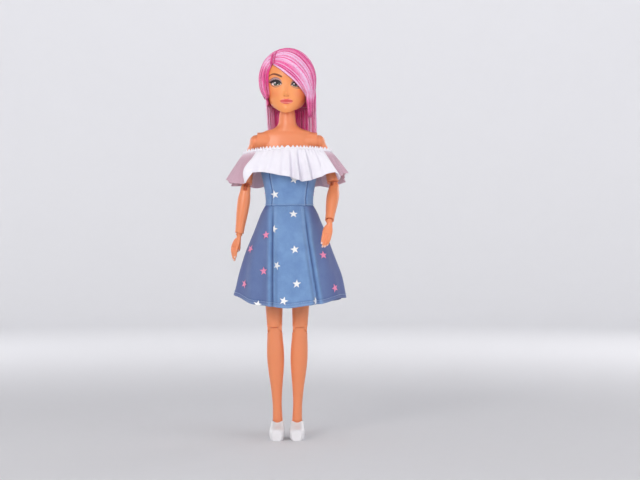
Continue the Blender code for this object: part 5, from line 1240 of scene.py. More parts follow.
LASH_BLACK = linear(26, 16, 22)
BROW_BROWN = linear(112, 54, 32)
EYE_WHITE = linear(255, 250, 248)
EYE_BALL = linear(238, 216, 212)
FACE_PAINTED_LIGHT = linear(255, 166, 96)
IRIS_DARK = linear(30, 40, 42)
IRIS_PALE = linear(124, 142, 118)
LID_SILVER = linear(196, 172, 184)
LID_SMOKE = linear(128, 92, 112)
LIP_CORAL = linear(236, 96, 94)
LIP_PALE = linear(248, 154, 142)
BLUSH = linear(250, 122, 88)


def paint_eye(colours, x, z, side):
    """One painted eye; x grows away from the nose."""
    u = x * side
    upper = [(3.3, 15.5), (4.4, 16.6), (5.9, 17.4), (7.8, 17.8), (9.7, 17.5), (11.1, 16.8), (12.1, 16.3)]
    lower = [(3.3, 15.4), (4.6, 14.9), (6.3, 14.3), (8.0, 14.15), (9.7, 14.5), (11.1, 15.3), (12.1, 16.1)]
    lid_top = [(3.4, 17.6), (5.6, 19.6), (7.9, 20.5), (10.0, 20.3), (12.0, 19.4), (13.4, 18.8)]
    lid_low = [(3.4, 15.8), (5.6, 17.4), (7.9, 18.0), (10.0, 17.6), (12.0, 16.6), (13.4, 17.2)]
    colours = over(colours, LID_SMOKE, band(u, z, lid_low, lid_top, 0.8) * 0.62)
    colours = over(colours, LID_SILVER, band(u, z, [(p[0], p[1] + 1.0) for p in lid_low],
                                             [(p[0], p[1] - 0.5) for p in lid_top], 0.6) * 0.7)
    opening = band(u, z, lower, upper, 0.15)
    colours = over(colours, EYE_BALL, opening)
    middle = side * 7.1
    colours = over(colours, IRIS_DARK, blob(x, z, middle, 16.1, 2.7, 2.6) * opening)
    ring = blob(x, z, middle, 15.5, 1.85, 1.5, 0.7)
    spokes = 0.6 + 0.4 * np.sin(np.arctan2(z - 16.0, x - middle) * 22.0)
    colours = over(colours, IRIS_PALE, ring * opening * spokes * 0.75)
    colours = over(colours, LASH_BLACK, blob(x, z, middle, 16.3, 1.25, 1.3) * opening)
    colours = over(colours, LASH_BLACK, opening * smooth(z - line_at(u, upper), -1.3, -0.3) * 0.85)
    colours = over(colours, EYE_WHITE, blob(x, z, middle - 1.5, 16.5, 0.55, 0.5))
    colours = over(colours, EYE_WHITE, blob(x, z, middle + 0.7, 15.0, 0.40, 0.36) * 0.8)
    colours = over(colours, EYE_WHITE, blob(x, z, side * 10.2, 15.7, 0.6, 0.45) * opening * 0.8)
    lash = [(3.2, 15.4, 0.16), (4.3, 16.8, 0.38), (5.9, 17.8, 0.66), (7.9, 18.1, 0.80), (9.9, 17.8, 0.82),
            (11.5, 17.1, 0.66), (12.7, 17.1, 0.34), (13.7, 17.8, 0.06)]
    crease = [(3.6, 17.4, 0.05), (5.4, 19.3, 0.16), (8.0, 20.2, 0.22), (10.6, 19.8, 0.20), (12.8, 18.6, 0.06)]
    colours = over(colours, LID_SMOKE, stroke(u, z, crease, 0.2) * 0.8)
    colours = over(colours, LASH_BLACK, stroke(u, z, lash, 0.12))
    for start, end in (((9.0, 18.3), (10.6, 19.9)), ((10.2, 18.0), (12.0, 19.2)),
                       ((11.2, 17.5), (13.2, 18.7)),
                       ((7.6, 18.5), (8.7, 20.0))):
        line = [(*start, 0.20), ((start[0] + end[0]) / 2 + 0.25, (start[1] + end[1]) / 2 - 0.12, 0.13),
                (*end, 0.03)]
        colours = over(colours, LASH_BLACK, stroke(u, z, line, 0.10))
    under = [(3.6, 15.0, 0.08), (5.2, 14.0, 0.16), (7.4, 13.4, 0.22), (9.6, 13.7, 0.24), (11.6, 15.3, 0.18)]
    colours = over(colours, LID_SMOKE, stroke(u, z, under, 0.25) * 0.9)
    colours = over(colours, LASH_BLACK, stroke(u, z,
                                               [(8.2, 13.4, 0.05), (10.0, 13.9, 0.15), (11.9, 15.9, 0.24)],
                                               0.12) * 0.85)
    brow = [(3.7, 20.9, 0.60), (5.6, 21.8, 0.74), (8.0, 22.7, 0.66), (10.2, 22.9, 0.54), (12.3, 22.2, 0.40),
            (13.5, 21.3, 0.12)]
    return over(colours, BROW_BROWN, stroke(u, z, brow, 0.20))


def paint_face(x, y, z):
    """Colours of the head's skin from points in its own frame, in millimetres."""
    x, z = x - FACE_SHIFT[0], z - FACE_SHIFT[1]
    colours = np.zeros((len(x), 4))
    front = (y < 0).astype(float)
    # Painted light: the front of the head is painted brighter and warmer than its sides and back
    colours = over(colours, FACE_PAINTED_LIGHT, 0.8 * smooth(-y, 2.0, 10.0))
    for side in (1, -1):
        cheek = np.exp(-((x - side * 8.6) / 3.4) ** 2 - ((z - 8.2) / 2.9) ** 2)
        colours = over(colours, BLUSH, cheek * 0.30 * front)
        colours = paint_eye(colours, x, np.where(y < 0, z + (EYE_DROP if side > 0 else 0.0), 99.0), side)
        # Painted shade in the nostrils
        colours = over(colours, linear(184, 96, 62),
                       blob(x, z, side * 1.45, 6.6, 0.6, 0.30, 0.3) * 0.7 * front)
    # Painted shadow under the nose
    colours = over(colours, linear(206, 112, 74), blob(x, z, 0.0, 6.45, 1.5, 0.35, 0.5) * 0.45 * front)
    x = x / 1.08
    lip_mid = [(-4.6, 2.95), (-3.0, 2.75), (-1.2, 2.85), (0.0, 2.65), (1.2, 2.85), (3.0, 2.75), (4.6, 2.95)]
    lip_top = [(-4.6, 3.05), (-3.2, 3.9), (-1.3, 4.75), (0.0, 4.25), (1.3, 4.75), (3.2, 3.9), (4.6, 3.05)]
    lip_low = [(-4.6, 2.85), (-3.2, 1.55), (-1.4, 0.85), (0.0, 0.72), (1.4, 0.85), (3.2, 1.55), (4.6, 2.85)]
    shade = over(colours, LIP_CORAL, band(x, z, lip_mid, lip_top, 0.16) * front)
    shade = over(shade, LIP_CORAL, band(x, z, lip_low, lip_mid, 0.16) * front)
    for cx, cz, rx, rz, much in ((0.2, 1.8, 1.9, 0.42, 0.5), (2.2, 1.7, 1.6, 0.5, 0.75),
                                 (-2.4, 1.9, 1.4, 0.45, 0.65),
                                 (-2.2, 3.9, 1.1, 0.45, 0.65), (2.2, 3.9, 1.1, 0.42, 0.55)):
        shade = over(shade, LIP_PALE, blob(x, z, cx, cz, rx, rz, 0.9) * much * front)
    seam = stroke(x, z, [(-4.5, 3.0, 0.05), (-1.5, 2.8, 0.12), (0.0, 2.62, 0.14), (1.5, 2.8, 0.12),
                         (4.5, 3.0, 0.05)],
                  0.12)
    return over(shade, linear(166, 48, 52), seam * 0.85 * front)


def build_head():
    angles = []
    # Columns crowd towards the face, where the paint needs them
    for k in range(HEAD_COLUMNS):
        t = 2.0 * k / HEAD_COLUMNS - 1.0
        angles.append(math.pi * (0.42 * t + 0.58 * t ** 3))
    table = np.array([[head_point(a, share) for a in angles]
                      for share in np.linspace(0.0, 1.0, HEAD_HEIGHTS)])
    front = table[:, :, 1] < 0
    x, z = table[:, :, 0] / MM, table[:, :, 2] / MM
    push = np.zeros_like(x)
    for cx, cz, rx, rz, height in FACE_BUMPS:
        push += height * np.exp(-((x - FACE_SHIFT[0] - cx) / rx) ** 2 - ((z - FACE_SHIFT[1] - cz) / rz) ** 2)
    table[:, :, 1] -= np.where(front, push, 0.0) * MM
    blank = solid("head blank", [[Vector(p) for p in ring] for ring in table])
    combine(blank, rod("neck opening", HEAD_HOLE_RADIUS, (0.0, 0.0, -HEAD_HEIGHT / 2),
                       (0.0, 0.0, -HEAD_CEILING), 64))
    combine(blank, ball("knob socket", KNOB_RADIUS + SOCKET_GAP, (0.0, 0.0, 0.0), SMOOTH_BALL))
    made = settle(blank, "head_skin", None, 60.0)
    points = mesh_points(made.data) / MM
    set_paint(made.data, paint_face(points[:, 0], points[:, 1], points[:, 2]))
    made.data.transform(HEAD_PLACE)
    dress_piece(made, "skin", "head", ["head_shell"])


# Hair

PINK_DEEP = np.array(linear(184, 28, 100)[:3])
PINK_MID = np.array(linear(248, 72, 160)[:3])
PINK_PALE = np.array(linear(255, 214, 246)[:3])
HAIR_CENTRE = Vector((0.0, 0.0, 18.2 * MM))
HAIR_RADII = (21.3, 20.0, 24.2)
STRAND_SIDES = 5


class Strands:
    """Many tapered flat strands gathered into one mesh, each with its own tone."""

    def __init__(self, name, seed):
        self.name = name
        self.chance = np.random.default_rng(seed)
        self.verts, self.faces, self.tones = [], [], []

    def add(self, path, width, flat, tone, outward=None):
        """One strand along path; width and tone at each point; flat is its thickness share."""
        path = np.asarray(path, float)
        count = len(path)
        widths = np.broadcast_to(width, count)
        heading = np.gradient(path, axis=0)
        heading /= np.maximum(np.linalg.norm(heading, axis=1)[:, None], 1e-12)
        if outward is None:
            outward = path - np.array(HAIR_CENTRE)
        outward = np.broadcast_to(outward, path.shape)
        out = outward - heading * np.sum(outward * heading, axis=1)[:, None]
        out /= np.maximum(np.linalg.norm(out, axis=1)[:, None], 1e-12)
        across = np.cross(heading, out)
        start = sum(len(v) for v in self.verts)
        rings = []
        for k in range(STRAND_SIDES):
            turn = math.tau * k / STRAND_SIDES
            rings.append(path + (across * math.cos(turn) + out * (math.sin(turn) * flat)) * widths[:, None])
        self.verts.append(np.stack(rings, axis=1).reshape(-1, 3))
        for i in range(count - 1):
            for k in range(STRAND_SIDES):
                m = (k + 1) % STRAND_SIDES
                a, b = start + i * STRAND_SIDES, start + (i + 1) * STRAND_SIDES
                self.faces.append((a + k, a + m, b + m, b + k))
        self.faces.append(tuple(start + k for k in range(STRAND_SIDES - 1, -1, -1)))
        last = start + (count - 1) * STRAND_SIDES
        self.faces.append(tuple(last + k for k in range(STRAND_SIDES)))
        along = np.linspace(0.0, 1.0, count)
        value = np.clip(np.broadcast_to(tone, count), -0.8, 1.0)[:, None]
        colour = np.where(value < 0.5, PINK_DEEP + (PINK_MID - PINK_DEEP) * np.maximum(value, 0.0) * 2,
                          PINK_MID + (PINK_PALE - PINK_MID) * (value * 2 - 1)) * np.minimum(1.0, 1.0 + value)
        # Painted shade: each strand darkens a little towards its end
        colour = colour * (1.0 - 0.10 * along[:, None])
        full = np.concatenate([colour, np.ones((count, 1))], axis=1)
        self.tones.append(np.repeat(full, STRAND_SIDES, axis=0))

    def finish(self):
        mesh = make_mesh(self.name, np.concatenate(self.verts).tolist(), self.faces)
        set_paint(mesh, np.concatenate(self.tones))
        mesh.transform(HEAD_PLACE)
        mesh.shade_smooth()
        return temporary(self.name, mesh)


def curve_through(points, count):
    """Evenly spaced points on a smooth curve."""
    path = np.array(refine(points, 8))
    reach = running_length(path)
    at = np.linspace(0.0, reach[-1], count)
    return np.stack([np.interp(at, reach, path[:, k]) for k in range(path.shape[1])], axis=1)


HAIR_FRONT_RADIUS = 18.2
PART_GROOVE = 0.8
HAIR_BACK_RADIUS = 20.3
HAIR_WIDTHS = ((-30.0, 15.5, 19.6), (-4.0, 15.8, 20.4), (2.0, 16.2, 19.9), (5.7, 17.6, 20.3),
               (9.4, 19.6, 20.7),
               (14.2, 21.0, 21.3), (18.2, 21.3, 21.4))
PART_LINE = ((-0.462, -0.745, 0.480), (-0.455, -0.560, 0.690), (-0.400, -0.300, 0.865),
             (-0.300, 0.030, 0.955),
             (-0.180, 0.330, 0.925), (-0.080, 0.560, 0.825))


def hair_surface(direction, lift=0.0):
    """Hair's outer skin in the head's frame: an egg above the brow, hanging straight below it."""
    d = np.asarray(direction, float)
    d = d / np.linalg.norm(d)
    middle = HAIR_CENTRE.z / MM
    z = middle + (HAIR_RADII[2] + lift) * d[2]
    flat = d[:2] if d[2] >= 0 else d[:2] / max(np.hypot(d[0], d[1]), 1e-6)
    table = np.array(HAIR_WIDTHS)
    half = np.interp(min(z, middle), table[:, 0], table[:, 1 if flat[0] < 0 else 2])
    deep = HAIR_FRONT_RADIUS if flat[1] < 0 else HAIR_BACK_RADIUS
    return np.array(((half + lift) * flat[0], (deep + lift) * flat[1], z))


def arc_between(start, end, count):
    """Unit directions from one to the other round the ball."""
    a, b = (np.asarray(v, float) / np.linalg.norm(v) for v in (start, end))
    angle = math.acos(float(np.clip(a @ b, -1.0, 1.0)))
    t = np.linspace(0.0, 1.0, count)[:, None]
    return (np.sin((1 - t) * angle) * a + np.sin(t * angle) * b) / max(math.sin(angle), 1e-6)


def part_direction(share):
    table = np.array(PART_LINE)
    at = share * (len(table) - 1)
    d = along_path(at, range(len(table)), table)
    return d / np.linalg.norm(d)


def front_point(x, z, lift=0.0):
    """A point of the hair's skin seen from the front at x and z."""
    middle = HAIR_CENTRE.z / MM
    table = np.array(HAIR_WIDTHS)
    half = np.interp(min(z, middle), table[:, 0], table[:, 1 if x < 0 else 2]) + lift
    high = max(z - middle, 0.0) / (HAIR_RADII[2] + lift)
    inside = 1.0 - (x / half) ** 2 - high ** 2
    return np.array((x, -(HAIR_FRONT_RADIUS + lift) * math.sqrt(max(inside, 0.0)), z))


def add_slab(strands, grid, depth, tone):
    """A closed thin body under the strands, from grid[i][j] points in metres."""
    grid = np.array(grid, float)
    rows, columns = grid.shape[:2]
    centre = np.array(HAIR_CENTRE)
    inward = centre - grid
    inward /= np.linalg.norm(inward, axis=2)[:, :, None]
    both = np.concatenate([grid.reshape(-1, 3), (grid + inward * depth).reshape(-1, 3)])
    start = sum(len(v) for v in strands.verts)
    strands.verts.append(both)
    under = rows * columns
    for i in range(rows - 1):
        for j in range(columns - 1):
            a = i * columns + j
            quad = (a, a + 1, a + columns + 1, a + columns)
            strands.faces.append(tuple(start + k for k in quad))
            strands.faces.append(tuple(start + under + k for k in quad[::-1]))
    edge = list(range(columns)) + [i * columns + columns - 1 for i in range(1, rows)]
    edge += [(rows - 1) * columns + j for j in range(columns - 2, -1, -1)]
    edge += [i * columns for i in range(rows - 2, 0, -1)]
    for a, b in zip(edge, edge[1:] + edge[:1]):
        strands.faces.append((start + b, start + a, start + under + a, start + under + b))
    colour = PINK_DEEP + (PINK_MID - PINK_DEEP) * tone
    strands.tones.append(np.tile(np.append(colour, 1.0), (2 * under, 1)))


# Where the light catches the swept hair: x and z seen from the front, in millimetres
GLOW_LINE = np.array(((-15.0, 31.0), (-8.5, 35.4), (-3.0, 35.4), (3.5, 33.0), (8.8, 29.0), (12.8, 23.4),
                      (15.3, 17.3), (16.8, 11.0), (17.4, 7.0)))
GLOW_HALF_WIDTH = 4.2
CROWN_GLOW_Z = 35.0


def glow(x, z):
    """The painted highlight: how much paler a strand is at a place seen from the front."""
    best = 99.0
    for start, end in zip(GLOW_LINE, GLOW_LINE[1:]):
        span = end - start
        t = min(max(((x - start[0]) * span[0] + (z - start[1]) * span[1]) / (span @ span), 0.0), 1.0)
        best = min(best, math.hypot(x - start[0] - t * span[0], z - start[1] - t * span[1]))
    patchy = 0.85 + 0.15 * math.sin(0.55 * x + 1.7 * z)
    return 0.46 * patchy * math.exp(-(best / GLOW_HALF_WIDTH) ** 2)


def sheen(z):
    """Paler where the light catches the back of the crown."""
    return 0.26 * math.exp(-((z - CROWN_GLOW_Z) / 6.0) ** 2)


def strand_tone(chance):
    """Most strands are mid pink; some are deep or pale."""
    pick = chance.uniform()
    if pick < 0.16:
        return chance.uniform(0.06, 0.24)
    return chance.uniform(0.62, 0.82) if pick > 0.84 else chance.uniform(0.34, 0.58)


def face_depth(x, z):
    """How far forward the head's skin is at x and z, in millimetres."""
    share = min(max((z * MM + NECK_TO_NOD + CHIN_BELOW_NECK_TOP) / HEAD_HEIGHT, 0.0), 1.0)
    width, front = head_row(share)[:2]
    across = min(abs(x) * MM / (width * HEAD_HALF_WIDTH), 0.98)
    return front * HEAD_HALF_DEPTH / MM * math.sqrt(1.0 - across * across)


def swept_point(x, z, lift, v, hug, stand_off):
    """Front hair lies near the face along its edge and rises to the outer shape."""
    point = front_point(x, z, lift)
    share = float(smooth(v, -0.02, hug))
    close = -(face_depth(x, z) + stand_off * (0.35 + 0.65 * float(smooth(z, 6.0, 14.0))) + max(lift, -0.6))
    point[1] = close + (point[1] - close) * share
    return point


FRINGE_LOW = ((-9.9, 29.4), (-6.3, 27.1), (-2.2, 24.3), (1.8, 21.1), (5.0, 18.6), (7.8, 15.8), (10.7, 12.6),
              (12.3, 10.2), (13.9, 7.8), (14.7, 4.9), (14.6, 2.4), (15.4, -3.0), (16.2, -10.5))
FRINGE_HIGH = ((-9.4, 37.6), (-5.0, 40.6), (-0.2, 42.0), (5.2, 41.2), (10.6, 38.3), (15.0, 33.9),
               (18.6, 28.6),
               (20.6, 23.0), (21.3, 17.4), (20.9, 11.6), (20.2, 6.0), (19.8, 0.0), (20.2, -10.5))
LOCK_IN = ((-9.9, 30.2), (-11.5, 27.3), (-13.1, 23.5), (-13.5, 17.8), (-13.3, 12.2), (-12.9, 7.6),
           (-13.0, 4.6))
LOCK_OUT = ((-9.6, 37.4), (-14.2, 34.2), (-18.2, 28.6), (-20.6, 21.8), (-20.6, 14.6), (-18.7, 8.6),
            (-13.9, 3.6))


def sweep_family(name, seed, low, high, count, samples, width, hug, stand_off, ends, replaced, dark_gap=None):
    """Strands between a lower and an upper curve seen from the front, over a slab of hair."""
    strands = Strands(name, seed)
    chance = strands.chance
    low_path, high_path = curve_through(low, samples), curve_through(high, samples)
    grid = []
    for v in np.linspace(0.0, 1.0, 15):
        path = low_path + (high_path - low_path) * v
        grid.append([swept_point(x, z, -0.6, v, hug, stand_off) * MM for x,
                     z in path[:round(samples * ends)]])
    add_slab(strands, grid, 0.9 * MM, 0.12)
    for number in range(count):
        v = (number + chance.uniform(0.0, 1.0)) / count
        shade = dark_gap and dark_gap[0] < v < dark_gap[1]
        drift = chance.normal(0.0, 0.018)
        lift = chance.uniform(-0.35, 0.35)
        wave = chance.uniform(-0.35, 0.35)
        if shade:
            drift, lift, wave = 0.0, -0.4, 0.0
        tone = 0.95 if dark_gap and dark_gap[0] - 0.03 < v < dark_gap[0] else strand_tone(chance)
        points, tones = [], []
        reach = chance.uniform(ends, 1.0)
        for k in range(samples):
            t = k / (samples - 1)
            at = min(max(v + drift * math.sin(t * 2.6), -0.01), 1.02)
            x, z = [np.interp(t * reach * (samples - 1), range(samples), low_path[:, c] + (high_path[:, c]
                    - low_path[:, c]) * at) for c in (0, 1)]
            rise = lift * math.sin(math.pi * min(1.0, t * 1.2 + 0.1)) + wave * math.sin(t * 5.0) * 0.5
            rise -= PART_GROOVE * math.exp(-(t / 0.07) ** 2)
            points.append(swept_point(x, z, rise, at, hug, stand_off) * MM)
            # Painted highlight where the light catches the fringe; painted shade near each root and on the
            # lower ends
            tones.append(tone + glow(x, z) - 0.14 * math.exp(-(t / 0.05) ** 2)
                         - 0.20 * float(smooth(6.0 - z, 0.0, 7.0)))
            # Strands in the dark gap are painted nearly black: a painted shadow between two locks
            if shade:
                tones[-1] = tones[-1] + (-0.7 - tones[-1]) * math.sin(math.pi
                                                                      * min(max((t - 0.28) / 0.42, 0.0), 1.0))
        t = np.linspace(0.0, 1.0, samples)
        taper = np.minimum(1.0, 0.45 + t * 4.0) * np.minimum(1.0, 0.25 + (1.0 - t) * 5.0)
        strands.add(points, width * MM * chance.uniform(0.7, 1.2) * taper, 0.55, np.array(tones))
    made = strands.finish()
    dress_piece(made, "hair", "head", replaced)
    return made


CROWN_STRANDS = 520
CROWN_ROOTS = 70


def build_crown():
    """Top, sides and back of the hair, combed down from the part."""
    strands = Strands("crown_of_hair", 11)
    chance = strands.chance
    rows, columns = 27, 48
    grid = []
    for i in range(rows):
        tilt = math.pi * 0.5 - (math.pi * 0.5 + 0.95) * i / (rows - 1)
        ring = []
        for j in range(columns + 1):
            turn = math.radians(-22.0) + math.radians(224.0) * j / columns
            ring.append(hair_surface((math.cos(turn) * math.cos(tilt), math.sin(turn) * math.cos(tilt),
                                      math.sin(tilt)), -0.8) * MM)
        grid.append(ring)
    add_slab(strands, grid, 1.2 * MM, 0.25)
    samples = 19
    for number in range(CROWN_STRANDS):
        share = chance.uniform(0.30, 1.0)
        right = number % 100 < 55
        start = part_direction(share)
        spread = share + chance.normal(0.0, 0.03)
        ends = (-6.0, 12.0, 50.0, 98.0) if right else (186.0, 172.0, 140.0, 96.0)
        turn = math.radians(np.interp(spread, (0.30, 0.5, 0.75, 1.0), ends))
        drop = chance.uniform(-0.86, -0.62) if right else chance.uniform(-0.74, -0.56)
        if not right:
            drop += 0.16 * (math.cos(turn) < -0.9)
        level = math.sqrt(1.0 - drop ** 2)
        end = (math.cos(turn) * level, math.sin(turn) * level, drop)
        brow = (math.cos(turn) * 0.88, math.sin(turn) * 0.88, 0.47)
        lift = chance.uniform(-0.45, 0.30)
        points = []
        arc = np.concatenate([arc_between(start, brow, 10), arc_between(brow, end, 10)[1:]])
        for k, d in enumerate(arc):
            t = k / (samples - 1)
            points.append(hair_surface(d, lift * math.sin(math.pi * min(1.0, 0.15 + t)) - 0.15) * MM)
        tone = strand_tone(chance)
        tones = np.array([tone + sheen(p[2] / MM) for p in points])
        t = np.linspace(0.0, 1.0, samples)
        taper = np.minimum(1.0, 0.4 + t * 4.0) * np.minimum(1.0, 0.3 + (1.0 - t) * 4.0)
        strands.add(points, 0.55 * MM * chance.uniform(0.75, 1.25) * taper, 0.5, tones)
    # The scalp shows a little along the part; short roots stand on both sides of it, their darker bases
    # painted shade in the part
    for number in range(CROWN_ROOTS):
        share = (number + 0.5) / CROWN_ROOTS
        base = part_direction(share)
        for side in (1, -1):
            tip = base + np.array((side * 0.10, chance.uniform(-0.02, 0.02), 0.0))
            path = [hair_surface(d, low) * MM for d,
                    low in zip(arc_between(base, tip, 5), (-1.5, -0.8, -0.3, 0.0, 0.1))]
            strands.add(path, 0.34 * MM, 0.5, np.array((0.12, 0.2, 0.3, 0.4, 0.5)))
    dress_piece(strands.finish(), "hair", "head", ["hair_crown"])


BACK_LEFT_X = (-16.6, -15.0, -14.4)
BACK_RIGHT_X = (20.4, 20.2, 19.4)
BACK_STRANDS = 480
BACK_START_Z = 7.0
BACK_END_Z = -59.5
# Heights between which the back hair starts to follow the body
BACK_FOLLOW_Z = (0.2495, 0.2270)
BACK_STARTS = ((0.52, 34.0), (0.72, 28.0), (0.88, 21.0), (0.97, 14.0))


def back_point(u, t, lift):
    """The back hair: u from the viewer's left edge to the right, t from the nape to the tips."""
    z = BACK_START_Z + (BACK_END_Z - BACK_START_Z) * t
    left = np.interp(t, (0.0, 0.5, 1.0), BACK_LEFT_X)
    right = np.interp(t, (0.0, 0.5, 1.0), BACK_RIGHT_X)
    x = left + (right - left) * u
    s = 2.0 * u - 1.0
    wrap = 13.0 * abs(s) ** 2.4 * (1.0 - t) ** 2 * (1.0 if s < 0 else 1.15)
    y = 18.6 - wrap + 1.4 * t - 1.6 * abs(s) ** 6 * t
    return np.array((x, y + lift, z))


def back_path(u, sway, end, lift, samples):
    """One strand of the back hair: over the back of the crown, past its lower edge and down to the tips."""
    first = back_point(u, 0.0, 0.0)
    points = [(first[0] * share, z) for share, z in BACK_STARTS]
    for t in np.linspace(0.0, end, samples):
        points.append(tuple(back_point(min(max(u + sway * math.sin(3.0 * t), 0.0), 1.0), t, 0.0)[[0, 2]]))
    path = []
    for x, z in points:
        t = (z - BACK_START_Z) / (BACK_END_Z - BACK_START_Z)
        hang = back_point((x - first[0]) / 40.0 + u, max(t, 0.0), 0.0)[1] + lift * (1.0 - 0.35 * max(t, 0.0))
        crown = -front_point(x, z, 0.0)[1] * HAIR_BACK_RADIUS / HAIR_FRONT_RADIUS + 0.15 + 0.3 * max(lift,
                                                                                                     0.0)
        share = float(smooth(-z, -2.0, 12.0))
        path.append((x, max(hang, crown) * (1.0 - share) + hang * share, z))
    return np.array(path)


def build_back_hair():
    strands = Strands("back_hair", 23)
    chance = strands.chance
    grid = [[back_point(u, t, 0.6) * MM for u in np.linspace(0.02, 0.98, 29)]
            for t in np.linspace(0.0, 0.97, 19)]
    add_slab(strands, grid, 1.6 * MM, 0.30)
    samples = 12
    for _ in range(BACK_STRANDS):
        u = chance.uniform(0.0, 1.0)
        lift = chance.choice((-1.6, -1.2, 1.4, 2.0)) + chance.uniform(-0.35, 0.35)
        end = chance.uniform(0.93, 1.0)
        sway = chance.normal(0.0, 0.012)
        points = back_path(u, sway, end, lift, samples) * MM
        t = np.linspace(0.0, 1.0, len(points))
        taper = np.minimum(1.0, 0.25 + (1.0 - t) * 4.0) * np.minimum(1.0, 0.3 + t * 5.0)
        # Paler towards both side edges below the nape; painted shade makes it a little darker towards the
        # tips
        tone = strand_tone(chance) + 0.36 * abs(2.0 * u - 1.0) ** 2.5 * smooth(t, 0.2, 0.4) - 0.06 * t
        tone = tone + np.array([sheen(p[2] / MM + 4.0) for p in points])
        strands.add(points, 0.55 * MM * chance.uniform(0.75, 1.3) * taper, 0.5, tone,
                    np.array((0.0, 1.0, 0.0)))
    made = strands.finish()
    dress_piece(made, "hair", "head", ["hair_back"])
    follow(made, [("torso", lambda p: smooth(p[:, 2], *BACK_FOLLOW_Z))])


def follow(made, pulls):
    """Let parts of a soft piece follow other bodies; weights come from the rest places."""
    points = mesh_points(made.data)
    for body, weigh in pulls:
        weights = np.clip(weigh(points), 0.0, 1.0)
        members = made.vertex_groups.new(name=body)
        for index in np.nonzero(weights > 0.002)[0]:
            members.add([int(index)], float(weights[index]), 'REPLACE')
        hook = made.modifiers.new("follow " + body, 'HOOK')
        hook.object = frame["bodies"][body]
        hook.vertex_group = body
        made.modifiers.move(len(made.modifiers) - 1, 0)


# Dress

DENIM = 0.0009
BODICE_TOP_SHARE = 0.655
BODICE_BOTTOM_SHARE = 0.240
SKIRT_HALF_WIDTH = 0.0404
SKIRT_FRONT_DEPTH = 0.0300
SKIRT_BACK_DEPTH = 0.0327
SKIRT_LENGTH = 0.0757
SKIRT_SIDE_LIFT = 0.0080
# How far down the side, and how much of the hem's width is reached there
SKIRT_SPREAD = ((0.0, 0.0), (0.108, 0.225), (0.282, 0.465), (0.471, 0.662), (0.631, 0.79), (0.80, 0.905),
                (1.0, 1.0))
SKIRT_FRONT_RISE = 0.0013
SKIRT_CORNER_LIFT = 0.0026
# How much wider the dress hangs on each side than the body's even shape, down the side, in millimetres
SKIRT_EASE_RIGHT = ((0.0, 0.6), (0.06, -0.2), (0.19, -1.6), (0.31, -2.4), (0.41, -2.0), (0.52, -1.1),
                    (0.70, -0.7),
                    (0.90, -0.3), (1.0, 0.5))
SKIRT_EASE_LEFT = ((0.0, 3.6), (0.06, 3.0), (0.12, 2.2), (0.19, 1.7), (0.31, 1.6), (0.47, 1.7), (0.55, 2.2),
                   (0.65, 3.0), (0.78, 3.9), (1.0, 4.2))
BODICE_EASE = (0.0006, 0.0037)
CLOTH_COLUMNS = 600
STITCH_PITCH = 0.0011
STITCH_RADIUS = 0.00016
DENIM_THICKNESS = 0.0005


def cloth_uv(points, rows_z):
    """Cloth coordinates: running millimetres from the front middle, and height in millimetres."""
    run = cloth_lengths(points)
    columns = len(points[0])
    uv = []
    for i, row in enumerate(run):
        middle = row[columns // 2]
        uv.append([(value - middle, rows_z[i] / MM) for value in row])
    return uv


def ring_angles(columns):
    """Angles that start behind, so the cloth's seam is at the back and the front middle is half way."""
    return [math.pi / 2 - math.tau * k / columns for k in range(columns)]


def stitches(name, path, normals, look, body, length=0.62):
    """A row of short raised threads along a path of points, each leaning on the cloth."""
    path, normals = np.array(path, float), np.array(normals, float)
    reach = running_length(path)
    count = max(1, int(reach[-1] / STITCH_PITCH))
    verts, faces = [], []
    for number in range(count):
        rings = []
        for share, width in ((0.0, 0.35), (0.2, 1.0), (0.8, 1.0), (1.0, 0.35)):
            at = (number + (1.0 - length) / 2 + length * share) * reach[-1] / count
            point, normal = along_path(at, reach, path), along_path(at, reach, normals)
            ahead = along_path(at + 1e-5, reach, path) - point
            if np.linalg.norm(ahead) < 1e-9:
                ahead = point - along_path(at - 1e-5, reach, path)
            ahead /= max(np.linalg.norm(ahead), 1e-12)
            across = np.cross(ahead, normal)
            across /= max(np.linalg.norm(across), 1e-12)
            rings.append([point + (across * c + normal * s) * STITCH_RADIUS * width for c, s in circle(6)])
        start = len(verts)
        verts += [tuple(p) for ring in rings for p in ring]
        faces += ring_faces(4, 6, True, start)
        faces += [tuple(start + k for k in range(6)), tuple(start + 18 + k for k in range(5, -1, -1))]
    mesh = make_mesh(name, verts, faces)
    mesh.shade_smooth()
    return dress_piece(temporary(name, mesh), look, body)


STAR_RADIUS = 0.0033
STAR_NOTCH_SHARE = 0.42
STAR_LIFT = 0.00053
STAR_THICKNESS = 0.00008
STAR_SPACING = 0.0268
PINK_STARS_FROM = 0.0135
PINK_STARS_ABOVE = 0.106
# Printed stars seen from the front: x and z in millimetres, and how far each is turned
BODICE_STARS = ((5.0, 192.3, 14.0), (-9.1, 181.2, -10.0))
SKIRT_STARS = (
    (4.5, 166.7, 4.0), (-9.9, 155.5, 8.0), (-15.5, 151.1, -14.0), (-27.0, 140.7, 12.0), (5.4, 140.3, -6.0),
    (-7.7, 128.4, 20.0), (-17.3, 124.3, -10.0), (26.4, 136.2, 10.0), (-31.5, 114.7, 8.0), (6.9, 114.7, 6.0),
    (35.1, 111.7, -12.0), (-2.7, 102.0, 14.0), (20.9, 102.0, -8.0), (-21.8, 99.4, 6.0),
)
# Stars that a pleat half hides: the x between which each shows
WHOLE_STAR = (-99.0, 99.0)
STAR_CUTS = {(-9.9, 155.5): (-9.7, 99.0), (20.9, 102.0): (-99.0, 21.3)}
SKIRT_BACK_ROWS = (0.10, 0.26, 0.42, 0.58, 0.74, 0.90)
BODICE_BACK_LEVELS = (0.34, 0.55)
BODICE_BACK_ANGLES = (22.0, 62.0, 118.0, 158.0)
SEAM_STITCH_INSET = 0.0011


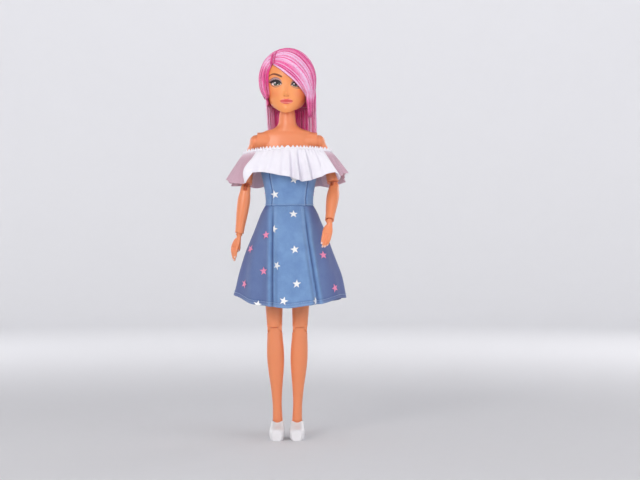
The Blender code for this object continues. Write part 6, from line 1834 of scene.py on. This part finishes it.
def find_place(surface, x, z, first, second, seen=True):
    """The surface's own coordinates of a place at x and z in millimetres, as the camera sees it or not."""
    step = 1e-4
    for _ in range(14):
        here = surface(first, second)
        near = (CAMERA_AT[1] - here.y) / CAMERA_AT[1] if seen else 1.0
        miss_x = CAMERA_AT[0] + (x * MM - CAMERA_AT[0]) * near - here.x
        miss_z = CAMERA_AT[2] + (z * MM - CAMERA_AT[2]) * near - here.z
        along = (surface(first + step, second) - here) / step
        down = (surface(first, second + step) - here) / step
        scale = along.x * down.z - along.z * down.x
        first += (miss_x * down.z - miss_z * down.x) / scale * 0.8
        second += (along.x * miss_z - along.z * miss_x) / scale * 0.8
    return first, second


def build_stars(name, surface, places, rise):
    """Thin printed stars that lie on the cloth, each from a middle point and two rings of ten."""
    verts, faces, colours = [], [], []
    step = 1e-3
    for first, second, turn, low, high in places:
        here = surface(first, second)
        along = (surface(first + step, second) - here).length / step
        down = (surface(first, second + step) - here).length / step * rise
        start = len(verts)
        verts.append(surface(first, second, STAR_LIFT))
        for ring in (0.5, 1.0):
            for k in range(10):
                angle = math.radians(turn) + math.tau * k / 10
                reach = STAR_RADIUS * ring * (1.0 if k % 2 == 0 else STAR_NOTCH_SHARE)
                at, fall = first + reach * math.sin(angle) / along, second + reach * math.cos(angle) / down
                point = surface(at, fall, STAR_LIFT)
                edge = min(max(point.x, low * MM), high * MM)
                for _ in range(0 if edge == point.x else 8):
                    at += (edge - surface(at, fall).x) / (surface(at + 1e-4, fall).x
                                                          - surface(at, fall).x) * 1e-4
                verts.append(surface(at, fall, STAR_LIFT))
        for k in range(10):
            m = (k + 1) % 10
            faces.append((start, start + 1 + m, start + 1 + k))
            faces.append((start + 1 + k, start + 1 + m, start + 11 + m, start + 11 + k))
        tint = STAR_PINK if abs(here.x) > PINK_STARS_FROM and here.z > PINK_STARS_ABOVE else STAR_WHITE
        colours += [tint] * 21
    mesh = make_mesh(name, [tuple(v) for v in verts], faces)
    set_paint(mesh, colours)
    made = thicken(temporary(name, mesh), STAR_THICKNESS)
    return dress_piece(made, "foil", "torso")


BODICE_SEAMS = (((-13.2, 198.0), (-12.4, 191.0), (-11.0, 184.0), (-11.0, 178.0), (-11.6, 172.4)),
                ((15.6, 198.0), (15.3, 190.5), (14.4, 184.0), (13.8, 178.0), (14.0, 172.4)))


def seam_x(seam, height):
    """Where a front seam lies at a height."""
    table = np.array(seam)[::-1] * MM
    return float(np.interp(height, table[:, 1], table[:, 0]))


def bodice_point(angle, height, out=0.0):
    width, front, back, square = body_row(height)
    grow = GAP + out
    c, s = math.cos(angle), math.sin(angle)
    ease = BODICE_EASE[c > 0] * float(smooth(body_level(BODICE_TOP_SHARE) - height, 0.0005, 0.0110))
    x = (width + grow + ease) * math.copysign(abs(c) ** square, c)
    y = ((front if s < 0 else back) + grow) * math.copysign(abs(s) ** square, s)
    if s < 0:
        for seam in BODICE_SEAMS:
            away = (x - seam_x(seam, height)) / 0.00045
            y += 0.00022 * math.exp(-away * away)
            ridge = (x - seam_x(seam, height)) / 0.0011
            y -= 0.00014 * math.exp(-(abs(ridge) - 1.0) ** 2 * 4.0)
    return Vector((x, y, height))


def build_bodice():
    rows, points, heights = 56, [], []
    low = body_level(BODICE_BOTTOM_SHARE)
    for i in range(rows + 1):
        height = body_level(BODICE_TOP_SHARE) + (low - body_level(BODICE_TOP_SHARE)) * i / rows
        heights.append(height)
        points.append([bodice_point(a, height) for a in ring_angles(CLOTH_COLUMNS)])
    made = cloth_grid("bodice", points, cloth_uv(points, heights))
    shading_paint = np.zeros((len(made.data.vertices), 4))
    flat = np.array([p for ring in points for p in ring])
    for seam, inner in zip(BODICE_SEAMS, (1.0, -1.0)):
        line = np.interp(flat[:, 2], np.array(seam)[::-1, 1] * MM, np.array(seam)[::-1, 0] * MM)
        away = np.where(flat[:, 1] < 0, (flat[:, 0] - line) / MM, 99.0)
        # Painted shade in each seam's groove
        shading_paint = over(shading_paint, linear(46, 76, 134), np.exp(-(away / 0.36) ** 2) * 0.8)
        # A paler band along the raised, stitched side of each seam
        shading_paint = over(shading_paint, linear(168, 194, 228), np.exp(-((away * inner - 1.1) / 0.5) ** 2) * 0.25)
    # Painted shade along the bodice's lower edge, where the skirt is joined on
    shading_paint = over(shading_paint, linear(70, 104, 160), 0.6 - 0.6 * smooth(flat[:, 2], low + 0.0001, low + 0.0007))
    set_paint(made.data, shading_paint)
    thicken(made, DENIM_THICKNESS)
    dress_piece(made, "denim", "torso", ["dress_bodice"])
    threads = []
    for number, (seam, inner) in enumerate(zip(BODICE_SEAMS, (1.0, -1.0))):
        path, normals = [], []
        for height in np.linspace(body_level(BODICE_TOP_SHARE) - 0.0006, low + 0.0004, 60):
            x = seam_x(seam, height) + SEAM_STITCH_INSET * inner
            width, front = body_row(height)[:2]
            angle = find_place(bodice_point, x / MM, height / MM, -math.pi / 2 + x / MM * 0.04, height,
                               False)[0]
            path.append(bodice_point(angle, height, 0.00052))
            normals.append(Vector((math.cos(angle) * front, math.sin(angle) * width, 0.0)).normalized())
        threads.append(stitches("seam_stitches_%d" % number, path, normals, "thread", "torso"))
    path, normals = [], []
    for k in range(181):
        angle = math.tau * k / 180
        path.append(bodice_point(angle, low + 0.0011, 0.00056))
        normals.append(Vector((math.cos(angle), math.sin(angle), 0.0)))
    threads.append(stitches("waist_stitches", path, normals, "thread", "torso"))
    places = [find_place(bodice_point, x, z, -math.pi / 2 + x * 0.04, z * MM) + (turn, *WHOLE_STAR)
              for x, z, turn in BODICE_STARS]
    for level in BODICE_BACK_LEVELS:
        places += [(math.radians(a), body_level(level), a, *WHOLE_STAR) for a in BODICE_BACK_ANGLES]
    threads.append(build_stars("bodice_stars", bodice_point, places, 1.0))
    declare_cloth(points, threads)


# Front pleats: place at the waist and down to the hem in millimetres, and which way they fold
PLEATS = (((-10.2, -10.2, -10.2, -10.1), 1.0), ((12.3, 15.2, 19.0, 22.9), -1.0))
PLEAT_TUCK = 0.0026
# Soft folds of the side panels: place and height in millimetres
SIDE_FOLDS = ((-17.6, -0.7), (-25.0, 0.8), (-31.0, -0.5), (27.5, 0.6), (33.5, -0.6))
BACK_FOLDS = 11


SPREAD_CURVE = np.array(refine(SKIRT_SPREAD, 6)).T
EASE_CURVES = [np.array(refine(rows, 6)).T for rows in (SKIRT_EASE_RIGHT, SKIRT_EASE_LEFT)]


def skirt_profile(t):
    waist = body_row(body_level(BODICE_BOTTOM_SHARE))
    spread = float(np.interp(t, *SPREAD_CURVE))
    sizes = []
    for near, far in ((waist[0], SKIRT_HALF_WIDTH), (waist[1], SKIRT_FRONT_DEPTH),
                      (waist[2], SKIRT_BACK_DEPTH)):
        sizes.append(near + GAP + (far - DENIM - near - GAP) * spread)
    return sizes


def skirt_point(angle, t, out=0.0):
    t = min(t, 1.0)
    width, front, back = skirt_profile(t)
    c, s = math.cos(angle), math.sin(angle)
    width += float(np.interp(t, *EASE_CURVES[c > 0])) * MM
    wave = 0.0
    if s < 0:
        x = width * c / MM
        for places, way in PLEATS:
            middle = float(np.interp(t, (0.0, 0.33, 0.66, 1.0), places))
            away = (x - middle) * way
            depth = PLEAT_TUCK * min(1.0, 0.03 + t * 1.6)
            # Sharp on the tucked side, easing out on the other
            wave -= depth * (math.exp(-(away / 0.7) ** 2) if away < 0 else math.exp(-(away / 2.6) ** 2))
            wave += depth * 0.50 * math.exp(-((away + 2.4) / 1.5) ** 2)
        wave += 0.0004 * t * math.sin(x * 0.42 + 0.8) * math.exp(-(x / 30.0) ** 4)
        for place, tall in SIDE_FOLDS:
            wave += tall * MM * t * math.exp(-((x - place) / 2.6) ** 2)
        wave += 0.00025 * math.exp(-(t / 0.05) ** 2) * math.cos(80.0 * angle)
    side = abs(c) ** 3
    wave += 0.0016 * t ** 1.2 * (math.cos(BACK_FOLDS * angle + 0.9) - 0.6) * (max(0.0, s) + 0.55 * side)
    x = (width + wave + out) * c
    y = ((front if s < 0 else back) + wave + out) * s
    lift = SKIRT_SIDE_LIFT * t * c * c + SKIRT_CORNER_LIFT * t * max(0.0, -c) ** 8
    lift += SKIRT_FRONT_RISE * t * max(0.0, -s) * (1.0 + 0.9 * max(0.0, c))
    top = body_level(BODICE_BOTTOM_SHARE) + 0.00005
    return Vector((x, y, top - (SKIRT_LENGTH + 0.0003) * t + lift + 0.0003 * t * math.sin(9.0 * angle)))


def build_skirt():
    rows, points = 84, []
    for i in range(rows + 1):
        points.append([skirt_point(a, i / rows) for a in ring_angles(CLOTH_COLUMNS)])
    heights = [points[i][CLOTH_COLUMNS // 2].z for i in range(rows + 1)]
    uv = cloth_uv(points, heights)
    # Each point keeps its own height along the cloth, so the weave follows the lifted hem
    for i in range(rows + 1):
        for j in range(CLOTH_COLUMNS):
            uv[i][j] = (uv[i][j][0], points[i][j].z / MM)
        uv[i][CLOTH_COLUMNS] = (uv[i][CLOTH_COLUMNS][0], points[i][0].z / MM)
    made = cloth_grid("skirt", points, uv)
    flat = np.array([p for ring in points for p in ring])
    t = np.repeat(np.linspace(0.0, 1.0, rows + 1), CLOTH_COLUMNS)
    shading_paint = np.zeros((len(flat), 4))
    for places, way in PLEATS:
        middle = np.interp(t, (0.0, 0.33, 0.66, 1.0), places)
        away = np.where(flat[:, 1] < 0, (flat[:, 0] / MM - middle) * way, 99.0)
        outside = smooth(-away, 2.2, 5.5) * (flat[:, 1] < 0) * (np.abs(away) < 90.0)
        # Painted shade, tinted purple as reflected pink light, on the side panel beyond each pleat
        shading_paint = over(shading_paint, DENIM_PAINTED_SHADE, outside * 0.62)
        strong = 0.35 + 0.65 * smooth(t, 0.0, 0.25)
        # Painted shadow in each pleat's fold, with wider painted shade on its tucked side
        shading_paint = over(shading_paint, linear(34, 58, 112), np.exp(-((away + 0.15) / 0.62) ** 2) * 0.9 * strong)
        shading_paint = over(shading_paint, linear(60, 88, 142), np.exp(-((away + 1.0) / 0.9) ** 2) * 0.4 * strong)
        # Painted highlight on the lit strip beside each pleat
        shading_paint = over(shading_paint, linear(160, 190, 226), np.exp(-((away - 1.6) / 1.0) ** 2) * 0.22)
    # A paler band along the hem edge and a thin darker line near the hem stitches
    hem = flat[:, 2] - np.tile(flat[-CLOTH_COLUMNS:, 2], rows + 1)
    shading_paint = over(shading_paint, linear(176, 200, 232), np.exp(-((hem / MM - 0.8) / 0.8) ** 2) * 0.25)
    shading_paint = over(shading_paint, linear(60, 90, 146), np.exp(-((hem / MM - 3.4) / 0.35) ** 2) * 0.35)
    # Painted shade, tinted purple, growing towards the skirt's sides
    side = smooth(np.abs(flat[:, 0]) / np.repeat([skirt_profile(v)[0] for v in np.linspace(0, 1, rows + 1)],
                                                 CLOTH_COLUMNS), 0.70, 0.97)
    shading_paint = over(shading_paint, linear(88, 96, 152), side * 0.55)
    set_paint(made.data, shading_paint)
    thicken(made, DENIM_THICKNESS)
    dress_piece(made, "denim", "torso", ["dress_skirt"])
    pull_skirt(made)
    path, normals = [], []
    for k in range(361):
        angle = math.tau * k / 360
        path.append(skirt_point(angle, 1.0 - 0.0030 / SKIRT_LENGTH, 0.00056))
        normals.append(Vector((math.cos(angle), math.sin(angle), 0.25)).normalized())
    threads = [stitches("hem_stitches", path, normals, "thread", "torso")]
    places = [find_place(skirt_point, x, z, -math.pi / 2 + x * 0.03, 0.5)
              + (turn, *STAR_CUTS.get((x, z), WHOLE_STAR))
              for x, z, turn in SKIRT_STARS]
    for row, t in enumerate(SKIRT_BACK_ROWS):
        span = math.pi * sum(skirt_profile(t)[::2]) / 2
        count = max(2, round(span / STAR_SPACING))
        for k in range(count):
            turn = (k + 0.5 * (row % 2) + 0.2) * math.pi / count
            places.append((turn, t, 40.0 * k + 25.0 * row, *WHOLE_STAR))
    threads.append(build_stars("skirt_stars", skirt_point, places, -1.0))
    for item in threads:
        pull_skirt(item)
    declare_cloth(points, threads)


# Where the thighs' pull on the skirt sets in: down it, across it towards their own side, and forwards
SKIRT_PULL_DOWN = (0.168, 0.118)
SKIRT_PULL_ACROSS = (-0.012, 0.014)
SKIRT_PULL_AHEAD = (0.012, -0.010)


def pull_skirt(made):
    """The front and lower cloth is lifted by the thighs."""
    def weigh(side):
        def one(p):
            down = smooth(p[:, 2], *SKIRT_PULL_DOWN)
            own = smooth(p[:, 0] * side, *SKIRT_PULL_ACROSS)
            ahead = smooth(p[:, 1], *SKIRT_PULL_AHEAD)
            return down * own * (0.35 + 0.65 * ahead)
        return one
    follow(made, [("thigh_left", weigh(1)), ("thigh_right", weigh(-1))])


# Ruffle of thin cloth and its frilled elastic edge

ELASTIC_Z_SHARE = 0.682
ELASTIC_RISE = 0.0028
ELASTIC_DROP = 0.0021
ELASTIC_LEAN = 0.0008
ELASTIC_RADIUS = 0.0007
YOKE_SQUARE_SHARE = 0.82
ARM_CLEARANCE = 0.0004
RUFFLE_DROP = 0.0230
RUFFLE_FLARE = 0.0112
RUFFLE_FRONT_FLARE = 0.0060
RUFFLE_BACK_FLARE = 0.0020
RUFFLE_COLUMNS = 480
RUFFLE_ROWS = 60
FRILL_TURNS = 80
FRILL_HEIGHT = 0.0017
FRILL_SWAY = 0.00050
ELASTIC_COUNT = 936
ELASTIC_SIDES = 14
CHIFFON_THICKNESS = 0.00022
RUFFLE_PULL_ACROSS = (0.0205, 0.0335)
TAPE_THICKNESS = 0.0007
# Hem of the front, x and z in millimetres
RUFFLE_HEM = ((-45.4, 193.6), (-42.5, 190.6), (-39.0, 189.2), (-34.5, 188.9), (-31.0, 188.9), (-28.6, 189.2),
              (-26.6, 192.6), (-24.3, 196.9), (-20.0, 197.4), (-15.2, 197.0), (-10.0, 196.0), (-5.6, 195.0),
              (-1.0, 194.4), (3.3, 193.4), (7.5, 191.4), (11.6, 190.3), (16.0, 191.0), (20.5, 192.2),
              (25.0, 194.0),
              (28.8, 196.0), (31.6, 197.2), (34.2, 194.2), (36.4, 191.6), (39.4, 193.6), (42.0, 195.8),
              (45.4, 198.2))
# Folds of the front: place at the hem, height, half-width and sideways lean, all in millimetres
RUFFLE_FOLDS = ((-27.2, 4.8, 3.8, -5.2), (-34.6, -2.8, 3.0, 0.0), (33.6, 4.2, 3.4, 2.6),
                (39.6, -2.4, 2.6, 0.0),
                (8.0, 4.0, 1.4, 1.2), (10.8, -2.2, 1.5, 0.0), (4.6, -1.4, 1.4, 0.0), (1.6, 2.4, 1.3, 0.6),
                (16.6, 2.8, 1.3, 1.0), (19.8, -1.8, 1.7, 0.0), (-6.0, 1.2, 2.0, 0.0), (-14.6, 1.4, 2.2, -0.6),
                (25.4, 1.4, 1.8, 0.4), (-20.6, -0.8, 1.8, 0.0))


def elastic_half_width():
    drop = (1.0 - ELASTIC_Z_SHARE) * HIP_TO_NECK_TOP - (HIP_TO_NECK_TOP - HIP_TO_SHOULDER)
    widest = max(math.sin(math.radians(a)) for a in ARM_SPREAD.values())
    return SHOULDER_X + ARM_OFFSET + ARM_HALF_WIDTH + drop * widest + ELASTIC_RADIUS + ARM_CLEARANCE


def yoke_point(angle, out, front_out, back_out, z):
    c, s = math.cos(angle), math.sin(angle)
    half = elastic_half_width() + out
    chest = body_row(body_level(BODICE_TOP_SHARE))
    front = chest[1] + GAP + DENIM + GAP + ELASTIC_RADIUS * 2 + front_out
    back = chest[2] + GAP + DENIM + GAP + TAPE_THICKNESS + ELASTIC_RADIUS * 2 + back_out
    x = half * math.copysign(abs(c) ** YOKE_SQUARE_SHARE, c)
    y = (front if s < 0 else back) * math.copysign(abs(s) ** YOKE_SQUARE_SHARE, s)
    return Vector((x, y, z))


def elastic_z(angle):
    rise = ELASTIC_RISE * max(0.0, -math.sin(angle)) ** 2
    return body_level(ELASTIC_Z_SHARE) - ELASTIC_DROP + rise + ELASTIC_LEAN * math.cos(angle)


def ruffle_point(angle, t):
    front = max(0.0, -math.sin(angle))
    behind = max(0.0, math.sin(angle))
    side = abs(math.cos(angle)) ** 2
    bust = math.sin(math.pi * min(1.0, t / 0.8)) * 0.0012
    point = yoke_point(angle, RUFFLE_FLARE * t ** 0.85, RUFFLE_FRONT_FLARE * t ** 0.7 + bust,
                       RUFFLE_BACK_FLARE * t,
                       elastic_z(angle) - ELASTIC_RADIUS * 0.6)
    hem = yoke_point(angle, RUFFLE_FLARE, 0.0, 0.0, 0.0).x / MM
    if math.sin(angle) <= 0:
        low = float(line_at(hem, RUFFLE_HEM)) * MM
    else:
        edge = RUFFLE_HEM[-1][1] if hem > 0 else RUFFLE_HEM[0][1]
        low = (187.0 + (edge - 187.0) * (1.0 - behind) ** 3 + 0.8 * math.sin(hem * 0.33)) * MM
    point.z += (low - point.z) * t
    wave = 0.55 * math.cos(16 * angle + 0.6) + 0.30 * math.cos(27 * angle + 2.1) + 0.15 * math.cos(43 * angle
                                                                                                   + 4.0)
    amount = (0.0003 * front ** 2 + 0.0024 * side ** 2 + 0.0010 * behind) * t ** 1.15
    gather = 0.00030 * math.cos(FRILL_TURNS * angle) * (1.0 - t) ** 3
    sway = 0.0
    if math.sin(angle) < 0:
        for place, tall, wide, lean in RUFFLE_FOLDS:
            near = math.exp(-((hem - place) / wide) ** 2)
            gather += tall * MM * near * t ** 0.8
            sway += lean * MM * near * (math.sin(math.pi * t ** 1.4) if lean < -2 else t)
    outward = Vector((point.x * (0.25 + 0.75 * side), point.y * 2.0, 0.0)).normalized()
    return point + outward * (wave * amount + gather) + Vector((sway, 0.0, 0.0))


def build_ruffle():
    angles = ring_angles(RUFFLE_COLUMNS)
    points = [[ruffle_point(a, i / RUFFLE_ROWS) for a in angles] for i in range(RUFFLE_ROWS + 1)]
    uv = cloth_uv(points, [0.0] * (RUFFLE_ROWS + 1))
    for i in range(RUFFLE_ROWS + 1):
        for j in range(RUFFLE_COLUMNS + 1):
            uv[i][j] = (uv[RUFFLE_ROWS][j][0], RUFFLE_DROP / MM * (1.0 - i / RUFFLE_ROWS))
    made = cloth_grid("flounce", points, uv)
    flat = np.array([p for ring in points for p in ring])
    across = np.array([yoke_point(a, RUFFLE_FLARE, 0.0, 0.0, 0.0).x / MM for a in angles])
    facing = np.array([math.sin(a) < 0 for a in angles])
    solid_front = np.tile(smooth(across, -30.6, -29.4) * (1.0 - smooth(across, 35.0, 36.4)) * facing,
                          RUFFLE_ROWS + 1)
    rows = np.repeat(np.linspace(0.0, 1.0, RUFFLE_ROWS + 1), RUFFLE_COLUMNS)
    cover = 0.58 + 0.40 * solid_front + 0.25 * np.exp(-(rows / 0.12) ** 2) + 0.22 * smooth(rows, 0.965, 0.985)
    # The side wings are painted rose, a painted tint of pink light coming through the thin cloth; the front
    # panel and the gathered top are white
    white = np.array(linear(246, 243, 251)[:3])
    rose_light_tint = np.array(linear(226, 188, 204)[:3])
    colour = rose_light_tint + (white - rose_light_tint) * np.clip(solid_front + 0.5 * np.exp(-(rows / 0.10) ** 2), 0.0, 1.0)[:,
                                                                                                        None]
    # Painted shade: the sides of the front folds that face +X, away from the key light, are painted greyer
    table = np.array(points)
    facing_out = np.cross(np.gradient(table, axis=0), np.roll(table, -1, axis=1) - np.roll(table, 1, axis=1))
    turned = (facing_out / np.linalg.norm(facing_out, axis=2)[:, :, None]).reshape(-1, 3)
    turned = turned[:, 0] * np.sign(turned[:, 1] * flat[:, 1] + 1e-9)
    painted_fold_shade = smooth(turned, 0.12, 0.75) * solid_front * (np.abs(flat[:, 0]) < 0.025) * 0.55
    colour = colour + (np.array(linear(206, 198, 216)[:3]) - colour) * painted_fold_shade[:, None]
    set_paint(made.data, np.concatenate([colour, np.clip(cover, 0.0, 0.985)[:, None]], axis=1))
    thicken(made, CHIFFON_THICKNESS)
    dress_piece(made, "chiffon", "torso", ["ruffle"])
    pull_ruffle(made)
    declare_cloth(points, [build_elastic()])


def build_elastic():
    """A gathered casing with a small frill standing above it."""
    count, sides = ELASTIC_COUNT, ELASTIC_SIDES
    rings = []
    for k in range(count):
        angle = math.pi / 2 - math.tau * k / count
        middle = yoke_point(angle, 0.0, 0.0, 0.0, elastic_z(angle))
        outward = Vector((math.cos(angle), math.sin(angle), 0.0))
        pinch = 0.5 + 0.5 * math.cos(FRILL_TURNS * angle + 0.8 * math.sin(5.0 * angle))
        sway = math.sin(FRILL_TURNS * 0.5 * angle + 1.0)
        ring = []
        for m in range(sides):
            turn = math.tau * m / sides
            reach = ELASTIC_RADIUS * (0.74 + 0.34 * pinch)
            tall = ELASTIC_RADIUS * 0.95
            up = tall * math.sin(turn)
            if up > 0:
                # The frill is the casing's drawn-up top edge
                peak = max(0.0, math.sin(turn)) ** 3
                up += peak * FRILL_HEIGHT * pinch
                ring.append(middle + outward * (reach * math.cos(turn) + FRILL_SWAY * sway * peak)
                            + Vector((0.0, 0.0, up)))
            else:
                ring.append(middle + outward * reach * math.cos(turn) + Vector((0.0, 0.0, up)))
        rings.append(ring)
    verts = [tuple(p) for ring in rings for p in ring]
    faces = []
    for k in range(count):
        near, far = k * sides, (k + 1) % count * sides
        for m in range(sides):
            n = (m + 1) % sides
            faces.append((near + m, near + n, far + n, far + m))
    mesh = make_mesh("frilled_elastic", verts, faces)
    layer = mesh.uv_layers.new(name="cloth")
    values = []
    for k in range(count):
        for m in range(sides):
            for step_k, step_m in ((0, 0), (0, 1), (1, 1), (1, 0)):
                values += [(k + step_k) * 0.4, (m + step_m) * 0.35]
    layer.data.foreach_set("uv", np.array(values, np.float32))
    mesh.shade_smooth()
    set_paint(mesh, np.tile((*linear(246, 243, 250)[:3], 0.97), (len(verts), 1)))
    made = temporary("frilled_elastic", mesh)
    dress_piece(made, "chiffon", "torso", ["ruffle_elastic"])
    pull_ruffle(made)
    return made


def pull_ruffle(made):
    def weigh(side):
        return lambda p: smooth(p[:, 0] * side, *RUFFLE_PULL_ACROSS)
    follow(made, [("upper_arm_left", weigh(1)), ("upper_arm_right", weigh(-1))])


# Put everything together

def finish_cad_nodes():
    """Give the small inner parts, kept as they are, their own worked materials."""
    for name, item in frame["nodes"].items():
        look = None
        if "_pin_" in name:
            look = "pin"
        elif "_peg_" in name or name == "neck_knob":
            look = "joint"
        elif name == "back_fastener":
            look = "tape"
        if look:
            for index in range(len(item.material_slots)):
                item.material_slots[index].material = LOOKS[look]


def declare_cloth(points, trims):
    """Build a closed table of the cloth's points; nothing further is done with it."""
    table = np.array(points, float)
    table = np.concatenate([table, table[:, :1]], axis=1)


def fringe_and_lock():
    sweep_family("swept_fringe", 31, FRINGE_LOW, FRINGE_HIGH, 270, 26, 0.50, 0.20, 2.4, 0.84, ["hair_fringe"],
                 (0.045, 0.085))
    sweep_family("side_lock", 47, LOCK_IN, LOCK_OUT, 120, 18, 0.48, 0.55, 1.0, 0.93, ["hair_side_lock"])


build_camera()
build_stage(LOOKS["floor"])
build_lights()
build_body()
build_arm(1)
build_arm(-1)
build_leg(1)
build_leg(-1)
build_head()
build_crown()
fringe_and_lock()
build_back_hair()
build_bodice()
build_skirt()
build_ruffle()
finish_cad_nodes()
